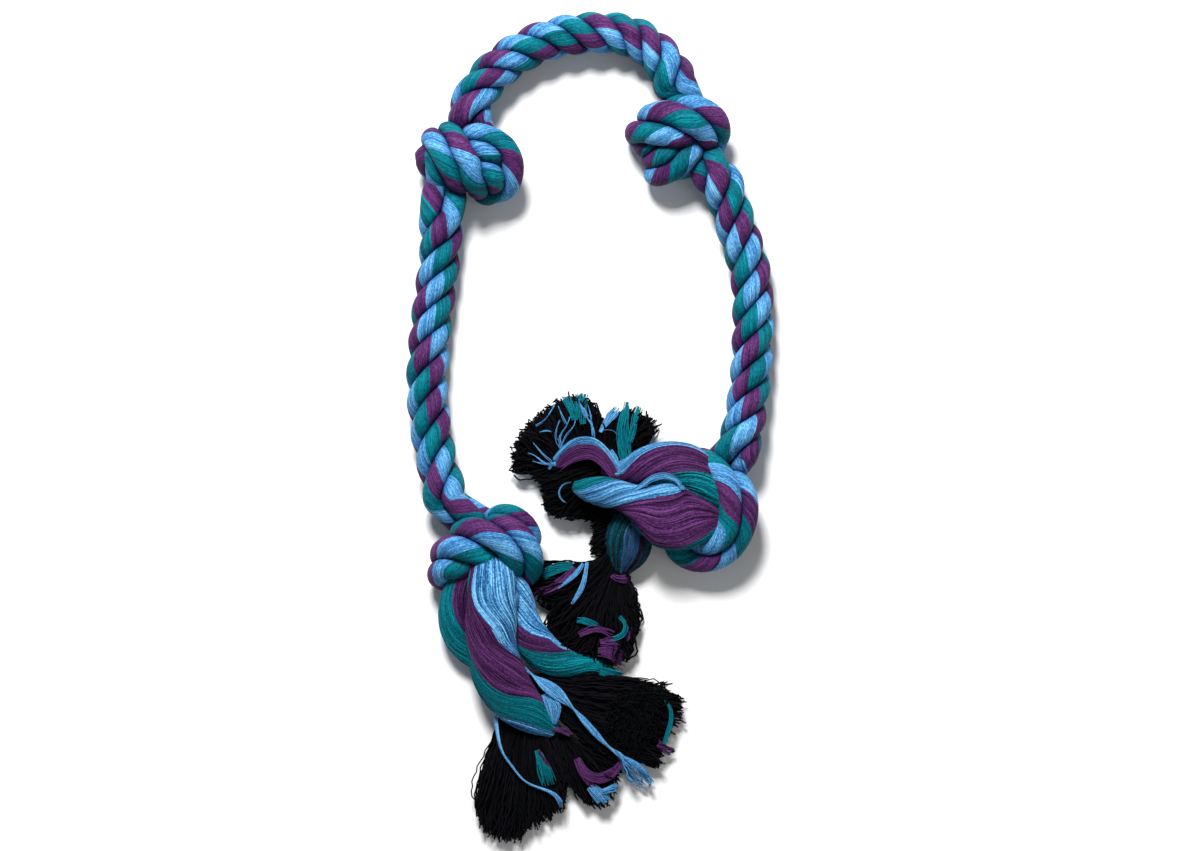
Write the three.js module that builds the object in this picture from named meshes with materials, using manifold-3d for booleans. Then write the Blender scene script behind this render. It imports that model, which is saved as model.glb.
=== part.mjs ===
// Rope dog toy: one length of three-strand laid rope, tied in four overhand knots, with both
// ends unlaid into loose strands and tassels of core yarn. It lies flat on a floor in an open loop.
// Millimetres, +Z up. The floor is z = 0 and the origin is the middle of the footprint.
import * as THREE from 'three';
import * as BufferGeometryUtils from 'three/addons/utils/BufferGeometryUtils.js';
import Module from 'manifold-3d';

// ---- driving dimensions ----
const ROPE_DIAMETER = 28;          // over the three strands, where the rope runs free
const STRAND_RADIUS = 5.9;         // one strand, firm part; the soft real one is about 6.5
const STRAND_OFFSET = 8.0;         // strand centre to rope centre
const STRAND_SIDES = 8;            // faces round a strand
const STRAND_STEP = 7.6;           // length of one facet along a free strand
const KNOT_STEP = 8.8;             // length of one facet along a strand in a knot
const GAP = 0.18;                  // half of the room left between two strands pressed together
const SLIT = 0.6;                  // saw-cut width where two bodies meet at a bend
const SLACK = 2;                   // degrees of room left past each limit
const SWING = 30;                  // degrees each leg swings out in the plane of the floor
const ARCH_OPEN = 25;              // degrees the arch opens
const LIFT = 25;                   // degrees an end knot lifts off the floor
const TAIL_LIFT = 30;              // degrees a loose end lifts
const FLOOR_SHIFT = [0.897, 0.008, -0.131];     // moves the model so that it stands on z = 0 about the origin

// ---- routes of the rope's centre line, and where each third of a turn of the lay falls ----
const ARCH_ROUTE = [
  [-84, 211.8, 17.1], [-80.3, 223.4, 16.6], [-74.1, 233.3, 15.7], [-65.8, 242.4, 14.7], [-56.9, 249.9, 14.3], [-46.4, 256.4, 14.3],
  [-35.3, 261.7, 14.3], [-24.2, 265.2, 14.3], [-12.1, 267.4, 14.3], [-0.5, 268.4, 14.3], [11.8, 268.6, 14.3], [24, 266.8, 14.3],
  [34.7, 262.3, 14.9], [44.3, 254.7, 16.4], [51.5, 245.6, 17.8], [56.7, 234.4, 18.4],
];
const ARCH_LAY = [-18.6, 7.4, 28.1, 47.1, 65.2, 85.2, 102.7, 120.8, 136.7, 153.3, 171.6, 186.1];
const ARCH_SPAN = [16.5, 163.2];   // where its strands enter the knots
const ARCH_BEND = 90.5;
const LEFT_LEG_ROUTE = [
  [-101.7, 144.5, 17.1], [-102.8, 131.6, 16.6], [-103.6, 118.6, 15.5], [-104.8, 105.7, 14.6], [-106.6, 92.8, 14.3], [-108.4, 79.9, 14.3],
  [-109.8, 67, 14.3], [-111, 54.1, 14.3], [-111.9, 40.4, 14.3], [-112.4, 27.4, 14.3], [-111.6, 14.5, 14.3], [-110, 1.6, 14.3],
  [-108.2, -11.3, 14.7], [-105.5, -24, 16.1], [-102.3, -36.6, 17.7], [-99.3, -49.2, 18.4],
];
const LEFT_LEG_LAY = [-12.9, 10.9, 30.8, 52.1, 73.2, 93.3, 115.1, 135.6, 157.2, 178.4, 201.7];
const LEFT_LEG_SPAN = [21.9, 178.1];   // where its strands enter the knots
const LEFT_LEG_BEND = 97.9;
const LEFT_END_LIFT = 178.1;
const RIGHT_LEG_ROUTE = [
  [82.8, 173.5, 17.8], [89.6, 162.5, 17.1], [94.2, 150.3, 15.8], [98.3, 138, 14.7], [102.4, 125.7, 14.3], [106.2, 113.3, 14.3],
  [108.9, 100.6, 14.3], [110, 87.7, 14.3], [110.4, 74.1, 14.3], [110.1, 61.1, 14.3], [109.6, 48.1, 14.3], [108.7, 35.2, 14.3],
  [107.3, 22.3, 14.9], [105.4, 9.4, 17], [102.9, -3.3, 19.4], [99.3, -15.8, 20.5],
];
const RIGHT_LEG_LAY = [-11.9, 5.9, 26.3, 47, 66.2, 85.6, 106.2, 126.6, 146.2, 167.2, 186.8, 204.7];
const RIGHT_LEG_SPAN = [21.9, 178.1];   // where its strands enter the knots
const RIGHT_LEG_BEND = 97.8;
const RIGHT_END_LIFT = 176.7;
const LEFT_TAIL_PIVOT = [-68.6, -114.7, 21.9];
const LEFT_TAIL_ALONG = [0.08, -1, 0];
const RIGHT_TAIL_PIVOT = [50.2, -56, 23.9];
const RIGHT_TAIL_ALONG = [-1, 0, 0];

// ---- the three strands through each knot ----
const LEFT_MIDDLE_KNOT = [
[
  [-77.73, 236.31, 9.86], [-77.87, 229.93, 8.69], [-77.13, 223.54, 9.51], [-76.29, 217.76, 12.3], [-76.23, 212.66, 16.36], [-76.07, 206.8, 15.53],
  [-74.21, 201.22, 12.77], [-73.71, 195.26, 10.25], [-73.78, 189.1, 8.18], [-73.85, 182.94, 6.1], [-74.1, 176.67, 4.51], [-74.43, 170.29, 5.52],
  [-74.71, 163.94, 6.98], [-72.43, 158.91, 9.68], [-67.1, 159.94, 13.13], [-61.31, 161.1, 15.8], [-56.99, 164.54, 19.12], [-54.79, 169.44, 22.74],
  [-54, 175.27, 25.46], [-54.89, 181.45, 27.2], [-57.65, 187.13, 28.66], [-62.03, 191.75, 29.83], [-67.6, 195, 30.6], [-73.71, 197.16, 30.81],
  [-79.59, 197.75, 28.38], [-83.91, 196.26, 23.8], [-88.37, 192.84, 20.78], [-91.91, 188.11, 18.1], [-95.9, 183.51, 15.85], [-100.34, 178.84, 15.25],
  [-105.52, 175.42, 13.83], [-108.8, 174.77, 12.05], [-111.48, 178.97, 16.39], [-112.11, 183.51, 21.02], [-107.9, 184.24, 24.13], [-105.26, 180.69, 28.25],
  [-104.84, 174.64, 26.34], [-104.49, 169.87, 21.95], [-104.85, 165.14, 18.23], [-107.32, 159.3, 19.65], [-108.48, 153, 20.68], [-108.91, 146.55, 20.24],
  [-109.69, 140.7, 17.6], [-109.57, 135.4, 13.89], [-107.4, 130.31, 10.52], [-103.86, 125.24, 8.6], [-100.25, 119.87, 8.85], [-97.67, 114.31, 11.01],
],
[
  [-67.81, 229.28, 14.44], [-70.86, 225.84, 19.07], [-75.55, 223.07, 22.64], [-81.03, 219.98, 24.31], [-85.96, 215.73, 24.07], [-89.46, 210.72, 21.85],
  [-89.99, 205.05, 18.68], [-90.25, 199.44, 15.35], [-88.31, 194.01, 12.44], [-84.84, 188.5, 11.93], [-80.94, 183.26, 11.79], [-76.92, 178.12, 12.14],
  [-71.38, 174.72, 12.28], [-65.67, 171.18, 11.78], [-64.02, 174.76, 16.17], [-65.01, 177.85, 21.79], [-66.55, 181.25, 27.09], [-69.31, 184.04, 32.23],
  [-75.07, 186.47, 33.52], [-80.92, 187.73, 31], [-86.65, 187.31, 28.01], [-90.75, 183.44, 25.1], [-90.88, 178.91, 20.46], [-88.25, 174.43, 16.65],
  [-83.36, 170.23, 16.22], [-79.38, 165.82, 18.75], [-76.81, 162.24, 22.95], [-77.57, 164.55, 28.97], [-79.98, 167.48, 34.26], [-81.61, 172.58, 37.94],
  [-83.07, 178.79, 39.06], [-86.74, 184.18, 39.29], [-89.95, 189.52, 37.4], [-92.58, 194.01, 33.5], [-95.17, 197.66, 28.75], [-97.82, 199.46, 22.97],
  [-97.63, 193.96, 22.06], [-98.66, 187.59, 23.03], [-98.95, 181.07, 23.26], [-97.45, 175.02, 21.57], [-95.18, 169.91, 18.24], [-95.24, 163.7, 16.58],
  [-93.51, 157.58, 17.79], [-93.68, 151.46, 19.69], [-95.09, 145.26, 21.16], [-97.84, 139.66, 23.01], [-101.69, 134.56, 24.22], [-105.62, 129.43, 23.41],
  [-109.09, 124.72, 20.56], [-110.92, 120.16, 16.29], [-110.6, 115.33, 11.92],
],
[
  [-75.4, 235.91, 22.64], [-81.1, 233.32, 20.83], [-85.39, 229.41, 17.88], [-87.87, 224.27, 14.76], [-88.39, 218.36, 12.09], [-87.35, 212.25, 9.92],
  [-85.11, 206.4, 10.94], [-82.65, 200.64, 12.78], [-80.26, 194.97, 14.94], [-77.25, 189.37, 16.41], [-74.33, 183.7, 17.79], [-73.5, 177.56, 19.61],
  [-72.73, 171.42, 20.97], [-68.87, 166.62, 22.52], [-66.13, 167.17, 28.05], [-68.61, 171.22, 32.47], [-73.54, 174.74, 31.08], [-78.27, 177.33, 27.44],
  [-81.09, 180.03, 22.63], [-82.16, 179.15, 21.63], [-84.44, 173.5, 23.59], [-86.77, 167.89, 24.11], [-89.65, 165.62, 24.77], [-92.29, 169.08, 29.55],
  [-94.61, 173.78, 33.44], [-97.61, 178.76, 36.36], [-100.78, 184.41, 36.85], [-103.77, 189.75, 34.71], [-106.09, 193.53, 29.98], [-108.01, 195.23, 24.03],
  [-107.79, 193.7, 17.79], [-106.32, 189.06, 13.57], [-104.03, 184.09, 10.01], [-101.54, 178.88, 7.05], [-100.22, 172.54, 6.67], [-100.35, 166.05, 7.29],
  [-100.45, 159.55, 7.93], [-100.54, 153.06, 8.6], [-100.61, 146.57, 9.28], [-99.38, 140.3, 10.13], [-96.64, 134.81, 12.32], [-95.39, 129.33, 15.59],
  [-96.25, 123.89, 19.05], [-99.2, 118.74, 21.72], [-103.42, 113.86, 22.65],
],
];
const RIGHT_MIDDLE_KNOT = [
[
  [39.45, 251.58, 11.24], [45.61, 250.41, 9.61], [51.9, 249.03, 10.28], [57.34, 246.86, 13], [61.03, 243.57, 17.15], [62.11, 239.17, 21.74],
  [63.76, 233.11, 22.11], [66.27, 227.19, 21.23], [68.81, 221.28, 20.32], [70.69, 215.1, 20.48], [71.1, 208.65, 20.64], [70.39, 202.22, 20.17],
  [68.94, 195.99, 20.47], [69.35, 189.74, 22.32], [66.7, 185.12, 25.65], [62.51, 180.42, 26.6], [57.58, 176.6, 24.96], [52.22, 173.53, 22.98],
  [47.14, 171.76, 19.45], [43.79, 171.88, 13.97], [47.69, 173.58, 10.36], [53.74, 175.03, 8.53], [59.8, 176.46, 6.71], [65.87, 177.87, 4.88],
  [71.82, 179.93, 3.55], [76.91, 183.92, 3.81], [81.9, 187.76, 5.12], [84.2, 192.32, 9.03], [85.47, 196.5, 13.81], [86.9, 200.26, 18.86],
  [86.26, 204.23, 23.94], [84.23, 208.7, 28.11], [79.64, 212.56, 30.52], [73.93, 215.42, 31.33], [67.82, 217.02, 29.87], [62.26, 217.96, 26.76],
  [57.02, 217.12, 23.29], [56.07, 213.15, 18.31], [58.59, 210.28, 13.21], [62.24, 206.5, 9.61], [66.42, 201.71, 8.3], [70.6, 196.91, 7.02],
  [74.43, 191.81, 7.17], [77.08, 187.96, 11.55], [80.08, 185.62, 16.73], [82.8, 182.4, 21.51], [85.48, 176.99, 23.84], [86.6, 170.76, 25.01],
  [85.85, 164.37, 24.51], [85.02, 158.57, 21.76], [85.21, 153.67, 17.55], [87.23, 149.42, 13.1], [91.01, 145.59, 9.48],
],
[
  [47.92, 261.13, 13.71], [51.45, 257.9, 18.13], [53.29, 253.09, 22.12], [53.35, 247.21, 24.86], [51.91, 240.92, 25.42], [50.18, 235.17, 23.04],
  [51.23, 230.03, 19.84], [55.87, 225.75, 18.03], [60.29, 221.42, 15.99], [63.68, 215.93, 16.26], [64.41, 209.68, 17.73], [62.77, 203.48, 16.93],
  [60.66, 197.46, 15.83], [58.35, 191.99, 18.37], [55.37, 188.78, 22.99], [51.13, 185.98, 26.87], [46.68, 182.95, 23.44], [43.02, 181.96, 18.14],
  [43.81, 182.73, 12.43], [49.53, 183.16, 9.26], [55.64, 185.05, 8.96], [60.7, 187.87, 11.93], [66.47, 190.7, 12.96], [72.1, 193.44, 14.4],
  [77.06, 194.79, 17.74], [78.35, 195.25, 24.03], [76.35, 199.04, 28.88], [72.94, 202.37, 33.3], [68.52, 205.15, 37.19], [63.16, 208.13, 39.21],
  [57.36, 211.04, 38.71], [51.25, 212.51, 37.09], [45.98, 212.47, 33.3], [41.67, 211.34, 28.56], [39.16, 210.21, 22.69], [38.91, 206.87, 17.24],
  [42.38, 201.85, 18.56], [46.09, 198.31, 14.67], [48.83, 193.04, 12.75], [51.64, 187.9, 15.54], [55.45, 182.86, 16.52], [61.73, 181.18, 16.37],
  [67.97, 179.54, 17.21], [73.18, 176.99, 18.87], [76.04, 171.12, 18.61], [79.06, 166.34, 15.57], [83.56, 163.8, 11.63], [89.17, 161.23, 9.58],
  [94.71, 157.85, 9.61], [99.4, 153.71, 11.42], [102.57, 148.88, 14.42],
],
[
  [41.19, 255.72, 23.43], [42.07, 249.41, 22.08], [43.72, 244.02, 18.84], [46.89, 240.1, 14.75], [51.94, 237.56, 11.63], [57.27, 234.37, 10.41],
  [56.97, 228.17, 9.25], [55.35, 221.87, 8.96], [53.79, 215.53, 8.87], [52.58, 209.17, 9.1], [53.77, 203.47, 11.87], [52.84, 199.42, 16.85],
  [50.06, 196.18, 21.58], [44.19, 193.64, 21.89], [38.38, 191.66, 20.06], [37.73, 191.85, 14.35], [40.05, 197.19, 11.6], [42.77, 202.52, 9.47],
  [46.46, 206.54, 12.73], [49.84, 207.12, 18.18], [54.76, 205.23, 21.93], [59.49, 201.59, 24.53], [62.93, 197.78, 27.9], [59.86, 197.11, 29.65],
  [54.17, 196.64, 32.44], [47.88, 197.95, 33.47], [41.7, 199.16, 31.96], [36.41, 200.07, 28.31], [32.12, 200.07, 23.45], [30.78, 200.03, 17.1],
  [31.15, 198.98, 10.7], [34.56, 196.94, 5.68], [40.37, 194.74, 4.02], [46.69, 193.13, 4.06], [53, 191.47, 4.05], [59.27, 189.69, 3.94],
  [64.9, 186.82, 5.32], [69.42, 184.51, 9.35], [74.45, 180.69, 10.61], [80.43, 178.27, 10.01], [86.03, 175.71, 10.67], [91.01, 172.63, 13.55],
  [94.88, 168.63, 16.86], [96.78, 163.28, 20.02], [96.69, 157.24, 22.41], [95.1, 151, 23.34], [93.03, 144.91, 22.31],
],
];
const LEFT_END_KNOT = [
[
  [-103.81, -24.56, 8.84], [-99.31, -28.59, 11.24], [-96.03, -32.72, 15.04], [-94.45, -37.46, 19.19], [-94.55, -42.87, 22.76], [-94.73, -48.98, 24.14],
  [-90.31, -53.75, 23.93], [-85.84, -58.48, 23.73], [-81.37, -63.21, 23.54], [-77.42, -68.33, 23.75], [-74.31, -74, 24.37], [-71, -79.59, 23.98],
  [-67.24, -84.87, 23.41], [-64.92, -90.42, 24.2], [-69.04, -91.36, 28.69], [-74.37, -88.49, 31.03], [-79.52, -85.68, 33.84], [-85.5, -83.58, 35.19],
  [-91.64, -82.13, 33.84], [-96.73, -82.17, 29.86], [-100.04, -84.36, 24.73], [-101.94, -86.85, 19.05], [-101.51, -90.37, 13.67], [-97.57, -93.38, 9.98],
  [-91.57, -94.63, 7.74], [-85.38, -95.68, 6.15], [-78.95, -96.39, 5.42], [-72.54, -96.9, 6.17], [-66.26, -97.36, 7.83], [-60.13, -97.62, 9.95],
  [-55.9, -98.22, 14.7], [-53.56, -97.55, 20.69], [-52.34, -94.59, 26.34], [-52.87, -90.61, 31.42], [-55, -86.03, 35.51], [-58.51, -81.22, 38.1],
  [-63.18, -77.03, 39.78], [-68.72, -73.67, 40.16], [-74.44, -71.16, 38.39], [-79.83, -69.8, 35.04], [-84.49, -70.16, 30.55], [-87.31, -71.51, 24.88],
  [-88.59, -75.17, 20.11], [-86.03, -81.11, 21.3], [-82.61, -86.47, 20.17], [-80.27, -90.25, 15.51], [-77.54, -95, 12.48], [-73.67, -99.85, 14.14],
  [-71.34, -102.24, 19.64], [-67.8, -104.35, 24.59], [-62.98, -107.88, 27.07], [-58.47, -112.54, 27.21], [-57.28, -118.51, 27.53], [-60.58, -123.88, 28.94],
  [-65.22, -128.39, 29.37],
],
[
  [-100.2, -22.15, 21.09], [-102.22, -27.63, 23.85], [-104.47, -33.61, 24.77], [-106.22, -39.75, 23.87], [-107.1, -45.66, 21.42], [-106.38, -51.23, 18.23],
  [-102.04, -55.62, 16.45], [-97.5, -59.91, 14.78], [-92.96, -64.2, 13.11], [-88.42, -68.48, 11.44], [-83.88, -72.78, 9.78], [-79.32, -77.08, 8.25],
  [-75.62, -81.74, 10.46], [-73.57, -86.05, 14.82], [-72.93, -91.04, 18.82], [-76.38, -95.07, 22.15], [-81.8, -95.4, 24.73], [-87.64, -95.42, 27.26],
  [-93.94, -96.22, 27.81], [-99.72, -96.71, 25.31], [-103.22, -99.36, 20.64], [-103.93, -102.27, 14.96], [-100.59, -104.55, 10.13], [-94.19, -104.8, 9.43],
  [-87.76, -105.06, 8.74], [-81.34, -105.33, 8.01], [-74.87, -105.46, 7.9], [-68.41, -105.59, 7.82], [-61.96, -105.75, 7.91], [-55.56, -105.89, 8.91],
  [-49.49, -104.71, 10.68], [-44.88, -101.8, 14.11], [-42.03, -98.28, 18.69], [-40.85, -93.94, 23.32], [-40.98, -88.86, 27.3], [-42.4, -83.49, 30.57],
  [-45.35, -78.37, 33.17], [-49.52, -73.7, 34.73], [-54.64, -69.8, 34.49], [-60.46, -67.71, 32.74], [-65.78, -67.87, 29.08], [-65.64, -71.91, 24.54],
  [-64.66, -76.18, 19.79], [-64.49, -81.2, 15.73], [-64.76, -87.23, 13.63], [-65.4, -93.4, 15.14], [-64.57, -99.39, 17.06], [-63.39, -105.7, 16.6],
  [-65.17, -111.67, 18.08], [-64.56, -117.88, 17.92], [-61.56, -123.25, 15.93], [-60.44, -129.07, 17.76],
],
[
  [-112.54, -25.26, 18.45], [-111.47, -30.89, 15.39], [-108.53, -36.01, 12.7], [-104.18, -40.51, 11.02], [-99.3, -44.76, 10.95], [-95.17, -49.62, 10.8],
  [-89.94, -53.3, 10.03], [-84.47, -56.77, 9.4], [-78.96, -60.16, 8.76], [-73.38, -63.42, 8.13], [-67.7, -66.55, 7.86], [-62.13, -69.53, 9.39],
  [-56.51, -72.35, 11.03], [-50.83, -75.06, 12.67], [-45.07, -77.84, 14.2], [-42.05, -75.81, 18.38], [-43.76, -70.88, 22.18], [-47.34, -66.16, 24.79],
  [-52.58, -62.43, 24.99], [-58.5, -60.95, 22.9], [-63.88, -62.23, 19.56], [-68.62, -65.78, 16.96], [-73, -70.54, 16.32], [-77.44, -75.28, 16.25],
  [-81.62, -79.97, 15.13], [-84.89, -84.84, 12.5], [-86.63, -91.01, 12.89], [-84.88, -97.04, 14.41], [-81.46, -102.43, 15.63], [-77.54, -107.53, 16.44],
  [-72.84, -111.74, 17.43], [-73.39, -117.74, 19.64], [-76.32, -123.47, 20.49], [-74.1, -129.07, 19.12],
],
];
const RIGHT_END_KNOT = [
[
  [112.56, 8.02, 15.1], [111.88, 3.68, 19.83], [109.15, -0.4, 24.02], [104.77, -4.24, 26.75], [99.63, -8.08, 27.37], [94.83, -12.01, 25.66],
  [91.19, -16.41, 22.67], [87.08, -20.82, 20.32], [83.06, -25.27, 17.91], [79.91, -30.3, 15.37], [77.69, -36.04, 13.45], [75.96, -42.24, 12.95],
  [74.14, -48.42, 13.48], [72.42, -54.62, 14.15], [71.03, -60.93, 14.29], [69.69, -67.22, 13.66], [68.02, -73.34, 12.51], [69.03, -78.54, 12.89],
  [73.64, -79.9, 17.2], [78.78, -80.57, 20.75], [84.1, -79.05, 23.92], [88.59, -75.66, 27.05], [91.92, -70.64, 29.33], [93.84, -64.66, 30.83],
  [94.56, -58.39, 32.2], [94.46, -52.13, 33.79], [93.64, -45.83, 34.97], [91.77, -39.66, 34.97], [88.82, -34.01, 33.97], [84.99, -29.23, 31.95],
  [80.62, -25.54, 28.95], [75.9, -23.09, 25.3], [70.7, -23.72, 21.72], [66.5, -28.56, 22.43], [62.28, -33.41, 23.14], [58.06, -38.25, 23.85],
  [53.83, -43.09, 24.57], [49.61, -47.93, 25.31], [45.44, -52.95, 25.93], [40.03, -53.23, 28.43], [34.49, -50.54, 27.32],
],
[
  [100.04, 9.2, 11.82], [102.61, 3.39, 10.85], [105.54, -2.23, 11.86], [107.7, -7.49, 14.82], [108.15, -12.31, 19.02], [106.41, -17.07, 22.68],
  [103.95, -22.1, 19.74], [100.6, -26.85, 16.97], [97.19, -31.52, 14.16], [93.19, -36.15, 12.26], [89.1, -40.95, 10.96], [84.95, -45.7, 9.67],
  [80.74, -50.4, 8.4], [76.45, -55.04, 7.17], [71.89, -59.52, 6.42], [67.21, -63.93, 6.53], [62.67, -68.42, 7.34], [58.92, -73.39, 8.87],
  [57.42, -79.08, 11.33], [59.11, -84.52, 14.16], [63.85, -88.72, 15.06], [69.78, -91.17, 15.09], [76.16, -91.79, 15.35], [82.45, -90.9, 16.34],
  [88.31, -88.72, 17.81], [93.39, -85.12, 19.41], [97.56, -80.51, 21.04], [100.83, -75.23, 22.7], [103.29, -69.52, 24.36], [104.87, -63.49, 25.93],
  [105.55, -57.2, 27.11], [105.11, -50.8, 27.1], [103.31, -44.77, 25.86], [100.32, -39.57, 23.59], [95.43, -37.97, 20.91], [90.04, -41.52, 21.45],
  [84.56, -44.88, 21.8], [78.93, -48, 21.97], [73.29, -51.1, 21.98], [67.65, -54.2, 21.83], [62.02, -57.31, 21.55], [56.41, -60.44, 21.15],
  [50.82, -63.6, 20.68], [45.26, -66.81, 20.1], [39.61, -68.07, 21.74], [36.24, -65.19, 26.38], [32.44, -60.78, 28.68],
],
[
  [103.72, 11.05, 24.14], [99.49, 6.3, 23.11], [96.5, 1.26, 20.46], [95.48, -4.12, 17.11], [96.58, -9.75, 14.23], [98.31, -15.53, 12.06],
  [95.01, -20.72, 13.15], [91.48, -25.84, 14.87], [88.58, -31.18, 17.03], [84.54, -35.6, 19.36], [79.14, -38.8, 20.8], [73.33, -41.51, 20.44],
  [67.6, -44.1, 18.97], [61.74, -46.49, 17.71], [55.78, -48.69, 16.61], [49.74, -50.72, 15.64], [43.6, -52.02, 14.96], [38.5, -55.42, 15.03],
  [33.12, -58.05, 16.39],
],
];

// ---- the unlaid ends: three cover strands each, and tassels of core yarn ----
const LEFT_TAIL_STRANDS = [
  { radius: 6.4, points: [[-78.9, -118.8, 17.1], [-89.8, -129.8, 14.3], [-93.9, -143.4, 10.9], [-88.4, -157.1, 8.2], [-73.4, -170.7, 7.5], [-54.3, -183, 7.5]] },
  { radius: 7.2, points: [[-67.3, -118.8, 30], [-69.3, -135.9, 28.7], [-68, -153, 26], [-60.4, -170, 24.6], [-48.8, -185.8, 21.9], [-37.9, -198, 17.8]] },
  { radius: 6.7, points: [[-56.3, -118.8, 18.4], [-46.1, -131.1, 16.4], [-37.9, -144.8, 13.7], [-27, -155.7, 11.6], [-9.2, -161.2, 10.2], [8.5, -167.3, 9.6]] },
];
const RIGHT_TAIL_STRANDS = [
  { radius: 6.8, points: [[44, -54.6, 34.1], [30.4, -48.5, 34.1], [14, -45.1, 31.4], [-1, -43, 28.7]] },
  { radius: 7.2, points: [[44, -68.3, 17.8], [33.1, -71, 16.4], [22.2, -75.1, 14.3], [14.7, -88.8, 11.6], [9.2, -101.8, 10.2]] },
  { radius: 6.7, points: [[44, -36.9, 17.8], [30.4, -32.8, 16.4], [15.4, -30, 14.3], [3.8, -21.2, 12.3], [-7.9, -16.4, 10.9], [-21.5, -21.9, 9.6]] },
];
const TASSELS = [
  { name: 'left_tail_tassel_lower', low: 0.131, high: 18, outline: [[-59.1, -206.2], [-31.8, -211.7], [-20.1, -234.9], [-21.5, -255.4], [-28.3, -270.4], [-52.2, -281.4], [-76.1, -274.5], [-80.2, -255.4], [-69.3, -231.5], [-63.9, -211]] },
  { name: 'left_tail_tassel_middle', low: 0.131, high: 18, outline: [[-23.6, -207.6], [-3.8, -219.9], [11.3, -233.6], [14, -247.2], [4.4, -258.1], [-5.1, -250], [-16.7, -233.6]] },
  { name: 'left_tail_tassel_right', low: 0.131, high: 20, outline: [[-11.3, -175.5], [16, -178.2], [40, -180.3], [59.1, -189.2], [55, -214.4], [43.4, -231.5], [22.9, -222.6], [3.1, -209.7], [-11.3, -197.4], [-17.4, -183.7]] },
  { name: 'right_tail_tassel_left', low: 0.131, high: 22, outline: [[-29.7, -30], [-52.9, -24.6], [-51.6, -6.8], [-42, 9.6], [-24.9, 18.4], [-4.4, 21.9], [5.8, 19.1], [5.8, -5.1], [-4.4, -4.1], [-20.1, -8.2], [-30.4, -16.4]] },
  { name: 'right_tail_tassel_right', low: 0.131, high: 22, outline: [[7.2, 18.8], [16, 16.4], [33.1, 14.3], [43.4, 0.7], [33.1, -9.6], [14, -6.8], [7.2, -5.5]] },
  { name: 'right_tail_tassel_lower', low: 0.131, high: 18, outline: [[0.3, -113.4], [22.2, -114.7], [29.7, -127], [29, -140.7], [22.2, -153], [9.9, -156.4], [-4.4, -148.9], [-17.4, -140.7], [-14.7, -127], [-24.2, -120.2], [-24.2, -109.3], [-11.3, -103.8], [-2.4, -112]] },
];

// ---- helpers ----
const wasm = await Module();
wasm.setup();
const toy = new THREE.Group();
toy.name = 'rope_dog_toy';
const V = (p) => new THREE.Vector3(p[0], p[1], p[2]);

function material(color, roughness = 0.85) {
  return new THREE.MeshStandardMaterial({ color, roughness, metalness: 0 });
}
const COVER = [material(0x0a8a90), material(0x5a9bd5), material(0x6a3374)];
const CORE = material(0x101012, 0.95);

function add(name, geometry, mat) {
  const mesh = new THREE.Mesh(geometry, mat);
  mesh.name = name;
  toy.add(mesh);
  return mesh;
}

function section(radius, sides = STRAND_SIDES) {
  const shape = new THREE.Shape();
  for (let i = 0; i < sides; i += 1) {
    const a = (2 * Math.PI * i) / sides;
    const x = radius * Math.cos(a);
    const y = radius * Math.sin(a);
    if (i === 0) shape.moveTo(x, y);
    else shape.lineTo(x, y);
  }
  shape.closePath();
  return shape;
}

// A closed tube along a curve. It is extruded thin and each ring is then opened out to its radius.
function tube(curve, radii, sides = STRAND_SIDES) {
  const steps = radii.length - 1;
  const geometry = new THREE.ExtrudeGeometry(section(1, sides), {
    steps, extrudePath: curve, bevelEnabled: false, curveSegments: 1,
  });
  const centres = curve.getSpacedPoints(steps);
  const position = geometry.getAttribute('position');
  const p = new THREE.Vector3();
  for (let n = 0; n < position.count; n += 1) {
    p.fromBufferAttribute(position, n);
    let best = 0;
    for (let k = 1; k <= steps; k += 1) {
      if (p.distanceToSquared(centres[k]) < p.distanceToSquared(centres[best])) best = k;
    }
    p.sub(centres[best]).multiplyScalar(radii[best]).add(centres[best]);
    position.setXYZ(n, p.x, p.y, p.z);
  }
  return geometry;
}

function solid(geometry) {
  const g = geometry.clone();
  for (const name of Object.keys(g.attributes)) if (name !== 'position') g.deleteAttribute(name);
  const merged = BufferGeometryUtils.mergeVertices(g, 1e-4);
  return new wasm.Manifold(new wasm.Mesh({
    numProp: 3,
    vertProperties: new Float32Array(merged.getAttribute('position').array),
    triVerts: new Uint32Array(merged.index.array),
  }));
}

function geometryOf(manifold) {
  const mesh = manifold.getMesh();
  const g = new THREE.BufferGeometry();
  g.setAttribute('position', new THREE.BufferAttribute(new Float32Array(mesh.vertProperties), 3));
  g.setIndex(new THREE.BufferAttribute(new Uint32Array(mesh.triVerts), 1));
  return g;
}

// Everything past a bend: the block that is cut from the strands of one body at a joint.
// u runs along the rope, v towards the side that closes when the joint turns by angle degrees.
function pastBend(pivot, along, closing, angle, side, reach = 34, depth = 30) {
  const slope = Math.tan((angle / 2) * (Math.PI / 180));
  const h = SLIT / 2;
  const shape = new THREE.Shape([
    new THREE.Vector2(-h, -reach), new THREE.Vector2(depth, -reach), new THREE.Vector2(depth, reach),
    new THREE.Vector2(-h - reach * slope, reach), new THREE.Vector2(-h, 0),
  ]);
  const g = new THREE.ExtrudeGeometry(shape, { depth: 2 * reach, bevelEnabled: false });
  g.translate(0, 0, -reach);
  const u = along.clone().multiplyScalar(side).normalize();
  const v = closing.clone().addScaledVector(u, -closing.dot(u)).normalize();
  const w = new THREE.Vector3().crossVectors(u, v);
  g.applyMatrix4(new THREE.Matrix4().makeBasis(u, v, w).setPosition(pivot));
  return solid(g);
}

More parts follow.
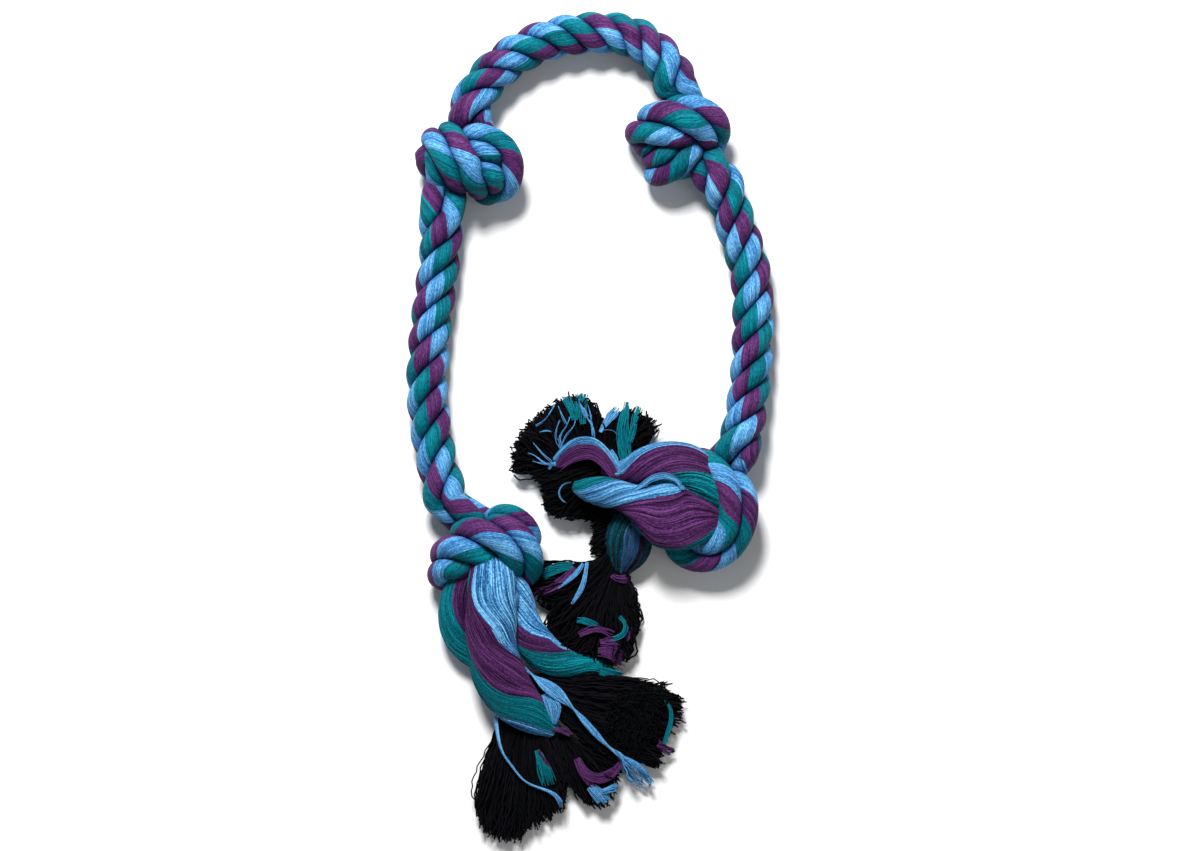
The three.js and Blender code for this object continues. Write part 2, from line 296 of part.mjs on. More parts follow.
// ---- strands pressed together ----
function segmentGap(a, b, c, d) {
  const u = b.clone().sub(a);
  const v = d.clone().sub(c);
  const w = a.clone().sub(c);
  const A = u.dot(u);
  const B = u.dot(v);
  const C = v.dot(v);
  const D = u.dot(w);
  const E = v.dot(w);
  const clamp = (x) => Math.min(1, Math.max(0, x));
  let best = Infinity;
  const test = (s, t) => {
    const gap = w.clone().addScaledVector(u, s).addScaledVector(v, -t).length();
    if (gap < best) best = gap;
  };
  const den = A * C - B * B;
  if (den > 1e-9) test(clamp((B * E - C * D) / den), clamp((A * E - B * D) / den));
  test(0, clamp(E / C));
  test(1, clamp((E + B) / C));
  test(clamp(-D / A), 0);
  test(clamp((B - D) / A), 1);
  return best;
}

// Three strands side by side. Each ring is as thick as the firm part of a free strand, or as half
// of the room to the nearest other strand where they are squeezed.
function press(curves, stepLength) {
  curves.forEach((curve) => { curve.arcLengthDivisions = 400; });
  const centres = curves.map((curve) => curve.getSpacedPoints(Math.max(3, Math.round(curve.getLength() / stepLength))));
  return curves.map((curve, own) => {
    const c = centres[own];
    const room = new Array(c.length - 1).fill(2 * STRAND_RADIUS + 2 * GAP);
    for (let k = 0; k + 1 < c.length; k += 1) {
      centres.forEach((o, other) => {
        for (let m = 0; m + 1 < o.length; m += 1) {
          if (other === own && Math.abs(m - k) < 3) continue;
          room[k] = Math.min(room[k], segmentGap(c[k], c[k + 1], o[m], o[m + 1]));
        }
      });
    }
    const radii = c.map((_, k) => Math.min(room[Math.max(0, k - 1)], room[Math.min(room.length - 1, k)]) / 2 - GAP);
    return tube(curve, radii);
  });
}
const knotStrands = (list) => press(list.map((points) => new THREE.CatmullRomCurve3(points.map(V), false, 'centripetal')), KNOT_STEP);

// ---- the free stretches: three strands laid right-handed round the route ----
function rope(route, lay) {
  const curve = new THREE.CatmullRomCurve3(route.map(V), false, 'centripetal');
  curve.arcLengthDivisions = 400;
  const length = curve.getLength();
  const turnAt = (s) => {
    let i = 0;
    while (i < lay.length - 2 && s > lay[i + 1]) i += 1;
    return ((i + (s - lay[i]) / (lay[i + 1] - lay[i])) * 2 * Math.PI) / 3;
  };
  const frame = (s) => {
    const t = curve.getTangentAt(Math.min(1, Math.max(0, s / length)));
    const side = new THREE.Vector3().crossVectors(t, new THREE.Vector3(0, 0, 1)).normalize();
    return { at: curve.getPointAt(Math.min(1, Math.max(0, s / length))), t, side, up: new THREE.Vector3().crossVectors(side, t) };
  };
  // The centre line of one strand between two places along the rope.
  const strand = (index, from, to) => {
    const points = [];
    const count = Math.ceil((to - from) / 4);
    for (let k = 0; k <= count; k += 1) {
      const s = from + ((to - from) * k) / count;
      const f = frame(s);
      const a = turnAt(s) - (2 * Math.PI * index) / 3;
      points.push(f.at.clone().addScaledVector(f.up, STRAND_OFFSET * Math.cos(a)).addScaledVector(f.side, STRAND_OFFSET * Math.sin(a)));
    }
    return new THREE.CatmullRomCurve3(points, false, 'centripetal');
  };
  const strands = (from, to) => press([0, 1, 2].map((q) => strand(q, from, to)), STRAND_STEP);
  return { frame, strands };
}

// ---- where one body ends and the next begins ----
const arch = rope(ARCH_ROUTE, ARCH_LAY);
const leftLeg = rope(LEFT_LEG_ROUTE, LEFT_LEG_LAY);
const rightLeg = rope(RIGHT_LEG_ROUTE, RIGHT_LEG_LAY);
const UP = new THREE.Vector3(0, 0, 1);

function bendAt(line, s, closing, angle) {
  const f = line.frame(s);
  return { pivot: f.at, along: f.t, closing: closing(f), angle: angle + SLACK };
}
const BENDS = {
  arch: bendAt(arch, ARCH_BEND, (f) => f.side.clone().negate(), ARCH_OPEN),
  leftLeg: bendAt(leftLeg, LEFT_LEG_BEND, (f) => f.side, SWING),
  rightLeg: bendAt(rightLeg, RIGHT_LEG_BEND, (f) => f.side.clone().negate(), SWING),
  leftEnd: bendAt(leftLeg, LEFT_END_LIFT, (f) => f.up, LIFT),
  rightEnd: bendAt(rightLeg, RIGHT_END_LIFT, (f) => f.up, LIFT),
  leftTail: { pivot: V(LEFT_TAIL_PIVOT), along: V(LEFT_TAIL_ALONG), closing: UP, angle: TAIL_LIFT + SLACK },
  rightTail: { pivot: V(RIGHT_TAIL_PIVOT), along: V(RIGHT_TAIL_ALONG), closing: UP, angle: TAIL_LIFT + SLACK },
};
const before = (bend) => pastBend(bend.pivot, bend.along, bend.closing, bend.angle, 1);
const after = (bend) => pastBend(bend.pivot, bend.along, bend.closing, bend.angle, -1);

// A plain cut square to the rope, where a free strand meets its own continuation in a knot.
const square = (line, s, side) => {
  const f = line.frame(s);
  return pastBend(f.at, f.t, f.up, 0, side, 15, 12);
};
const [A0, A1] = ARCH_SPAN;
const [L0, L1] = LEFT_LEG_SPAN;
const [R0, R1] = RIGHT_LEG_SPAN;
const MORE = 6;

// Cuts the blocks from a piece and keeps its main body.
function cut(geometry, blocks) {
  let body = solid(geometry);
  for (const block of blocks) body = body.subtract(block);
  const parts = body.decompose().sort((a, b) => b.volume() - a.volume());
  return geometryOf(parts[0]);
}

// ---- free stretches ----
const OVER = 13;
const pieces = (name, geometries, blocks) => geometries.forEach((g, q) => add(`${name}_strand_${q + 1}`, cut(g, blocks), COVER[q]));
pieces('arch_left', arch.strands(A0 - MORE, ARCH_BEND + OVER), [square(arch, A0, -1), before(BENDS.arch)]);
pieces('arch_right', arch.strands(ARCH_BEND - OVER, A1 + MORE), [after(BENDS.arch), square(arch, A1, 1)]);
pieces('left_leg_upper', leftLeg.strands(L0 - MORE, LEFT_LEG_BEND + OVER), [square(leftLeg, L0, -1), before(BENDS.leftLeg)]);
pieces('right_leg_upper', rightLeg.strands(R0 - MORE, RIGHT_LEG_BEND + OVER), [square(rightLeg, R0, -1), before(BENDS.rightLeg)]);
pieces('left_leg_lower', leftLeg.strands(LEFT_LEG_BEND - OVER, LEFT_END_LIFT + MORE), [after(BENDS.leftLeg), before(BENDS.leftEnd)]);
pieces('right_leg_lower', rightLeg.strands(RIGHT_LEG_BEND - OVER, RIGHT_END_LIFT + MORE), [after(BENDS.rightLeg), before(BENDS.rightEnd)]);

// ---- knots ----
// The middle knots run from the arch to a leg.
pieces('left_middle_knot', knotStrands(LEFT_MIDDLE_KNOT), [square(arch, A0, 1), square(leftLeg, L0, 1)]);
pieces('right_middle_knot', knotStrands(RIGHT_MIDDLE_KNOT), [square(arch, A1, -1), square(rightLeg, R0, 1)]);
pieces('left_end_knot', knotStrands(LEFT_END_KNOT), [after(BENDS.leftEnd), before(BENDS.leftTail)]);
pieces('right_end_knot', knotStrands(RIGHT_END_KNOT), [after(BENDS.rightEnd), before(BENDS.rightTail)]);

// ---- unlaid ends ----
function looseStrand(points, radius) {
  const curve = new THREE.CatmullRomCurve3(points.map(V), false, 'centripetal');
  const steps = Math.max(4, Math.round(curve.getLength() / 8));
  return tube(curve, new Array(steps + 1).fill(radius));
}
function tassel(outline, low, high) {
  const shape = new THREE.Shape(outline.map((p) => new THREE.Vector2(p[0], p[1])));
  const g = new THREE.ExtrudeGeometry(shape, { depth: high - low, bevelEnabled: false });
  g.translate(0, 0, low);
  return g;
}
LEFT_TAIL_STRANDS.forEach((s, q) => add(`left_tail_strand_${q + 1}`, cut(looseStrand(s.points, s.radius), [after(BENDS.leftTail)]), COVER[q]));
RIGHT_TAIL_STRANDS.forEach((s, q) => add(`right_tail_strand_${q + 1}`, cut(looseStrand(s.points, s.radius), [after(BENDS.rightTail)]), COVER[q]));
TASSELS.forEach((t) => add(t.name, tassel(t.outline, t.low, t.high), CORE));

for (const mesh of toy.children) mesh.geometry.translate(...FLOOR_SHIFT);

export default toy;
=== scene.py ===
"""Rope dog toy: three-strand rope with four overhand knots and two unlaid, frayed ends."""
import math
import random

import bpy
import numpy as np
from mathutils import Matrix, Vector


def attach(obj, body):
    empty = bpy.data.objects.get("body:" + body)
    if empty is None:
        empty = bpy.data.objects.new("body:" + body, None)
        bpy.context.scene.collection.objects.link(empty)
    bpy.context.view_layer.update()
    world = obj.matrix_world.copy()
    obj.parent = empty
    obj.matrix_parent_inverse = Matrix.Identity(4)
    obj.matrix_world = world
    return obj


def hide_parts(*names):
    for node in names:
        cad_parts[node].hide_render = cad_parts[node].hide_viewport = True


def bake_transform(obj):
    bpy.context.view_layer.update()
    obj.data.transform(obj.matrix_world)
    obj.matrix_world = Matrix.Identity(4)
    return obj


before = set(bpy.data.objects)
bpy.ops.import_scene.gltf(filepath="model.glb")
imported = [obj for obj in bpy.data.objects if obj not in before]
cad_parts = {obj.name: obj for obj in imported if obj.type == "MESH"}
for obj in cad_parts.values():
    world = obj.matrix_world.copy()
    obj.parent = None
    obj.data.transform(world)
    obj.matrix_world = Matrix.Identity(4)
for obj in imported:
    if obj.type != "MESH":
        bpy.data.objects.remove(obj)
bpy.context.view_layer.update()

# ---- sizes, in millimetres ----
SCALE = 28.0 / 41.0                 # millimetres per pixel of the 1200 x 851 frame
PX0, PY0 = 591.5, 426.0             # the pixel over the middle of the footprint, before the shift
SHIFT = (0.897, 0.008, -0.131)                 # the same shift as the CAD model's
FREE_R, KNOT_R = 6.9, 8.1           # radius of a strand before its neighbours flatten it
RINGS = 1.15                        # length of rope strand between two rings
AROUND = 44                         # points round a rope strand

# ---- the rope's centre line and its strands, points as in the CAD model ----
STRANDS = [
  {"p": [(-59.54, -129.07, 17.63), (-59.61, -126.15, 15.95), (-60.56, -123.47, 15.76), (-61.94, -120.96, 16.48), (-63.34, -118.53, 17.53), (-64.32, -116.11, 18.3), (-64.55, -113.64, 18.36), (-64.14, -111.11, 17.75), (-63.3, -108.53, 16.67), (-62.47, -105.37, 16.47), (-62.78, -103.06, 16.46), (-63.4, -100.39, 16.86), (-64.01, -98.2, 16.86), (-64.54, -95.84, 16.21), (-64.55, -93.89, 15.29), (-64.28, -91.63, 14.13), (-64.07, -89.53, 13.62), (-63.84, -86.97, 13.52), (-63.71, -84.84, 13.87), (-63.62, -82.51, 14.8), (-63.59, -80.72, 15.92), (-63.61, -78.69, 17.46), (-63.68, -76.99, 18.89), (-63.92, -75.14, 20.73), (-64.22, -73.67, 22.34), (-64.7, -72.04, 24.22), (-65.16, -70.73, 25.87), (-65.68, -68.66, 27.56), (-64.15, -67.63, 29.71), (-61.81, -67.45, 31.45), (-59.27, -67.76, 32.74), (-56.7, -68.47, 33.68), (-54.13, -69.59, 34.29), (-51.71, -71.09, 34.63), (-49.48, -72.92, 34.7), (-47.42, -74.87, 34.35), (-45.56, -76.94, 33.64), (-43.92, -79.12, 32.69), (-42.52, -81.39, 31.57), (-41.4, -83.73, 30.31), (-40.6, -86.11, 28.92), (-40.13, -88.52, 27.4), (-39.91, -90.86, 25.75), (-39.89, -93.14, 23.9), (-40.16, -95.27, 21.92), (-40.74, -97.29, 19.72), (-41.55, -99.07, 17.55), (-42.92, -100.8, 15.32), (-44.54, -102.23, 13.39), (-46.86, -103.75, 11.52), (-48.89, -104.83, 10.42), (-51.77, -105.57, 9.44), (-53.94, -105.84, 8.92), (-57.07, -105.89, 8.41), (-59.23, -105.82, 8.09), (-62.33, -105.69, 7.63), (-64.49, -105.64, 7.65), (-67.56, -105.58, 7.69), (-69.67, -105.54, 7.72), (-72.76, -105.48, 7.75), (-74.9, -105.43, 7.78), (-78.02, -105.37, 7.81), (-80.2, -105.32, 7.87), (-83.35, -105.19, 8.23), (-85.55, -105.11, 8.47), (-88.68, -104.98, 8.81), (-90.8, -104.89, 9.04), (-93.84, -104.77, 9.37), (-96.03, -104.68, 9.61), (-99.49, -104.57, 9.91), (-101.61, -103.93, 11.67), (-102.87, -102.68, 14.07), (-103.14, -101.31, 16.58), (-102.73, -99.97, 19.31), (-101.69, -98.63, 21.84), (-100.12, -97.42, 24.01), (-98.11, -96.39, 25.66), (-95.68, -95.81, 26.85), (-92.9, -96.23, 27.71), (-90.09, -96.14, 27.84), (-87.31, -95.54, 27.3), (-84.65, -95.01, 26.34), (-82.05, -95.06, 25.17), (-79.62, -95.89, 23.9), (-77.28, -96.26, 22.66), (-75.04, -94.7, 21.82), (-72.58, -92.76, 19.9), (-71.93, -89.67, 17.83), (-71.94, -88, 16.53), (-72.82, -85.77, 14.41), (-73.57, -84.34, 12.97), (-74.6, -81.98, 10.57), (-75.65, -80.27, 9.15), (-77.87, -77.63, 8.14), (-79.49, -76.05, 8.27), (-81.8, -73.88, 9.21), (-83.28, -72.48, 9.75), (-85.63, -70.27, 10.61), (-87.15, -68.83, 11.17), (-89.52, -66.59, 12.04), (-91.04, -65.16, 12.6), (-93.38, -62.94, 13.46), (-94.88, -61.53, 14.02), (-97.23, -59.31, 14.88), (-98.76, -57.86, 15.44), (-101.14, -55.61, 16.32), (-102.69, -54.15, 16.89), (-105.16, -51.82, 17.8), (-105.97, -49.43, 19.09), (-106.24, -46.98, 20.52), (-106.1, -44.47, 21.91), (-105.75, -41.86, 23.04), (-105.19, -39.18, 23.9), (-104.46, -36.46, 24.44), (-103.61, -33.73, 24.63), (-102.66, -31.03, 24.48), (-101.44, -27.91, 23.81), (-100.27, -24.95, 22.62), (-99.31, -22.14, 20.96), (-98.72, -19.46, 18.93), (-98.63, -16.9, 16.66), (-99.07, -14.47, 14.32), (-100.03, -12.15, 12.07), (-101.46, -9.87, 10.08), (-103.26, -7.5, 8.48), (-105.33, -5, 7.36), (-107.57, -2.37, 6.78), (-109.85, 0.12, 6.76), (-112.09, 2.58, 7.25), (-114.16, 5.05, 8.23), (-115.94, 7.6, 9.64), (-117.29, 10.27, 11.42), (-118.1, 13.06, 13.44), (-118.28, 15.92, 15.55), (-117.82, 18.8, 17.57), (-116.77, 21.68, 19.32), (-115.26, 24.56, 20.65), (-113.42, 27.41, 21.47), (-111.4, 30.18, 21.71), (-109.37, 32.85, 21.42), (-107.46, 35.44, 20.63), (-105.78, 38.01, 19.42), (-104.45, 40.66, 17.88), (-103.55, 43.38, 16.1), (-103.14, 46.14, 14.17), (-103.25, 48.88, 12.22), (-103.88, 51.59, 10.36), (-104.97, 54.34, 8.74), (-106.47, 57.16, 7.52), (-108.22, 60.06, 6.83), (-110.09, 63.01, 6.75), (-111.9, 65.94, 7.29), (-113.47, 68.83, 8.4), (-114.63, 71.7, 9.96), (-115.27, 74.57, 11.82), (-115.33, 77.42, 13.84), (-114.81, 80.19, 15.87), (-113.74, 82.85, 17.76), (-112.19, 85.41, 19.39), (-110.26, 87.9, 20.65), (-108.05, 90.36, 21.44), (-105.69, 92.8, 21.71), (-103.32, 95.22, 21.44), (-101.11, 97.58, 20.66), (-99.17, 100, 19.47), (-97.61, 102.61, 17.95), (-96.53, 105.4, 16.2), (-96.03, 108.34, 14.35), (-96.11, 111.33, 12.53), (-96.78, 114.32, 10.88), (-97.97, 117.32, 9.52), (-99.62, 120.31, 8.62), (-101.55, 123.26, 8.31), (-103.22, 125.59, 8.54), (-104.85, 127.85, 9.2), (-106.34, 130.06, 10.24), (-107.57, 132.27, 11.6), (-108.44, 134.53, 13.14), (-108.93, 136.85, 14.76), (-109, 139.2, 16.39), (-108.63, 141.54, 18.02), (-108.23, 144.04, 19.32), (-107.99, 146.77, 20.15), (-107.83, 149.64, 20.54), (-107.62, 152.58, 20.58), (-107.28, 155.45, 20.29), (-106.71, 158.26, 19.77), (-105.92, 160.89, 19.16), (-104.88, 163.49, 18.6), (-103.64, 165.77, 18.08), (-103.07, 167.85, 19.2), (-103.48, 169.1, 20.94), (-103.64, 170.55, 22.5), (-103.83, 172.01, 24.01), (-103.88, 173.6, 25.41), (-103.96, 175.19, 26.58), (-103.96, 176.99, 27.53), (-104.09, 179.03, 28.09), (-104.52, 181.3, 28.01), (-105.31, 183.15, 27.04), (-106.16, 183.95, 25.52), (-107.15, 184.29, 23.86), (-109.51, 184.76, 23.28), (-111.36, 184.42, 21.9), (-110.83, 182.52, 19.98), (-111.04, 180.6, 17.89), (-110.41, 178.61, 15.94), (-109.33, 176.82, 14.3), (-108.09, 175.2, 12.24), (-106.99, 173.03, 11.11), (-105.86, 174.45, 12.7), (-104.27, 175.59, 13.88), (-102.7, 176.35, 14.6), (-100.58, 177.83, 15.14), (-98.79, 179.49, 15.07), (-96.97, 181.44, 15.18), (-95.53, 182.95, 15.54), (-93.95, 184.69, 16.15), (-92.65, 186.14, 16.83), (-91.18, 187.91, 17.84), (-89.99, 189.45, 18.79), (-88.69, 191.27, 19.91), (-87.49, 192.83, 20.64), (-85.83, 194.49, 21.41), (-84.24, 195.45, 22.42), (-82.22, 196.78, 24.64), (-80.18, 197.56, 26.88), (-77.7, 197.79, 28.99), (-75.11, 197.63, 30.23), (-71.99, 196.95, 30.73), (-69.11, 196.01, 30.67), (-65.97, 194.67, 30.39), (-63.33, 193.25, 30.06), (-60.43, 191.2, 29.56), (-58.25, 189.1, 29.03), (-56.1, 186.12, 28.27), (-54.7, 183.46, 27.56), (-53.62, 179.98, 26.71), (-53.17, 177.06, 25.9), (-53.19, 173.4, 24.63), (-53.65, 170.55, 23.25), (-54.53, 167.4, 21.24), (-55.68, 165.16, 19.5), (-57.75, 162.72, 17.4), (-60.12, 161.23, 15.83), (-63.36, 160.26, 14.2), (-66.25, 159.94, 12.98), (-68.89, 159.17, 11.35), (-71.07, 158.78, 9.89), (-72.81, 159.92, 8.45), (-73.8, 162.15, 7.31), (-73.65, 165.6, 6.52), (-73.59, 167.97, 5.95), (-73.51, 171.09, 5.2), (-73.44, 173.18, 4.68), (-73.23, 176.25, 4.37), (-73.09, 178.35, 4.56), (-72.96, 181.33, 5.39), (-72.95, 183.38, 6.12), (-72.92, 186.37, 7.12), (-72.89, 188.41, 7.81), (-72.86, 191.31, 8.78), (-72.83, 193.25, 9.42), (-72.82, 196.11, 10.43), (-72.9, 198.13, 11.24), (-73.29, 201.11, 12.58), (-73.84, 203.35, 13.68), (-74.91, 206.34, 15.16), (-76.04, 208.89, 16.38), (-75.57, 211.28, 16.84), (-75.27, 213.52, 15.57), (-75.22, 215.73, 13.64), (-75.42, 218.04, 11.99), (-75.77, 220.51, 10.56), (-76.17, 223.14, 9.5), (-76.55, 225.9, 8.83), (-76.92, 229.3, 8.55), (-77.07, 232.81, 8.86), (-76.83, 236.32, 9.73), (-76.05, 239.69, 11.09), (-74.65, 242.75, 12.82), (-72.68, 245.32, 14.78), (-70.21, 247.27, 16.8), (-67.34, 248.57, 18.69), (-64.17, 249.29, 20.23), (-60.77, 249.53, 21.28), (-57.27, 249.43, 21.71), (-53.77, 249.14, 21.47), (-50.39, 248.82, 20.5), (-47.29, 248.65, 18.89), (-44.49, 248.9, 16.79), (-42, 249.74, 14.45), (-39.79, 251.22, 12.12), (-37.86, 253.27, 10.06), (-36.14, 255.73, 8.43), (-34.51, 258.47, 7.32), (-32.81, 261.36, 6.77), (-30.96, 264.27, 6.8), (-28.89, 267.05, 7.41), (-26.61, 269.57, 8.6), (-24.13, 271.66, 10.32), (-21.45, 273.15, 12.48), (-18.58, 273.86, 14.9), (-15.59, 273.69, 17.29), (-12.55, 272.69, 19.37), (-9.53, 271.02, 20.87), (-6.55, 268.96, 21.63), (-3.61, 266.81, 21.6), (-0.73, 264.81, 20.84), (2.06, 263.14, 19.45), (4.73, 261.93, 17.57), (7.3, 261.28, 15.35), (9.81, 261.29, 12.96), (12.34, 262.01, 10.63), (14.97, 263.42, 8.61), (17.78, 265.4, 7.22), (20.84, 267.63, 6.71), (24.14, 269.7, 7.2), (27.68, 271.17, 8.63), (31.2, 271.72, 10.81), (34.38, 271.28, 13.48), (37.05, 269.85, 16.31), (39.09, 267.53, 18.96), (40.49, 264.53, 21.13), (41.36, 261.11, 22.6), (41.88, 257.51, 23.27), (42.29, 253.99, 23.16), (42.75, 250.69, 22.41), (43.73, 246.28, 20.34), (44.59, 244.07, 18.74), (45.74, 242.15, 16.97), (47.24, 240.54, 15.15), (49.13, 239.22, 13.46), (51.34, 238.09, 12.05), (54.01, 237.23, 11.23), (56.6, 236.21, 10.81), (58.19, 234.32, 10.26), (58.83, 231.65, 9.54), (58, 228.59, 9.17), (57.07, 225.18, 8.85), (56.51, 222.94, 8.84), (55.73, 219.79, 8.79), (55.23, 217.78, 8.76), (54.46, 214.69, 8.71), (53.89, 212.65, 8.61), (53.46, 209.35, 8.94), (53.87, 207.2, 9.49), (54.61, 204.29, 11.1), (54.62, 202.62, 12.5), (54.12, 200.53, 14.9), (53.71, 199.35, 16.84), (52.68, 197.7, 19.78), (51.23, 196.42, 21.31), (48.36, 194.37, 21.76), (46.02, 193.82, 21.8), (42.99, 193.11, 21.52), (40.32, 192.12, 20.71), (38.43, 191.24, 18.83), (37.78, 190.88, 16.15), (38.91, 192.18, 13.92), (40.24, 194.1, 12.96), (40.9, 196.92, 11.62), (41.44, 199.09, 10.39), (43.12, 201.87, 9.31), (44.67, 203.62, 9.67), (46.64, 205.7, 11.23), (47.56, 206.74, 13.05), (49.23, 207.3, 16.07), (50.51, 207.17, 17.79), (52.82, 206.57, 19.92), (54.48, 205.92, 21.09), (56.98, 204.27, 22.52), (58.65, 202.92, 23.44), (61.33, 200.83, 24.78), (63.28, 198.74, 25.83), (63.56, 198.09, 27.03), (64.07, 197.14, 28.87), (62.6, 195.53, 30.33), (60.87, 197.07, 29.51), (58.78, 196.51, 31.15), (56.29, 196.44, 32.24), (53.78, 196.89, 32.38), (51.04, 197.41, 33.09), (48.27, 198.08, 33.33), (45.47, 198.6, 32.92), (42.83, 199.11, 31.95), (40.4, 199.73, 30.53), (38.06, 200.01, 28.83), (35.94, 200.16, 26.91), (33.85, 200.12, 24.71), (32.47, 200.05, 22.02), (31.74, 200.04, 18.66), (31.67, 199.94, 15.76), (31.7, 199.22, 12.28), (32.37, 198.83, 9.59), (34.09, 197.69, 6.72), (35.75, 196.81, 5.36), (38.94, 195.47, 4.01), (41.11, 194.79, 3.88), (44.51, 193.95, 3.94), (46.58, 193.4, 3.93), (50.03, 192.5, 3.93), (52.17, 191.95, 3.92), (55.64, 191.05, 3.9), (57.74, 190.54, 3.83), (61.11, 189.29, 3.84), (63.07, 188.34, 4.09), (66.02, 186.7, 5.31), (67.64, 185.79, 6.46), (70.03, 184.71, 8.97), (71.61, 183.49, 10.02), (74.58, 181.23, 10.5), (76.54, 179.96, 10.39), (79.62, 178.7, 10.07), (81.66, 178.21, 9.83), (85.07, 177.28, 9.52), (87.11, 175.56, 10.66), (89.26, 174.09, 11.88), (91.51, 172.88, 13.17), (93.53, 171.45, 14.56), (95.14, 169.6, 16.04), (96.4, 167.49, 17.5), (97.28, 165.16, 18.9), (97.76, 162.65, 20.2), (97.85, 160.03, 21.34), (97.6, 157.34, 22.26), (97.05, 154.61, 22.89), (96.1, 151.3, 23.21), (94.99, 148.05, 22.97), (93.93, 144.92, 22.17), (93.04, 141.93, 20.89), (92.47, 139.08, 19.19), (92.33, 136.34, 17.2), (92.72, 133.69, 15.03), (93.69, 131.16, 12.84), (95.25, 128.77, 10.77), (97.33, 126.57, 9.01), (99.84, 124.58, 7.66), (102.65, 122.65, 6.88), (105.6, 120.71, 6.74), (108.49, 118.71, 7.27), (111.11, 116.6, 8.42), (113.3, 114.31, 10.09), (114.94, 111.8, 12.11), (115.92, 109.02, 14.32), (116.18, 106.03, 16.52), (115.71, 102.94, 18.51), (114.6, 99.85, 20.12), (113.01, 96.83, 21.2), (111.14, 93.89, 21.69), (109.2, 91.03, 21.56), (107.37, 88.23, 20.85), (105.79, 85.48, 19.63), (104.59, 82.75, 18.02), (103.88, 80.02, 16.12), (103.7, 77.29, 14.08), (104.08, 74.6, 12.04), (104.99, 71.95, 10.15), (106.36, 69.32, 8.57), (108.05, 66.64, 7.42), (109.94, 63.87, 6.8), (111.89, 61.04, 6.76), (113.76, 58.2, 7.3), (115.44, 55.42, 8.39), (116.78, 52.69, 9.95), (117.65, 49.96, 11.87), (117.93, 47.17, 14.02), (117.54, 44.34, 16.2), (116.49, 41.56, 18.21), (114.85, 38.86, 19.88), (112.78, 36.26, 21.05), (110.47, 33.72, 21.65), (108.1, 31.23, 21.63), (105.87, 29, 21.1), (103.87, 26.69, 20.17), (102.19, 24.24, 18.92), (100.91, 21.58, 17.45), (100.09, 18.69, 15.87), (99.81, 15.61, 14.3), (100.1, 12.41, 12.85), (100.94, 9.21, 11.68), (102.2, 6.07, 10.94), (103.72, 2.98, 10.72), (105.33, -0.08, 11.09), (106.59, -2.53, 11.85), (107.68, -4.91, 12.99), (108.52, -7.2, 14.48), (109.02, -9.4, 16.24), (109.14, -11.51, 18.11), (108.73, -13.53, 20.26), (107.91, -15.48, 22.21), (107.17, -17.52, 22.47), (106.58, -19.64, 21.04), (104.86, -22.09, 19.61), (102.94, -24.8, 18.03), (101.65, -26.62, 16.96), (99.96, -29.04, 15.56), (98.85, -30.56, 14.65), (97.05, -32.71, 13.3), (95.72, -34.2, 12.64), (93.73, -36.57, 12.02), (92.37, -38.17, 11.58), (90.33, -40.56, 10.93), (88.94, -42.17, 10.49), (86.88, -44.53, 9.85), (85.48, -46.11, 9.42), (83.41, -48.43, 8.8), (82.01, -49.98, 8.38), (79.92, -52.27, 7.77), (78.52, -53.8, 7.35), (76.37, -56.04, 6.81), (74.86, -57.54, 6.51), (72.56, -59.73, 6.27), (70.97, -61.22, 6.2), (68.62, -63.43, 6.34), (67.05, -64.94, 6.53), (64.8, -67.15, 6.92), (63.34, -68.64, 7.26), (61.32, -71.01, 7.92), (60.14, -72.78, 8.52), (58.89, -75.52, 9.6), (58.4, -77.57, 10.51), (58.45, -80.55, 11.95), (59.02, -82.79, 13.25), (60.68, -85.37, 14.33), (63.01, -87.55, 14.82), (66.04, -89.43, 14.97), (68.87, -90.66, 14.99), (71.94, -91.42, 14.95), (74.79, -91.75, 15.04), (77.9, -91.74, 15.3), (80.77, -91.44, 15.7), (83.76, -90.78, 16.3), (86.49, -89.95, 16.93), (89.17, -88.73, 17.66), (91.57, -87.28, 18.38), (93.84, -85.5, 19.12), (95.88, -83.56, 19.86), (97.75, -81.41, 20.61), (99.41, -79.18, 21.33), (100.88, -76.8, 22.09), (102.16, -74.35, 22.84), (103.32, -71.82, 23.57), (104.28, -69.23, 24.3), (105.07, -66.57, 25.02), (105.7, -63.84, 25.71), (106.15, -61.07, 26.34), (106.4, -58.25, 26.85), (106.46, -55.41, 27.13), (106.27, -52.56, 27.13), (105.81, -49.75, 26.83), (105.07, -47.01, 26.3), (104.06, -44.42, 25.63), (102.8, -42, 24.79), (101.37, -39.79, 23.62), (99.76, -37.94, 21.99), (97.18, -37.59, 20.82), (94.68, -39.14, 21.01), (92.45, -40.55, 21.2), (90.8, -41.59, 21.33), (88.38, -43.13, 21.51), (86.41, -44.32, 21.62), (83.87, -45.77, 21.73), (82, -46.8, 21.79), (79.54, -48.15, 21.84), (77.69, -49.17, 21.86), (75.22, -50.52, 21.85), (73.35, -51.55, 21.83), (70.87, -52.91, 21.78), (69, -53.94, 21.72), (66.52, -55.31, 21.61), (64.65, -56.34, 21.52), (62.16, -57.72, 21.37), (60.29, -58.76, 21.24), (57.83, -60.14, 21.06), (56.01, -61.16, 20.92), (53.6, -62.52, 20.72), (51.8, -63.54, 20.56), (49.3, -64.96, 20.33), (47.29, -66.1, 20.14), (44.38, -67.75, 19.86), (41.94, -68.3, 20.49), (39.98, -67.84, 22.18), (38.34, -66.57, 24.45), (36.82, -64.78, 26.68), (35.22, -62.76, 28.25), (33.34, -60.77, 28.55)],
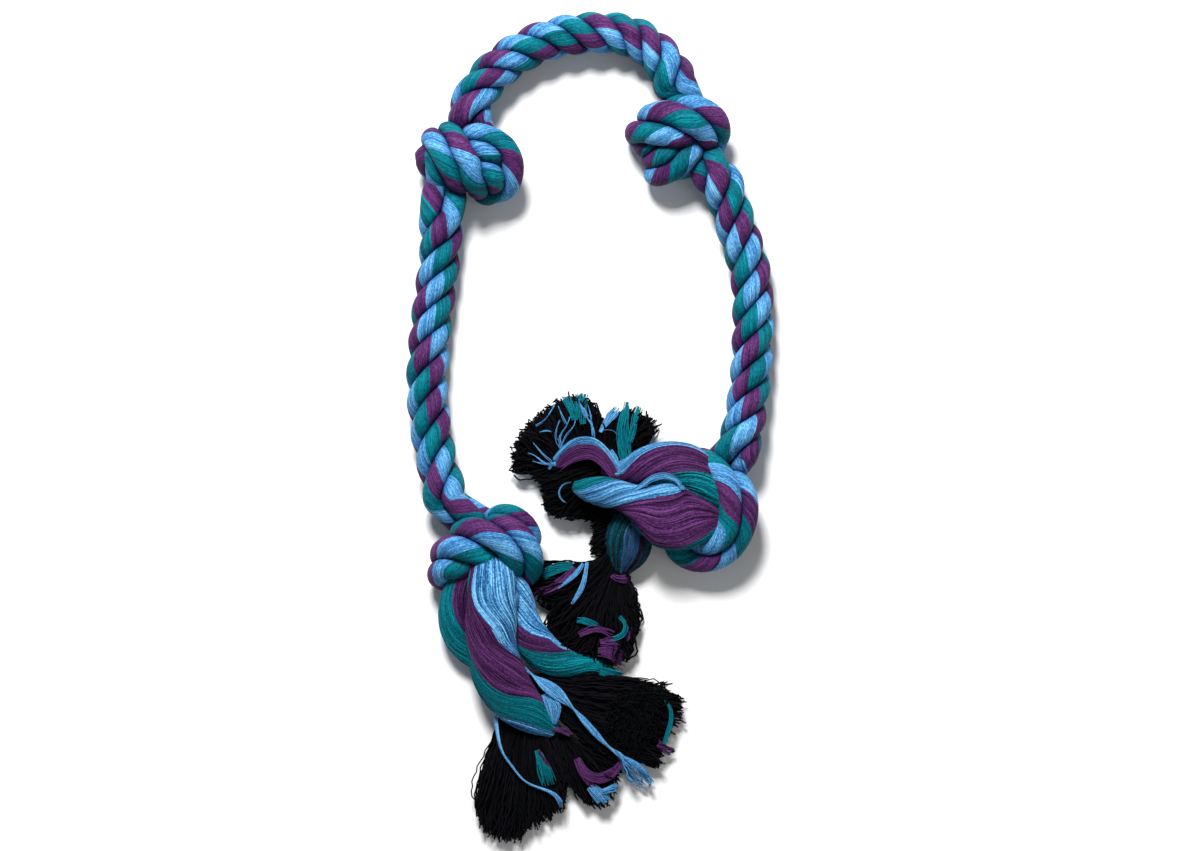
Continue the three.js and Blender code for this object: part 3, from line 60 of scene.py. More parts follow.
   "d": [0, 6.2, 12.2, 17.4, 22.9, 28.5, 33.6, 38.2, 43, 47.7, 52.3, 57.1, 61.9, 66.6, 72.1, 77.9, 83.6, 89.4, 95.1, 100.9, 106.6, 112.4, 118.3, 124.2, 130.3, 136.1, 141.5, 146.9, 152.2, 157.4, 162.6, 167.9, 173.3, 178.6, 183.8, 190.1, 196, 202.1, 207.9, 213.6, 219.3, 225, 230.5, 237.1, 243, 248.3, 254.3, 260.2, 265.6, 271.1, 276.6, 282.1, 287.6, 293.2, 299.6, 305.3, 311, 316.8, 323, 329.8, 336.7, 343.4, 350.2, 357.1, 363.9, 370.6, 377.7, 384.8, 391.8, 398.7, 405.4, 412, 418.8, 425.5, 432.3, 439.3, 446.2, 453.2, 460.1, 467, 473.8, 480.6, 487.2, 494.1, 501.1, 508.1, 515.2, 520.9, 526.6, 532.4, 538.1, 543.8, 549.7, 555.5, 561.2, 566.2, 570.5, 574.8, 578.8, 583.2, 587.4, 591.8, 596.9, 602.6, 608.1, 613.2, 617.4, 622.5, 627.3, 631.8, 636.5, 641.1, 645.6, 652.1, 658.2, 664.5, 670.9, 677.6, 684.4, 691.2, 698.3, 705.2, 712.2, 719.1, 725, 730.2, 736.2, 741.5, 746.7, 752, 757.3, 762.4, 767.6, 773.5, 780, 785.1, 790.9, 796.6, 802.9, 810.1, 817.6, 825.1, 832.4, 839.5, 846.5, 853.5, 860.6, 867.5, 874.3, 881.2, 888.5, 896.1, 903.7, 911.2, 918.4, 925.4, 932.4, 939.5, 947, 955, 963.4, 971.6, 979.4, 986.6, 995, 1000.7, 1006.4, 1012.2, 1017.6, 1023.6, 1029.4, 1034.8, 1040.1, 1045.7, 1051.3, 1056.8, 1062.8, 1068.7, 1074.8, 1080.4, 1085.7, 1091.5, 1097.3, 1102.8, 1108.5, 1113.8, 1119.5, 1126.2, 1129.7, 1134.8, 1140.2, 1145.6, 1151.4, 1157.1, 1162.9, 1168.9, 1175.3, 1181.6, 1187.5, 1193.5, 1199.1, 1204.9, 1210.6, 1216.4, 1222.2, 1228.1, 1234.2, 1239.6, 1246.1, 1251.8, 1257.5, 1263.3, 1269, 1274.7, 1281.6, 1288.4, 1295.1, 1302, 1309.1, 1316, 1323.1, 1330.3, 1337.6, 1345, 1352.2, 1359.2, 1366, 1372.8, 1379.6, 1386.4, 1393.1, 1400, 1406.9, 1413.9, 1421, 1428.1, 1435.1, 1441.4, 1448, 1454.8, 1461.9, 1468.8, 1475.1, 1480.8, 1486.5, 1492.4, 1497.2, 1504.2, 1509.9, 1515.1, 1520.4, 1525.7, 1531.1, 1536.4, 1541.7, 1547, 1552.3, 1557.7, 1563.1, 1568.4, 1573.8, 1579.4, 1585.3, 1592.1, 1598.4, 1604.3, 1610.4, 1616.3, 1622.2, 1628.1, 1633.8, 1639.6, 1645.3, 1651.1, 1656.8, 1662.5, 1668.3, 1674, 1679.8, 1685.4, 1690.2, 1695.4, 1700.4, 1705.3, 1710.3, 1715.2, 1720.2, 1725.2, 1730.1, 1735, 1740.7, 1745.9, 1752.2, 1758],
   "psi": [-15.424, -15.283, -15.147, -15.029, -14.902, -14.775, -14.66, -14.553, -14.446, -14.338, -14.233, -14.124, -14.014, -13.907, -13.781, -13.649, -13.519, -13.402, -13.299, -13.196, -13.102, -13.017, -12.93, -12.83, -12.715, -12.603, -12.501, -12.399, -12.299, -12.2, -12.101, -12, -11.898, -11.797, -11.697, -11.578, -11.466, -11.35, -11.084, -10.876, -10.722, -10.567, -10.418, -10.242, -10.083, -9.938, -9.777, -9.618, -9.472, -9.324, -9.175, -9.027, -8.878, -8.727, -8.556, -8.401, -8.247, -8.092, -7.937, -7.783, -7.629, -7.476, -7.322, -7.164, -7.008, -6.853, -6.697, -6.543, -6.39, -6.236, -6.081, -5.925, -5.768, -5.614, -5.463, -5.312, -5.161, -5.008, -4.853, -4.699, -4.545, -4.391, -4.239, -4.084, -3.929, -3.778, -3.628, -3.48, -3.332, -3.185, -3.037, -2.889, -2.739, -2.588, -2.442, -2.311, -2.2, -2.091, -1.988, -1.874, -1.767, -1.652, -1.521, -1.37, -1.224, -1.089, -0.979, -0.845, -0.718, -0.6, -0.477, -0.355, -0.234, -0.065, 0.097, 0.243, 0.372, 0.504, 0.634, 0.762, 0.896, 1.027, 1.16, 1.29, 1.401, 1.499, 1.612, 1.714, 1.812, 1.912, 2.012, 2.109, 2.207, 2.318, 2.442, 2.537, 2.647, 2.755, 2.896, 3.072, 3.251, 3.429, 3.603, 3.776, 3.947, 4.116, 4.287, 4.461, 4.639, 4.819, 4.999, 5.177, 5.353, 5.528, 5.704, 5.88, 6.053, 6.224, 6.395, 6.569, 6.75, 6.931, 7.11, 7.288, 7.511, 7.625, 7.738, 7.852, 7.958, 8.077, 8.193, 8.299, 8.404, 8.515, 8.625, 8.735, 8.853, 8.971, 9.092, 9.203, 9.308, 9.422, 9.537, 9.647, 9.758, 9.864, 9.976, 10.109, 10.178, 10.279, 10.403, 10.542, 10.69, 10.865, 11.04, 11.171, 11.309, 11.446, 11.573, 11.703, 11.825, 11.951, 12.075, 12.201, 12.326, 12.453, 12.585, 12.704, 12.843, 12.968, 13.091, 13.215, 13.339, 13.463, 13.622, 13.78, 13.939, 14.098, 14.255, 14.409, 14.563, 14.717, 14.873, 15.03, 15.185, 15.34, 15.494, 15.649, 15.804, 15.957, 16.11, 16.263, 16.415, 16.566, 16.718, 16.869, 17.02, 17.168, 17.318, 17.469, 17.619, 17.766, 17.913, 18.058, 18.203, 18.352, 18.475, 18.653, 18.799, 18.931, 19.065, 19.202, 19.338, 19.474, 19.609, 19.743, 19.879, 20.016, 20.153, 20.288, 20.426, 20.569, 20.719, 20.892, 21.051, 21.141, 21.231, 21.32, 21.444, 21.604, 21.728, 21.817, 21.907, 21.997, 22.11, 22.224, 22.337, 22.468, 22.6, 22.728, 22.838, 22.957, 23.07, 23.182, 23.295, 23.408, 23.522, 23.635, 23.746, 23.859, 23.988, 24.107, 24.25, 24.382]},
  {"p": [(-64.32, -128.38, 29.23), (-62.34, -126.54, 29.32), (-60.25, -124.49, 28.96), (-58.33, -122.24, 28.36), (-56.85, -119.8, 27.69), (-56.09, -117.16, 27.14), (-56.21, -114.37, 26.8), (-58, -112.08, 27.18), (-60.13, -109.68, 27.32), (-61.74, -108.18, 27.03), (-64.09, -106.23, 26.2), (-65.72, -105.07, 25.32), (-67.97, -103.75, 23.49), (-69.31, -103.07, 21.91), (-70.54, -102.13, 19.17), (-71.06, -101.52, 17.06), (-72.43, -100.19, 14.43), (-73.73, -98.83, 13.18), (-75.83, -96.28, 12.53), (-77.03, -94.31, 12.34), (-78.57, -91.65, 13.62), (-79.41, -90.18, 15.46), (-80.37, -88.22, 18.3), (-81.32, -86.96, 19.68), (-83.2, -84.45, 20.86), (-84.35, -82.59, 21.19), (-85.68, -79.9, 21.05), (-86.46, -78.02, 20.72), (-87.78, -74.77, 20.05), (-87.51, -72.68, 21.95), (-86.44, -71.52, 24.69), (-85.44, -70.95, 27.43), (-84.02, -70.31, 29.92), (-82.12, -69.77, 31.9), (-80.11, -69.68, 33.89), (-77.89, -69.95, 35.69), (-75.48, -70.53, 37.25), (-72.97, -71.36, 38.52), (-70.42, -72.4, 39.46), (-67.89, -73.62, 40.02), (-65.4, -75, 40.12), (-62.99, -76.52, 39.81), (-60.74, -78.23, 39.21), (-58.66, -80.11, 38.44), (-56.81, -82.13, 37.55), (-55.21, -84.27, 36.47), (-53.89, -86.4, 35.11), (-52.83, -88.46, 33.43), (-52.03, -90.43, 31.48), (-51.49, -92.28, 29.31), (-51.39, -94.01, 27.04), (-51.64, -95.55, 24.66), (-52.16, -96.87, 22.17), (-53, -97.84, 19.64), (-54.15, -98.29, 16.87), (-55.17, -98.15, 14.19), (-56.92, -97.6, 11.57), (-58.63, -97.6, 10.2), (-61.21, -97.6, 8.86), (-63.25, -97.51, 8.24), (-66.14, -97.29, 7.5), (-68.27, -97.14, 6.94), (-71.23, -96.92, 6.16), (-73.35, -96.77, 5.6), (-76.33, -96.55, 5.21), (-78.45, -96.34, 5.33), (-81.36, -96.01, 5.69), (-83.5, -95.77, 5.93), (-86.55, -95.43, 6.27), (-88.73, -95.06, 6.85), (-91.43, -94.45, 7.92), (-93.29, -94.04, 8.63), (-95.87, -93.47, 9.62), (-98.43, -93.01, 10.49), (-100.19, -91.17, 12.57), (-101, -89.38, 14.86), (-101.2, -87.7, 17.43), (-100.85, -86.31, 19.95), (-100.03, -85.15, 22.55), (-98.93, -84.16, 25.04), (-97.59, -83, 27.39), (-95.95, -82.19, 29.6), (-93.93, -81.87, 31.6), (-91.55, -82, 33.27), (-88.94, -82.47, 34.45), (-86.18, -83.14, 35.02), (-83.39, -83.94, 34.98), (-80.68, -84.85, 34.43), (-78.16, -85.87, 33.51), (-75.84, -87.02, 32.3), (-73.66, -88.36, 30.99), (-71.26, -89.74, 30.14), (-68.86, -91.03, 29.04), (-66.66, -91.8, 27.29), (-64.69, -91.4, 25.04), (-63.87, -89.47, 23.49), (-64.73, -87.21, 22.78), (-66.38, -84.82, 23.3), (-68.27, -82.27, 23.6), (-69.66, -80.26, 23.79), (-71.32, -77.62, 23.97), (-72.4, -75.77, 24.09), (-73.83, -73.26, 24.28), (-74.86, -71.44, 24.2), (-76.24, -68.87, 23.72), (-77.28, -66.97, 23.42), (-79.13, -64.55, 23.32), (-80.64, -63.03, 23.42), (-82.64, -60.92, 23.5), (-84.04, -59.43, 23.56), (-86.06, -57.29, 23.65), (-87.58, -55.67, 23.72), (-89.78, -53.35, 23.81), (-91.43, -51.6, 23.89), (-93.76, -49.12, 23.99), (-94.25, -46.55, 24.18), (-93.9, -43.97, 23.26), (-93.42, -41.47, 21.79), (-93.4, -39.07, 20.24), (-93.66, -36.79, 18.52), (-94.24, -34.65, 16.7), (-95.17, -32.66, 14.86), (-96.42, -30.79, 13.08), (-98.25, -28.74, 11.24), (-100.45, -26.69, 9.74), (-102.91, -24.55, 8.71), (-105.52, -22.32, 8.22), (-108.1, -19.98, 8.31), (-110.51, -17.51, 8.94), (-112.59, -14.86, 10.06), (-114.19, -12.03, 11.54), (-115.24, -9.09, 13.27), (-115.68, -6.16, 15.13), (-115.55, -3.33, 16.99), (-114.93, -0.51, 18.71), (-113.91, 2.34, 20.12), (-112.57, 5.27, 21.12), (-111.01, 8.24, 21.65), (-109.32, 11.21, 21.64), (-107.62, 14.11, 21.06), (-106.08, 16.92, 19.93), (-104.87, 19.67, 18.34), (-104.13, 22.37, 16.41), (-103.92, 25.01, 14.32), (-104.26, 27.59, 12.24), (-105.08, 30.15, 10.36), (-106.27, 32.75, 8.79), (-107.73, 35.45, 7.64), (-109.36, 38.26, 6.93), (-111.07, 41.12, 6.71), (-112.79, 43.97, 6.98), (-114.41, 46.79, 7.73), (-115.81, 49.62, 8.94), (-116.84, 52.48, 10.56), (-117.38, 55.36, 12.5), (-117.31, 58.21, 14.61), (-116.6, 60.94, 16.72), (-115.31, 63.56, 18.64), (-113.52, 66.1, 20.19), (-111.38, 68.63, 21.23), (-109.06, 71.15, 21.69), (-106.72, 73.66, 21.57), (-104.49, 76.13, 20.89), (-102.5, 78.59, 19.72), (-100.86, 81.09, 18.16), (-99.68, 83.68, 16.32), (-99.01, 86.36, 14.33), (-98.87, 89.1, 12.33), (-99.25, 91.89, 10.46), (-100.09, 94.74, 8.86), (-101.27, 97.73, 7.67), (-102.69, 100.85, 6.98), (-104.27, 103.96, 6.87), (-105.9, 106.98, 7.32), (-107.45, 109.87, 8.34), (-108.76, 112.64, 9.85), (-109.7, 115.33, 11.78), (-110.14, 117.96, 14.05), (-109.97, 120.49, 16.47), (-109.17, 122.94, 18.84), (-108.06, 124.93, 20.6), (-106.64, 126.97, 22.06), (-105.01, 129.08, 23.14), (-103.28, 131.29, 23.82), (-101.54, 133.57, 24.09), (-99.81, 135.88, 23.98), (-98.11, 138.14, 23.48), (-96.47, 140.34, 22.59), (-95.15, 142.71, 21.73), (-94.18, 145.3, 21.02), (-93.48, 148.03, 20.39), (-92.88, 150.93, 19.7), (-92.4, 153.73, 18.94), (-92.2, 156.64, 18), (-93.19, 158.64, 17.31), (-93.95, 160.93, 16.75), (-94.31, 162.99, 16.5), (-94.31, 165.51, 16.49), (-94.24, 167.64, 16.96), (-94.29, 169.96, 18.14), (-94.82, 171.72, 19.29), (-95.88, 173.67, 20.59), (-96.68, 175.33, 21.61), (-97.43, 177.59, 22.55), (-97.92, 179.68, 23), (-98.07, 182.27, 23.17), (-97.98, 184.4, 23.14), (-97.82, 186.92, 22.97), (-97.6, 189.05, 22.72), (-97.21, 191.62, 22.32), (-96.77, 193.74, 21.96), (-96.6, 196.23, 21.63), (-97.2, 198.77, 21.5), (-96.48, 199.51, 24.09), (-95.29, 198.69, 26.61), (-94.11, 197.48, 28.93), (-92.98, 195.95, 31.1), (-91.83, 194.24, 33.11), (-90.68, 192.46, 35.09), (-89.5, 190.37, 36.77), (-88.25, 188.04, 38), (-86.8, 185.6, 38.86), (-85.13, 183.19, 39.26), (-83.41, 180.79, 39.17), (-81.98, 178.37, 38.89), (-81.27, 175.62, 38.71), (-80.77, 172.85, 37.92), (-80.05, 169.9, 36.28), (-79.09, 167.5, 34.15), (-77.77, 165.69, 31.45), (-76.74, 164.66, 29.02), (-76.2, 163.24, 26.85), (-75.98, 162.3, 24.05), (-76.19, 162.76, 20.87), (-77.71, 164.49, 19.54), (-78.88, 166.53, 18.11), (-80.09, 168.05, 17.12), (-82.03, 169.88, 16.21), (-83.75, 171.23, 15.87), (-85.94, 173.04, 16), (-87.47, 174.57, 16.59), (-88.93, 176.56, 17.92), (-89.69, 178.02, 19.33), (-90.16, 179.88, 21.42), (-90.26, 181.4, 23.07), (-89.85, 183.48, 24.99), (-88.94, 185.03, 26.3), (-87.12, 186.67, 27.46), (-84.91, 187.59, 28.15), (-81.95, 187.89, 29.76), (-79.31, 187.63, 31.28), (-76.46, 187.06, 32.75), (-73.69, 186.34, 33.45), (-70.74, 185.27, 33.3), (-68.37, 184.02, 32.06), (-66.62, 182.62, 29.71), (-65.66, 181.27, 26.97), (-65.24, 179.88, 24.46), (-64.52, 178.42, 22.73), (-63.84, 177.51, 20.8), (-63.22, 176.26, 18.24), (-63.13, 174.72, 15.97), (-63.34, 172.81, 13.72), (-64.22, 171.06, 11.79), (-66.49, 172.27, 11.81), (-68.43, 173.47, 11.97), (-70.08, 174.51, 12.13), (-72.39, 175.67, 12.13), (-74.52, 176.85, 12.07), (-76.54, 178.69, 11.97), (-77.9, 180.4, 11.81), (-79.4, 182.42, 11.7), (-80.65, 184.07, 11.64), (-82.14, 186.05, 11.7), (-83.39, 187.74, 11.76), (-84.85, 189.82, 11.88), (-85.98, 191.64, 12.03), (-87.3, 193.82, 12.26), (-88.21, 195.66, 12.88), (-89.01, 197.78, 14.03), (-89.36, 199.51, 15.25), (-89.35, 201.66, 16.63), (-89.21, 203.54, 17.71), (-89.02, 205.81, 18.97), (-88.87, 207.74, 20.04), (-88.65, 210.48, 21.58), (-87.38, 212.75, 22.87), (-85.75, 214.95, 23.73), (-83.8, 217.02, 24.16), (-81.62, 218.91, 24.28), (-79.27, 220.55, 24.05), (-76.83, 221.96, 23.43), (-74.44, 223.19, 22.4), (-72.23, 224.38, 20.99), (-70, 225.81, 18.98), (-68.22, 227.42, 16.7), (-66.91, 229.28, 14.31), (-66.03, 231.46, 12.02), (-65.44, 234.02, 10), (-64.99, 237, 8.4), (-64.55, 240.35, 7.37), (-64.02, 243.9, 7.02), (-63.33, 247.49, 7.39), (-62.35, 250.91, 8.45), (-60.95, 254.01, 10.12), (-59.09, 256.59, 12.24), (-56.71, 258.52, 14.6), (-53.87, 259.69, 16.95), (-50.72, 260.09, 19.02), (-47.37, 259.85, 20.59), (-43.91, 259.23, 21.5), (-40.43, 258.44, 21.7), (-37.06, 257.69, 21.24), (-33.9, 257.07, 20.22), (-30.99, 256.66, 18.74), (-28.31, 256.55, 16.92), (-25.82, 256.85, 14.86), (-23.47, 257.65, 12.7), (-21.2, 259, 10.6), (-18.99, 260.94, 8.75), (-16.78, 263.4, 7.4), (-14.5, 266.18, 6.74), (-12.11, 269.01, 6.91), (-9.59, 271.61, 7.89), (-6.99, 273.7, 9.54), (-4.31, 275.12, 11.64), (-1.55, 275.79, 13.94), (1.31, 275.71, 16.24), (4.24, 274.89, 18.34), (7.16, 273.39, 20.07), (10, 271.31, 21.24), (12.7, 268.79, 21.71), (15.21, 266.06, 21.34), (17.52, 263.44, 20.06), (19.68, 261.29, 18), (21.81, 259.9, 15.41), (24.08, 259.35, 12.69), (26.73, 259.53, 10.28), (29.8, 260.19, 8.48), (33.27, 261.09, 7.49), (36.99, 261.93, 7.43), (40.75, 262.43, 8.31), (44.3, 262.41, 10), (47.45, 261.73, 12.3), (50.04, 260.36, 14.9), (52.04, 258.35, 17.52), (53.92, 254.31, 21.16), (54.34, 251.92, 22.71), (54.42, 249.34, 23.98), (54.16, 246.63, 24.89), (53.61, 243.84, 25.35), (52.85, 241.06, 25.3), (52.01, 238.39, 24.66), (51.23, 235.92, 23.38), (50.84, 233.57, 21.82), (51.01, 231.25, 20.27), (52.98, 229.36, 19.45), (55.39, 227.09, 18.44), (56.94, 225.59, 17.82), (59.41, 223.35, 16.66), (60.91, 221.74, 15.95), (62.99, 219, 15.62), (64.01, 217.24, 15.83), (65.11, 214.18, 16.63), (65.41, 211.95, 17.23), (65.06, 208.28, 17.69), (64.49, 206.08, 17.54), (63.48, 202.96, 16.59), (62.77, 201.06, 15.94), (61.68, 197.82, 15.68), (60.84, 195.63, 16.03), (59.48, 192.6, 17.87), (58.54, 190.49, 19.38), (56.96, 189.24, 21.91), (55.3, 188.11, 24.13), (53.66, 187.03, 26.09), (51.56, 185.67, 26.71), (49.54, 184.18, 25.4), (47.68, 183.01, 23.45), (45.89, 182.28, 20.93), (44.15, 181.97, 18.38), (43.04, 182.15, 15.67), (43.66, 182.51, 13.16), (46.49, 182.94, 11.39), (48.31, 182.92, 10.17), (50.94, 183.27, 8.95), (53.07, 183.81, 8.45), (56.12, 184.87, 8.68), (57.99, 185.83, 9.62), (60.35, 187.32, 11.22), (62.11, 188.08, 11.97), (64.94, 189.44, 12.55), (66.83, 190.46, 12.83), (69.59, 191.65, 12.9), (71.31, 192.55, 13.66), (74.35, 194.08, 14.62), (76.5, 194.79, 15.48), (78.06, 194.77, 17.88), (78.99, 194.62, 20.84), (79.25, 195.25, 23.89), (78.65, 196.74, 26.3), (77.54, 198.63, 28.24), (76.28, 200.2, 30.35), (74.72, 201.66, 32.25), (72.96, 203.04, 34.04), (71, 204.28, 35.81), (68.87, 205.45, 37.44), (66.6, 206.67, 38.6), (64.2, 208.05, 39.07), (61.68, 209.48, 38.98), (59.04, 210.74, 38.68), (56.32, 211.68, 38.28), (53.63, 212.3, 37.58), (51.09, 212.61, 36.4), (48.71, 212.64, 34.76), (46.52, 212.42, 32.84), (44.49, 211.99, 30.76), (42.7, 211.38, 28.62), (41.31, 211.06, 26.21), (40.35, 210.57, 23.69), (39.75, 209.7, 21.06), (39.44, 208.47, 18.43), (40.07, 206.28, 16.98), (41.76, 203.91, 18.39), (42.91, 202.22, 18.55), (44.79, 200.81, 17.58), (46.14, 199.52, 15.93), (47.75, 196.85, 13.31), (48.57, 195.01, 12.48), (50.1, 192.45, 12.79), (51.11, 190.66, 13.55), (52.29, 188.49, 15.14), (53.08, 186.6, 15.81), (54.94, 183.89, 16.25), (56.82, 182.63, 16.42), (59.83, 181.8, 16.41), (62.07, 181.32, 16.24), (65.05, 180.56, 16.41), (66.98, 180.06, 16.66), (69.63, 179.45, 17.3), (72.37, 179.19, 18.2), (74.24, 176.67, 18.76), (75.54, 173.99, 18.68), (76.9, 171.21, 18.5), (78.09, 168.69, 17.52), (79.51, 166.76, 15.96), (81.21, 165.46, 14.03), (83.23, 164.38, 12.3), (85.53, 163.33, 10.92), (88, 162.24, 9.94), (90.53, 161, 9.38), (93.03, 159.58, 9.22), (95.42, 158, 9.45), (97.64, 156.27, 10.02), (100.03, 154, 11.12), (102.01, 151.54, 12.6), (103.47, 148.89, 14.29), (104.38, 146.07, 16.07), (104.73, 143.14, 17.78), (104.57, 140.15, 19.32), (103.98, 137.12, 20.55), (103.05, 134.04, 21.38), (101.92, 130.93, 21.71), (100.75, 127.74, 21.5), (99.68, 124.53, 20.66), (98.86, 121.45, 19.25), (98.46, 118.55, 17.38), (98.62, 115.81, 15.21), (99.4, 113.24, 12.96), (100.79, 110.87, 10.84), (102.7, 108.67, 9.02), (105.03, 106.54, 7.66), (107.62, 104.39, 6.87), (110.27, 102.09, 6.73), (112.79, 99.63, 7.25), (114.98, 97.02, 8.36), (116.69, 94.32, 9.94), (117.83, 91.55, 11.85), (118.35, 88.74, 13.92), (118.26, 85.92, 15.99), (117.59, 83.12, 17.91), (116.41, 80.34, 19.54), (114.84, 77.56, 20.77), (112.97, 74.78, 21.52), (110.94, 72.01, 21.71), (108.89, 69.3, 21.32), (106.98, 66.67, 20.38), (105.34, 64.09, 18.96), (104.11, 61.48, 17.17), (103.41, 58.76, 15.14), (103.31, 55.96, 13.03), (103.83, 53.13, 10.99), (104.93, 50.34, 9.21), (106.52, 47.59, 7.81), (108.42, 44.81, 6.95), (110.44, 41.97, 6.71), (112.39, 39.06, 7.12), (114.08, 36.15, 8.12), (115.37, 33.26, 9.62), (116.15, 30.4, 11.46), (116.34, 27.55, 13.53), (115.96, 24.88, 15.73), (115.02, 22.41, 17.9), (113.59, 20.11, 19.91), (111.72, 17.92, 21.62), (109.53, 15.74, 22.93), (107.11, 13.46, 23.75), (104.62, 11.06, 24.01), (102.25, 8.55, 23.7), (100.13, 5.96, 22.84), (98.39, 3.32, 21.54), (97.31, 1.02, 20.18), (96.62, -1.34, 18.68), (96.37, -3.78, 17.18), (96.55, -6.27, 15.74), (97.11, -8.79, 14.47), (98.22, -11.35, 13.63), (99.17, -13.89, 12.88), (98.98, -16.3, 11.64), (97.2, -18.85, 12.43), (95.91, -20.7, 13.01), (94.41, -22.84, 13.71), (93.21, -24.52, 14.29), (91.92, -26.62, 15.03), (90.98, -28.37, 15.73), (89.85, -30.54, 16.63), (88.75, -32.24, 17.39), (87.13, -34.06, 18.35), (85.67, -35.41, 19.12), (83.63, -36.8, 19.89), (81.86, -37.83, 20.39), (79.55, -39.03, 20.71), (77.61, -39.95, 20.76), (75.22, -41.04, 20.53), (73.28, -41.94, 20.05), (70.92, -43.02, 19.43), (68.99, -43.88, 18.96), (66.65, -44.87, 18.42), (64.73, -45.65, 18.01), (62.34, -46.59, 17.52), (60.35, -47.35, 17.14), (57.96, -48.22, 16.71), (56.02, -48.91, 16.37), (53.6, -49.74, 15.97), (51.49, -50.46, 15.63), (48.77, -51.36, 15.21), (45.9, -52.31, 14.77), (43.51, -51.91, 14.89), (41.29, -53.37, 14.87), (39.09, -55.73, 14.92), (36.73, -57.72, 15.29), (34.02, -58.04, 16.26)],
   "d": [0, 5.7, 11.6, 17.2, 23.4, 28.7, 34.1, 39.5, 45, 50.6, 56.2, 62.3, 67.8, 73, 78.6, 84.6, 90.5, 96.1, 101.9, 107.8, 113.5, 119.2, 125, 130.8, 136.5, 142.3, 148, 153.9, 159.9, 165, 170.1, 175.4, 180.6, 185.7, 191, 196.2, 201.1, 207.1, 213.2, 219.1, 224.9, 230.6, 236.5, 242.2, 248, 253.8, 259.6, 265.5, 270.7, 276.8, 282.4, 287.4, 292.5, 297.7, 302.7, 307.7, 313.2, 319, 324.3, 330.1, 335.9, 341.6, 348.3, 355.2, 362.2, 369.3, 376.4, 383.1, 389.8, 396.6, 403.4, 410.2, 416.9, 423.5, 430.1, 436.8, 443.5, 450.4, 457.5, 464.5, 471.4, 478.2, 485, 491.8, 498.6, 505.4, 512.3, 519.2, 526.1, 533.1, 539.5, 545.2, 551, 556.8, 562.5, 568.3, 574.2, 579.6, 584.2, 588.9, 593.7, 598.4, 603.1, 607.8, 612.5, 617.4, 622.5, 628.2, 633.9, 639.7, 645.6, 651.5, 657.3, 663, 669.8, 676.2, 681.8, 687.7, 692.6, 697.6, 702.7, 707.7, 712.8, 717.9, 723.1, 729.5, 735.7, 741.8, 748.3, 753.5, 758.7, 764.4, 769.7, 773.9, 779, 783.9, 788.5, 793.1, 797.8, 802.5, 807.1, 811.9, 816.7, 822.7, 828.5, 834.3, 840, 846.2, 852.8, 859.4, 866.4, 873.6, 881.1, 888.8, 896.5, 903.8, 910.9, 917.6, 924, 930.7, 937.8, 945.1, 952.6, 959.9, 967.3, 974.7, 982.2, 989.6, 996.8, 1004, 1011.5, 1019.4, 1027.2, 1036.8, 1042.6, 1048.3, 1054.1, 1059.8, 1065.5, 1071.2, 1077, 1082.5, 1088.2, 1094.2, 1099.8, 1105.6, 1112.1, 1118.3, 1123.7, 1129.5, 1135.7, 1141.3, 1146.8, 1152, 1157.6, 1162.8, 1168.2, 1173.3, 1179.2, 1185.2, 1191.2, 1197.1, 1202.8, 1208.6, 1214.3, 1220.1, 1225.9, 1231.6, 1237.4, 1243.1, 1248.7, 1254.3, 1259.6, 1264.6, 1270.8, 1276, 1281.1, 1286.7, 1292.1, 1297.2, 1302.9, 1309.1, 1315.1, 1320.9, 1326.6, 1332.4, 1338.1, 1344.5, 1351.4, 1358.3, 1365, 1371.6, 1378.5, 1385.5, 1392.5, 1399.4, 1406.3, 1413.3, 1420.5, 1427.6, 1434.5, 1441.4, 1448.3, 1455.1, 1461.8, 1468.8, 1475.8, 1482.8, 1489.8, 1496.8, 1503.8, 1510.7, 1517.4, 1524.2, 1531.2, 1538, 1543.8, 1549.5, 1555.3, 1560.9, 1566.4, 1571.2, 1575.9, 1580.7, 1585.5, 1590.1, 1594.9, 1599.7, 1604.6, 1609.3, 1614.1, 1618.7, 1623.6, 1629.5, 1634.6, 1640.9, 1643.8],
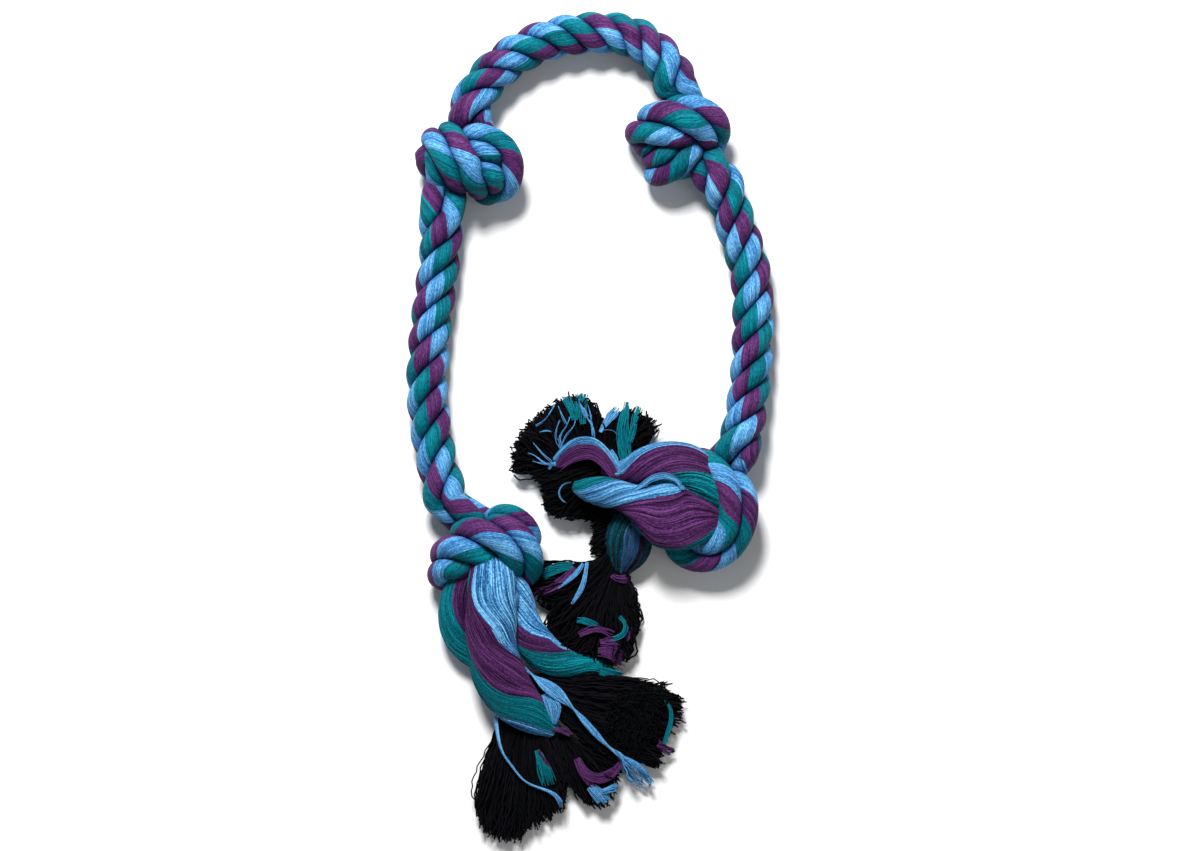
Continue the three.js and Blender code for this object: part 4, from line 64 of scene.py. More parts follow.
   "psi": [-14.859, -14.73, -14.594, -14.466, -14.326, -14.204, -14.081, -13.96, -13.834, -13.706, -13.578, -13.439, -13.315, -13.196, -13.068, -12.931, -12.802, -12.684, -12.563, -12.44, -12.363, -12.286, -12.208, -12.13, -12.028, -11.925, -11.822, -11.717, -11.609, -11.518, -11.426, -11.332, -11.238, -11.147, -11.053, -10.959, -10.873, -10.765, -10.656, -10.551, -10.436, -10.312, -10.186, -10.061, -9.952, -9.844, -9.733, -9.573, -9.435, -9.269, -9.119, -8.983, -8.847, -8.705, -8.569, -8.434, -8.288, -8.131, -7.986, -7.829, -7.675, -7.52, -7.363, -7.206, -7.048, -6.887, -6.726, -6.567, -6.409, -6.252, -6.098, -5.944, -5.792, -5.638, -5.481, -5.322, -5.165, -5.008, -4.853, -4.701, -4.548, -4.394, -4.24, -4.084, -3.929, -3.774, -3.617, -3.462, -3.309, -3.158, -3.009, -2.858, -2.708, -2.558, -2.408, -2.258, -2.102, -1.962, -1.842, -1.719, -1.595, -1.473, -1.349, -1.225, -1.103, -0.977, -0.843, -0.695, -0.545, -0.394, -0.241, -0.109, 0, 0.108, 0.256, 0.412, 0.551, 0.696, 0.817, 0.941, 1.067, 1.189, 1.315, 1.44, 1.568, 1.727, 1.88, 2.002, 2.099, 2.179, 2.257, 2.343, 2.423, 2.487, 2.563, 2.637, 2.706, 2.775, 2.846, 2.917, 2.987, 3.059, 3.131, 3.223, 3.309, 3.396, 3.483, 3.616, 3.793, 3.968, 4.145, 4.325, 4.506, 4.687, 4.866, 5.043, 5.221, 5.399, 5.575, 5.75, 5.922, 6.094, 6.268, 6.443, 6.62, 6.796, 6.967, 7.132, 7.293, 7.457, 7.625, 7.798, 7.976, 8.202, 8.307, 8.412, 8.517, 8.622, 8.725, 8.829, 8.936, 9.036, 9.14, 9.249, 9.35, 9.456, 9.576, 9.702, 9.821, 9.95, 10.1, 10.232, 10.364, 10.487, 10.619, 10.745, 10.872, 10.994, 11.135, 11.277, 11.421, 11.56, 11.696, 11.823, 11.933, 12.046, 12.175, 12.32, 12.469, 12.612, 12.753, 12.896, 13.03, 13.157, 13.316, 13.447, 13.576, 13.718, 13.855, 13.984, 14.129, 14.285, 14.439, 14.584, 14.73, 14.876, 15.021, 15.173, 15.331, 15.489, 15.645, 15.799, 15.952, 16.104, 16.256, 16.407, 16.558, 16.711, 16.865, 17.021, 17.177, 17.332, 17.487, 17.64, 17.793, 17.947, 18.1, 18.25, 18.401, 18.552, 18.706, 18.861, 19.013, 19.162, 19.312, 19.459, 19.59, 19.722, 19.854, 19.979, 20.106, 20.216, 20.323, 20.431, 20.54, 20.647, 20.755, 20.865, 20.976, 21.083, 21.192, 21.298, 21.408, 21.544, 21.66, 21.804, 21.87]},
  {"p": [(-73.2, -129.07, 18.99), (-75.32, -126.34, 19.97), (-75.47, -123.69, 20.34), (-74.42, -121.1, 20.23), (-72.95, -118.56, 19.74), (-71.83, -116.06, 18.98), (-71.64, -113.56, 18.06), (-72.28, -111.07, 17.04), (-75.33, -108.82, 16.5), (-76.99, -107.1, 16.26), (-79.53, -103.94, 15.89), (-80.8, -102.06, 15.4), (-82.95, -98.82, 14.72), (-84.02, -96.96, 14.27), (-85.36, -93.32, 13.5), (-85.73, -91.13, 12.79), (-85.09, -87.2, 12.2), (-84.15, -85.11, 12.33), (-82.16, -81.91, 13.36), (-81.03, -80.38, 14.67), (-78.57, -77.32, 16.21), (-76.96, -75.7, 16.15), (-74.36, -72.93, 16.04), (-72.88, -71.36, 16.07), (-70.38, -68.67, 16.49), (-68.31, -66.35, 16.69), (-65.73, -64.08, 17.67), (-63.57, -62.54, 19.03), (-60.99, -61.42, 20.76), (-58.55, -60.96, 22.25), (-55.89, -61.12, 23.59), (-53.22, -61.79, 24.51), (-50.6, -62.98, 25.02), (-48.22, -64.61, 25.1), (-46.13, -66.47, 24.53), (-44.37, -68.53, 23.48), (-42.94, -70.74, 22.14), (-41.84, -73.01, 20.57), (-41.22, -75.24, 18.76), (-41.35, -77.22, 16.71), (-42.86, -78.34, 14.53), (-45.24, -77.22, 13.88), (-47.59, -76.14, 13.2), (-49.51, -75.25, 12.65), (-51.89, -74.13, 11.97), (-53.78, -73.23, 11.43), (-56.11, -72.1, 10.75), (-57.94, -71.2, 10.22), (-60.24, -70.04, 9.55), (-62.08, -69.08, 9.01), (-64.39, -67.86, 8.32), (-66.25, -66.85, 7.83), (-68.63, -65.55, 7.62), (-70.51, -64.52, 7.77), (-72.81, -63.22, 8.04), (-74.65, -62.17, 8.24), (-76.92, -60.83, 8.5), (-78.74, -59.74, 8.71), (-81.02, -58.35, 8.97), (-82.84, -57.22, 9.18), (-85.1, -55.8, 9.44), (-86.92, -54.65, 9.65), (-89.23, -53.17, 9.92), (-91.12, -51.95, 10.14), (-93.8, -50.21, 10.45), (-95.25, -47.96, 11.2), (-97.09, -45.92, 11.13), (-99.25, -44.02, 10.65), (-101.43, -42.13, 10.64), (-103.58, -40.23, 10.95), (-105.62, -38.28, 11.57), (-107.45, -36.24, 12.46), (-109, -34.06, 13.54), (-110.42, -31.28, 15.04), (-111.32, -28.31, 16.68), (-111.64, -25.26, 18.32), (-111.41, -22.16, 19.81), (-110.69, -19.05, 21.01), (-109.59, -15.93, 21.81), (-108.22, -12.87, 22.14), (-106.73, -9.92, 21.97), (-105.22, -7.13, 21.32), (-103.86, -4.44, 20.26), (-102.79, -1.75, 18.85), (-102.12, 1.08, 17.17), (-101.95, 3.9, 15.27), (-102.3, 6.65, 13.28), (-103.16, 9.26, 11.34), (-104.52, 11.77, 9.57), (-106.3, 14.24, 8.13), (-108.4, 16.73, 7.14), (-110.68, 19.28, 6.72), (-112.97, 21.89, 6.9), (-115.07, 24.57, 7.66), (-116.82, 27.35, 8.92), (-118.08, 30.23, 10.56), (-118.75, 33.17, 12.42), (-118.83, 36.07, 14.37), (-118.36, 38.88, 16.28), (-117.41, 41.56, 18.04), (-116.05, 44.18, 19.56), (-114.34, 46.79, 20.73), (-112.36, 49.41, 21.47), (-110.18, 52.02, 21.71), (-107.93, 54.58, 21.39), (-105.77, 57.09, 20.5), (-103.89, 59.61, 19.08), (-102.46, 62.21, 17.24), (-101.6, 64.91, 15.15), (-101.37, 67.66, 13), (-101.74, 70.43, 10.98), (-102.6, 73.22, 9.25), (-103.85, 76.05, 7.91), (-105.34, 78.96, 7.04), (-106.96, 81.93, 6.71), (-108.57, 84.91, 6.92), (-110.05, 87.87, 7.65), (-111.28, 90.81, 8.86), (-112.12, 93.71, 10.46), (-112.49, 96.56, 12.33), (-112.32, 99.31, 14.32), (-111.64, 101.9, 16.35), (-110.49, 104.31, 18.27), (-108.91, 106.64, 19.96), (-106.99, 108.97, 21.29), (-104.83, 111.38, 22.17), (-102.53, 113.87, 22.52), (-100.21, 116.43, 22.29), (-98.05, 119.08, 21.46), (-96.27, 121.87, 20.1), (-95.25, 124.19, 18.74), (-94.65, 126.57, 17.24), (-94.49, 128.99, 15.68), (-94.74, 131.42, 14.14), (-95.39, 133.84, 12.72), (-96.34, 136.25, 11.47), (-97.55, 138.67, 10.48), (-98.89, 141.14, 9.81), (-99.64, 143.78, 9.39), (-99.72, 146.59, 9.15), (-99.68, 150.14, 8.78), (-99.65, 152.39, 8.54), (-99.6, 155.82, 8.19), (-99.57, 158, 7.96), (-99.53, 161.35, 7.62), (-99.49, 163.51, 7.41), (-99.44, 166.9, 7.07), (-99.38, 169.09, 6.86), (-99.33, 172.5, 6.54), (-99.51, 174.72, 6.47), (-100.3, 177.99, 6.73), (-101.12, 179.92, 7.24), (-102.46, 182.63, 8.77), (-103.21, 184.27, 10.01), (-104.39, 186.85, 11.86), (-105.17, 188.56, 13.1), (-106.46, 191.3, 15.01), (-106.84, 193.3, 17.07), (-107.1, 194.83, 20.01), (-107.2, 195.25, 23), (-106.58, 194.91, 26.24), (-105.59, 194.01, 28.87), (-104.59, 192.68, 31.35), (-103.58, 191.02, 33.48), (-102.43, 188.94, 35.13), (-101.1, 186.58, 36.21), (-99.69, 184.07, 36.76), (-98.25, 181.53, 36.79), (-96.88, 179.06, 36.32), (-95.53, 176.75, 35.34), (-94.24, 174.62, 33.97), (-92.99, 172.58, 32.3), (-91.97, 170.53, 30.59), (-91.05, 168.42, 28.75), (-89.82, 166.98, 26.57), (-88.64, 165.52, 24.42), (-87.21, 165.06, 22.21), (-86.67, 166.7, 23.41), (-85.58, 168.2, 24.07), (-84.17, 169.66, 24.39), (-83.54, 171.75, 23.93), (-83.5, 173.79, 23.38), (-82.43, 176.06, 22.64), (-81.56, 178, 22.04), (-81.23, 180.12, 20.96), (-81.43, 182.05, 19.96), (-80.52, 180.55, 21.84), (-79.48, 179.09, 24.23), (-78.46, 177.93, 26.71), (-76.67, 176.99, 27.6), (-74.94, 175.95, 28.88), (-72.47, 174.65, 31.1), (-69.93, 173.08, 32.66), (-67.85, 171.36, 32.43), (-66.32, 169.48, 30.69), (-65.28, 167.57, 28.4), (-65.58, 166.1, 26.15), (-66.82, 166.12, 24.09), (-68.62, 167.19, 21.69), (-70.6, 170, 21.21), (-72.47, 172.44, 20.51), (-72.79, 174.7, 20.03), (-72.58, 177.88, 19.41), (-72.48, 180.01, 18.85), (-73.16, 182.96, 17.88), (-73.96, 184.92, 17.33), (-75.42, 187.62, 16.71), (-76.4, 189.48, 16.26), (-77.86, 192.17, 15.6), (-78.88, 194.02, 15.1), (-80.2, 196.77, 14.18), (-80.98, 198.67, 13.43), (-82.07, 201.43, 12.36), (-82.84, 203.28, 11.71), (-84.04, 206, 10.91), (-84.88, 207.91, 10.37), (-86.22, 210.96, 9.5), (-86.63, 213.74, 10.38), (-87.19, 216.43, 11.27), (-87.54, 219.1, 12.25), (-87.44, 221.76, 13.4), (-86.96, 224.31, 14.65), (-86.11, 226.7, 15.99), (-84.87, 228.9, 17.39), (-83.28, 230.85, 18.78), (-80.76, 232.97, 20.41), (-77.79, 234.65, 21.7), (-74.5, 235.92, 22.51), (-71.06, 236.81, 22.74), (-67.65, 237.38, 22.36), (-64.4, 237.76, 21.37), (-61.41, 238.19, 19.8), (-58.74, 238.87, 17.78), (-56.43, 239.99, 15.47), (-54.53, 241.61, 13.07), (-53, 243.75, 10.83), (-51.78, 246.36, 8.93), (-50.76, 249.39, 7.52), (-49.72, 252.73, 6.79), (-48.55, 256.18, 6.82), (-47.18, 259.49, 7.6), (-45.56, 262.44, 9.01), (-43.64, 264.88, 10.87), (-41.33, 266.75, 12.96), (-38.65, 268.03, 15.09), (-35.66, 268.68, 17.12), (-32.48, 268.7, 18.92), (-29.21, 268.13, 20.36), (-25.94, 267.04, 21.33), (-22.72, 265.57, 21.71), (-19.58, 263.88, 21.4), (-16.58, 262.22, 20.34), (-13.74, 260.89, 18.6), (-11.03, 260.14, 16.35), (-8.39, 260.13, 13.87), (-5.8, 260.9, 11.46), (-3.24, 262.36, 9.39), (-0.7, 264.34, 7.85), (1.85, 266.64, 6.94), (4.46, 269.07, 6.72), (7.18, 271.43, 7.22), (10.04, 273.47, 8.43), (13.03, 274.98, 10.29), (16.09, 275.72, 12.68), (19.13, 275.45, 15.35), (22.02, 274.08, 17.93), (24.62, 271.72, 20.03), (26.75, 268.67, 21.35), (28.38, 265.35, 21.79), (29.74, 262.04, 21.35), (30.99, 258.99, 20.11), (32.38, 256.42, 18.26), (34.09, 254.41, 16.07), (36.25, 252.96, 13.86), (38.89, 251.96, 11.9), (41.89, 251.26, 10.46), (45.14, 250.67, 9.63), (50.21, 249.68, 9.6), (52.93, 248.99, 10.19), (55.48, 248.15, 11.18), (57.78, 247.12, 12.54), (59.75, 245.87, 14.21), (61.33, 244.38, 16.08), (62.41, 242.66, 18.1), (62.85, 240.75, 20.3), (63.07, 238.52, 21.95), (63.46, 235.92, 22.4), (64.6, 233.24, 22), (65.86, 230.26, 21.56), (66.8, 228.06, 21.23), (68.04, 225.14, 20.8), (68.89, 223.15, 20.49), (70.04, 220.45, 20.09), (70.67, 218.56, 20.02), (71.46, 215.72, 20.28), (71.83, 213.56, 20.49), (72.01, 210.42, 20.53), (71.99, 208.23, 20.49), (71.73, 205.18, 20.34), (71.39, 203.08, 20.17), (70.93, 200.32, 19.79), (70.22, 198.45, 19.88), (69.92, 193.93, 20.88), (70.24, 190.31, 21.99), (69.88, 187.57, 23.21), (68.28, 185.73, 24.95), (66.27, 183.81, 26.33), (64.4, 181.57, 26.57), (62.2, 179.23, 26.21), (59.94, 177.5, 25.45), (57.49, 176.03, 24.43), (55.09, 174.61, 23.63), (52.59, 173.29, 22.6), (50.27, 172.35, 21.25), (48.1, 171.78, 19.39), (46.22, 171.54, 17.08), (44.74, 171.82, 14.1), (45.13, 172.87, 11.23), (48.58, 173.59, 10.24), (50.41, 174.04, 9.68), (53.06, 174.67, 8.88), (55.09, 175.15, 8.27), (58.21, 175.88, 7.33), (60.36, 176.39, 6.68), (63.32, 177.08, 5.79), (65.31, 177.54, 5.2), (68.19, 178.19, 4.31), (70.13, 178.68, 3.81), (72.96, 180.1, 3.4), (74.83, 181.48, 3.34), (77.38, 183.65, 3.62), (79.14, 184.72, 3.86), (81.75, 186.65, 4.41), (83.16, 188.24, 5.28), (84.46, 190.53, 7.08), (84.99, 191.97, 8.51), (85.52, 193.95, 10.77), (85.92, 195.65, 12.61), (87.09, 197.63, 15.25), (87.69, 199.37, 17.58), (87.77, 201.33, 20.1), (87.43, 203.11, 22.42), (86.94, 205.02, 24.71), (86.18, 206.94, 26.62), (84.94, 208.95, 28.14), (83.03, 210.78, 29.34), (80.76, 212.42, 30.31), (78.34, 213.86, 31), (75.79, 215.06, 31.25), (73.13, 215.99, 30.94), (70.41, 216.7, 30.2), (67.65, 217.21, 29.4), (65.02, 217.61, 28.08), (62.77, 218.03, 26.34), (60.27, 218.06, 24.92), (58.07, 217.29, 23.34), (57.24, 215.22, 21.37), (56.98, 213.98, 19.62), (57.12, 212.55, 17.13), (57.82, 211.41, 15.33), (59.6, 210.22, 12.94), (60.83, 209.23, 11.34), (62.22, 207.51, 9.95), (63.56, 206.06, 9.32), (65.44, 203.88, 8.75), (66.92, 202.17, 8.29), (68.8, 200, 7.72), (70.18, 198.41, 7.3), (71.98, 196.36, 6.74), (73.3, 194.76, 6.42), (74.95, 192.45, 6.77), (75.9, 190.78, 7.69), (76.95, 188.93, 9.89), (78.11, 187.88, 11.57), (79.73, 186.89, 13.6), (80.57, 186.11, 15.36), (81.38, 185.19, 17.74), (82.54, 184.02, 19.93), (83.98, 181.94, 21.67), (85.28, 179.56, 22.85), (86.4, 176.93, 23.72), (87.26, 174.27, 24.35), (87.53, 171.48, 24.8), (87.28, 168.62, 24.98), (86.94, 165.79, 24.7), (86.56, 163.05, 23.96), (86.16, 160.46, 22.8), (85.87, 158.06, 21.26), (85.82, 155.84, 19.46), (86.09, 153.77, 17.5), (86.73, 151.82, 15.5), (87.96, 149.65, 13.21), (89.71, 147.59, 11.1), (91.9, 145.6, 9.35), (94.42, 143.62, 8.08), (97.15, 141.6, 7.34), (99.97, 139.53, 7.18), (102.72, 137.42, 7.62), (105.29, 135.25, 8.63), (107.52, 133.01, 10.17), (109.27, 130.65, 12.13), (110.45, 128.09, 14.31), (110.98, 125.29, 16.51), (110.85, 122.31, 18.52), (110.16, 119.2, 20.15), (109.04, 116, 21.24), (107.67, 112.77, 21.7), (106.24, 109.57, 21.5), (104.86, 106.5, 20.66), (103.7, 103.63, 19.24), (102.91, 100.95, 17.39), (102.63, 98.38, 15.26), (102.92, 95.86, 13.07), (103.77, 93.33, 11), (105.13, 90.79, 9.22), (106.87, 88.21, 7.86), (108.87, 85.59, 7.01), (110.99, 82.93, 6.71), (113.1, 80.25, 6.97), (115.06, 77.57, 7.78), (116.73, 74.85, 9.08), (117.97, 72.07, 10.78), (118.66, 69.21, 12.75), (118.73, 66.32, 14.83), (118.15, 63.48, 16.87), (117, 60.75, 18.7), (115.37, 58.12, 20.2), (113.39, 55.51, 21.22), (111.21, 52.88, 21.69), (108.98, 50.22, 21.56), (106.85, 47.57, 20.8), (104.98, 44.98, 19.49), (103.53, 42.43, 17.71), (102.61, 39.86, 15.63), (102.28, 37.21, 13.46), (102.55, 34.47, 11.37), (103.35, 31.67, 9.54), (104.54, 28.6, 8.18), (105.99, 25.43, 7.4), (107.57, 22.23, 7.25), (109.16, 19.07, 7.73), (110.67, 16.03, 8.8), (111.98, 13.19, 10.42), (112.96, 10.54, 12.52), (113.46, 8.03, 14.97), (113.34, 5.59, 17.61), (112.56, 3.18, 20.25), (111.1, 0.84, 22.7), (109.54, -0.91, 24.35), (107.68, -2.62, 25.69), (105.58, -4.3, 26.65), (103.32, -5.99, 27.19), (101.03, -7.69, 27.28), (98.77, -9.41, 26.9), (96.64, -11.15, 26.05), (94.85, -12.97, 24.84), (93.45, -14.92, 23.36), (91.63, -16.87, 22.31), (89.67, -18.99, 21.17), (88.29, -20.47, 20.37), (86.32, -22.57, 19.25), (84.97, -24.05, 18.45), (83.21, -26.26, 17.24), (82.13, -27.9, 16.38), (80.77, -30.37, 15.21), (79.95, -32.2, 14.46), (78.93, -34.95, 13.58), (78.31, -36.96, 13.14), (77.49, -39.9, 12.81), (76.93, -41.97, 12.8), (76.06, -44.88, 13.03), (75.47, -46.89, 13.21), (74.64, -49.8, 13.49), (74.05, -51.82, 13.73), (73.27, -54.79, 14.03), (72.77, -56.94, 14.14), (72.11, -60.04, 14.19), (71.65, -62.25, 14.07), (71, -65.31, 13.78), (70.55, -67.36, 13.5), (69.86, -70.17, 13.01), (69.37, -72.2, 12.64), (68.31, -75.55, 11.79), (68.85, -77.74, 11.57), (70.35, -78.68, 13.35), (72.15, -79.21, 15.49), (74.34, -79.81, 16.86), (76.14, -80.45, 18.92), (78.57, -80.49, 19.81), (80.75, -80.55, 21.51), (83.09, -79.83, 22.52), (85.29, -78.89, 24.01), (87.28, -77.6, 25.36), (89.19, -75.96, 26.71), (90.83, -74.05, 27.85), (92.24, -71.78, 28.82), (93.39, -69.32, 29.58), (94.25, -66.65, 30.26), (94.88, -63.94, 30.85), (95.27, -61.17, 31.44), (95.45, -58.4, 32.06), (95.47, -55.62, 32.75), (95.4, -52.84, 33.47), (95.19, -50.07, 34.14), (94.82, -47.29, 34.66), (94.24, -44.51, 34.93), (93.44, -41.75, 34.97), (92.42, -39.06, 34.78), (91.19, -36.49, 34.41), (89.75, -34.06, 33.86), (88.15, -31.8, 33.1), (86.41, -29.76, 32.13), (84.54, -27.93, 30.95), (82.59, -26.32, 29.6), (80.54, -24.89, 28.09), (78.43, -23.71, 26.46), (76.2, -22.93, 24.69), (73.95, -22.82, 22.95), (71.48, -23.8, 21.56), (69.8, -25.82, 21.92), (68.02, -27.85, 22.21), (66.62, -29.45, 22.44), (64.82, -31.51, 22.73), (63.42, -33.12, 22.97), (61.62, -35.18, 23.27), (60.23, -36.78, 23.5), (58.44, -38.83, 23.8), (57.05, -40.42, 24.04), (55.26, -42.47, 24.35), (53.88, -44.05, 24.59), (52.1, -46.1, 24.9), (50.71, -47.69, 25.14), (48.9, -49.76, 25.46), (47.46, -51.41, 25.71), (45.36, -53.82, 26.08), (42.93, -53.85, 27.52), (40.34, -52.98, 28.43), (37.76, -51.69, 28.45), (35.38, -50.53, 27.19)],
   "d": [0, 6.3, 12, 17.6, 24.2, 30.6, 36.9, 43, 49.4, 55.6, 62.1, 68.2, 74.1, 80.8, 87, 92.9, 98.7, 104.5, 110.3, 116.3, 122, 127.4, 132.3, 137.1, 141.9, 146.7, 151.6, 156.4, 161.2, 166, 170.8, 175.8, 181.2, 186.8, 192.6, 198.3, 204.1, 211.1, 218, 224.8, 231.5, 237.9, 244.5, 251.3, 258.1, 264.8, 271.7, 278.8, 285.8, 292.8, 299.4, 306.1, 313, 319.8, 326.9, 333.8, 340.6, 347.4, 354.1, 361, 367.8, 374.4, 381, 387.8, 394.8, 401.2, 407, 412.7, 418.5, 424.2, 430.6, 436.3, 441.8, 447.4, 453, 458.6, 464.2, 469.8, 475.6, 481.8, 488.1, 494.1, 499.9, 505.7, 511.5, 517.2, 523, 528.8, 534.3, 538.4, 542.7, 547.4, 552, 556.8, 562.7, 567.3, 574.2, 579.9, 585.8, 591.4, 598, 603.6, 608.9, 614.3, 619.5, 624.9, 630.2, 635.4, 641, 646.9, 652.6, 658.4, 664.1, 671.5, 678.6, 685.5, 692.4, 699.3, 706.2, 713.2, 720.5, 727.8, 735.1, 742.4, 749.6, 756.8, 764, 771.2, 778.4, 785.5, 792.7, 800.3, 808.3, 816.5, 824.1, 831.3, 838.2, 845, 851.8, 859.8, 865.6, 871.3, 877.1, 882.6, 888.8, 894.4, 899.5, 904.5, 909.9, 915.1, 920.1, 926.7, 933.5, 939.6, 945.8, 951.8, 957.7, 963.4, 969.8, 976.5, 981.3, 986.8, 992.3, 997.5, 1002.8, 1008.4, 1013.8, 1019.3, 1024.4, 1030.5, 1036.6, 1042.6, 1048.2, 1054.1, 1059.8, 1065.6, 1071.5, 1077.2, 1083, 1088, 1093.5, 1098.3, 1103.4, 1108.6, 1113.5, 1118.5, 1123.7, 1128.7, 1133.5, 1139.3, 1145.3, 1151, 1156.7, 1162.5, 1168.2, 1173.9, 1180.7, 1187.6, 1194.6, 1201.6, 1208.6, 1215.8, 1223, 1230.1, 1237.1, 1243.8, 1250.5, 1257.3, 1264.1, 1270.9, 1277.8, 1284.8, 1291.9, 1298.8, 1305.7, 1312.7, 1319.6, 1326.4, 1333.3, 1340.5, 1347.6, 1354.7, 1361.7, 1369, 1375.6, 1381.3, 1387, 1392.7, 1398.4, 1404.4, 1409.6, 1414.8, 1420, 1425.2, 1430.5, 1435.7, 1440.8, 1446, 1451.4, 1456.8, 1461.8, 1467.6, 1472.3, 1477.9, 1483.2, 1488.7, 1494.2, 1499.8, 1505.5, 1511.2, 1516.9, 1522.7, 1528.4, 1534.1, 1539.9, 1545.6, 1551.3, 1557.1, 1563, 1568.8, 1574.2, 1579.1, 1584, 1588.8, 1593.7, 1598.6, 1603.4, 1608.9, 1614.6, 1620.4],
   "psi": [-12.018, -11.875, -11.744, -11.618, -11.468, -11.32, -11.177, -11.037, -10.893, -10.751, -10.602, -10.464, -10.331, -10.178, -10.035, -9.901, -9.722, -9.502, -9.34, -9.176, -9.018, -8.869, -8.734, -8.6, -8.468, -8.334, -8.199, -8.066, -7.934, -7.801, -7.667, -7.532, -7.38, -7.227, -7.067, -6.908, -6.748, -6.606, -6.465, -6.326, -6.186, -6.047, -5.905, -5.761, -5.619, -5.479, -5.338, -5.195, -5.048, -4.9, -4.754, -4.607, -4.463, -4.32, -4.177, -4.033, -3.889, -3.742, -3.595, -3.447, -3.299, -3.152, -3.006, -2.86, -2.714, -2.584, -2.468, -2.353, -2.237, -2.123, -1.995, -1.881, -1.769, -1.657, -1.544, -1.432, -1.321, -1.209, -1.092, -0.967, -0.84, -0.707, -0.563, -0.418, -0.311, -0.205, -0.098, 0.031, 0.153, 0.243, 0.337, 0.442, 0.544, 0.649, 0.779, 0.881, 1.034, 1.207, 1.385, 1.556, 1.757, 1.927, 2.09, 2.252, 2.413, 2.576, 2.738, 2.896, 3.066, 3.244, 3.419, 3.594, 3.769, 3.955, 4.138, 4.318, 4.494, 4.671, 4.847, 5.023, 5.201, 5.381, 5.566, 5.754, 5.939, 6.119, 6.294, 6.467, 6.643, 6.821, 7.001, 7.18, 7.358, 7.535, 7.707, 7.876, 8.043, 8.213, 8.388, 8.59, 8.726, 8.862, 8.999, 9.128, 9.275, 9.408, 9.53, 9.647, 9.774, 9.898, 10.015, 10.173, 10.334, 10.479, 10.61, 10.737, 10.903, 11.102, 11.265, 11.438, 11.561, 11.702, 11.842, 11.976, 12.111, 12.257, 12.394, 12.535, 12.667, 12.822, 12.98, 13.133, 13.254, 13.355, 13.453, 13.571, 13.71, 13.846, 13.983, 14.102, 14.23, 14.345, 14.463, 14.587, 14.704, 14.821, 14.943, 15.063, 15.176, 15.313, 15.454, 15.589, 15.724, 15.86, 15.995, 16.13, 16.277, 16.426, 16.577, 16.727, 16.876, 17.024, 17.171, 17.318, 17.464, 17.608, 17.752, 17.9, 18.05, 18.201, 18.354, 18.507, 18.661, 18.813, 18.965, 19.116, 19.265, 19.415, 19.567, 19.724, 19.882, 20.039, 20.193, 20.348, 20.479, 20.584, 20.689, 20.794, 20.898, 21.008, 21.104, 21.2, 21.296, 21.392, 21.487, 21.583, 21.677, 21.773, 21.872, 21.971, 22.064, 22.169, 22.257, 22.358, 22.435, 22.488, 22.542, 22.597, 22.652, 22.869, 23.018, 23.099, 23.18, 23.261, 23.367, 23.498, 23.628, 23.76, 23.894, 24.027, 24.149, 24.261, 24.372, 24.483, 24.594, 24.704, 24.816, 24.94, 25.069, 25.202]},
]
LEFT_LEG = [(-100.77, 144.5, 16.94), (-101.66, 137.03, 16.76), (-101.95, 129.52, 16.3), (-102.38, 122.01, 15.69), (-103, 114.51, 15.06), (-103.7, 107.02, 14.53), (-104.7, 99.56, 14.24), (-105.78, 92.12, 14.21), (-106.81, 84.67, 14.21), (-107.81, 77.21, 14.21), (-108.61, 69.73, 14.21), (-109.36, 62.25, 14.21), (-110.09, 54.76, 14.21), (-110.59, 47.25, 14.21), (-111.07, 39.75, 14.21), (-111.49, 32.24, 14.21), (-111.42, 24.72, 14.21), (-110.97, 17.21, 14.21), (-110.21, 9.72, 14.21), (-109.23, 2.27, 14.21), (-108.29, -5.2, 14.25), (-107.08, -12.62, 14.69), (-105.51, -19.98, 15.49), (-103.86, -27.32, 16.43), (-101.98, -34.6, 17.35), (-100.07, -41.88, 18.04), (-98.43, -49.22, 18.31)]
ARCH = [(-83.13, 211.78, 16.94), (-81.5, 218.42, 16.79), (-78.72, 224.67, 16.4), (-75.14, 230.5, 15.87), (-70.61, 236.51, 15.23), (-65.89, 241.47, 14.7), (-60.79, 246.03, 14.33), (-55.44, 250.3, 14.21), (-49.71, 254.04, 14.21), (-43.69, 257.31, 14.21), (-36.94, 260.63, 14.21), (-30.58, 263.17, 14.21), (-24.01, 265.09, 14.21), (-17.31, 266.49, 14.21), (-10.53, 267.44, 14.21), (-3.72, 268.1, 14.21), (3.11, 268.57, 14.21), (10.64, 268.68, 14.21), (17.46, 268.18, 14.21), (24.19, 266.94, 14.21), (30.68, 264.78, 14.4), (36.73, 261.6, 14.95), (42.22, 257.52, 15.74), (47.55, 252.21, 16.7), (51.67, 246.75, 17.5), (55.01, 240.78, 18.08), (57.58, 234.44, 18.31)]
RIGHT_LEG = [(83.72, 173.5, 17.63), (87.92, 167.28, 17.4), (91.37, 160.61, 16.83), (94.03, 153.59, 16.06), (96.43, 146.47, 15.27), (98.75, 139.32, 14.61), (101.12, 132.19, 14.24), (103.54, 125.08, 14.21), (105.75, 117.9, 14.21), (107.79, 110.67, 14.21), (109.41, 103.34, 14.21), (110.37, 95.89, 14.21), (110.86, 88.39, 14.21), (111.11, 80.89, 14.21), (111.28, 73.38, 14.21), (111.23, 65.86, 14.21), (110.85, 58.36, 14.21), (110.54, 50.85, 14.21), (110.24, 43.35, 14.21), (109.65, 35.86, 14.21), (108.92, 28.38, 14.27), (107.98, 20.93, 14.94), (106.91, 13.49, 16.12), (105.82, 6.06, 17.55), (104.34, -1.3, 18.92), (102.41, -8.56, 19.95), (100.22, -15.75, 20.36)]
LEFT_NEAR = [(319.6, 515.2), (341.6, 536.6), (204.1, 398.3)]
ARCH_NEAR = [(799.5, 995.0), (842.9, 1036.8), (664.1, 857.0)]
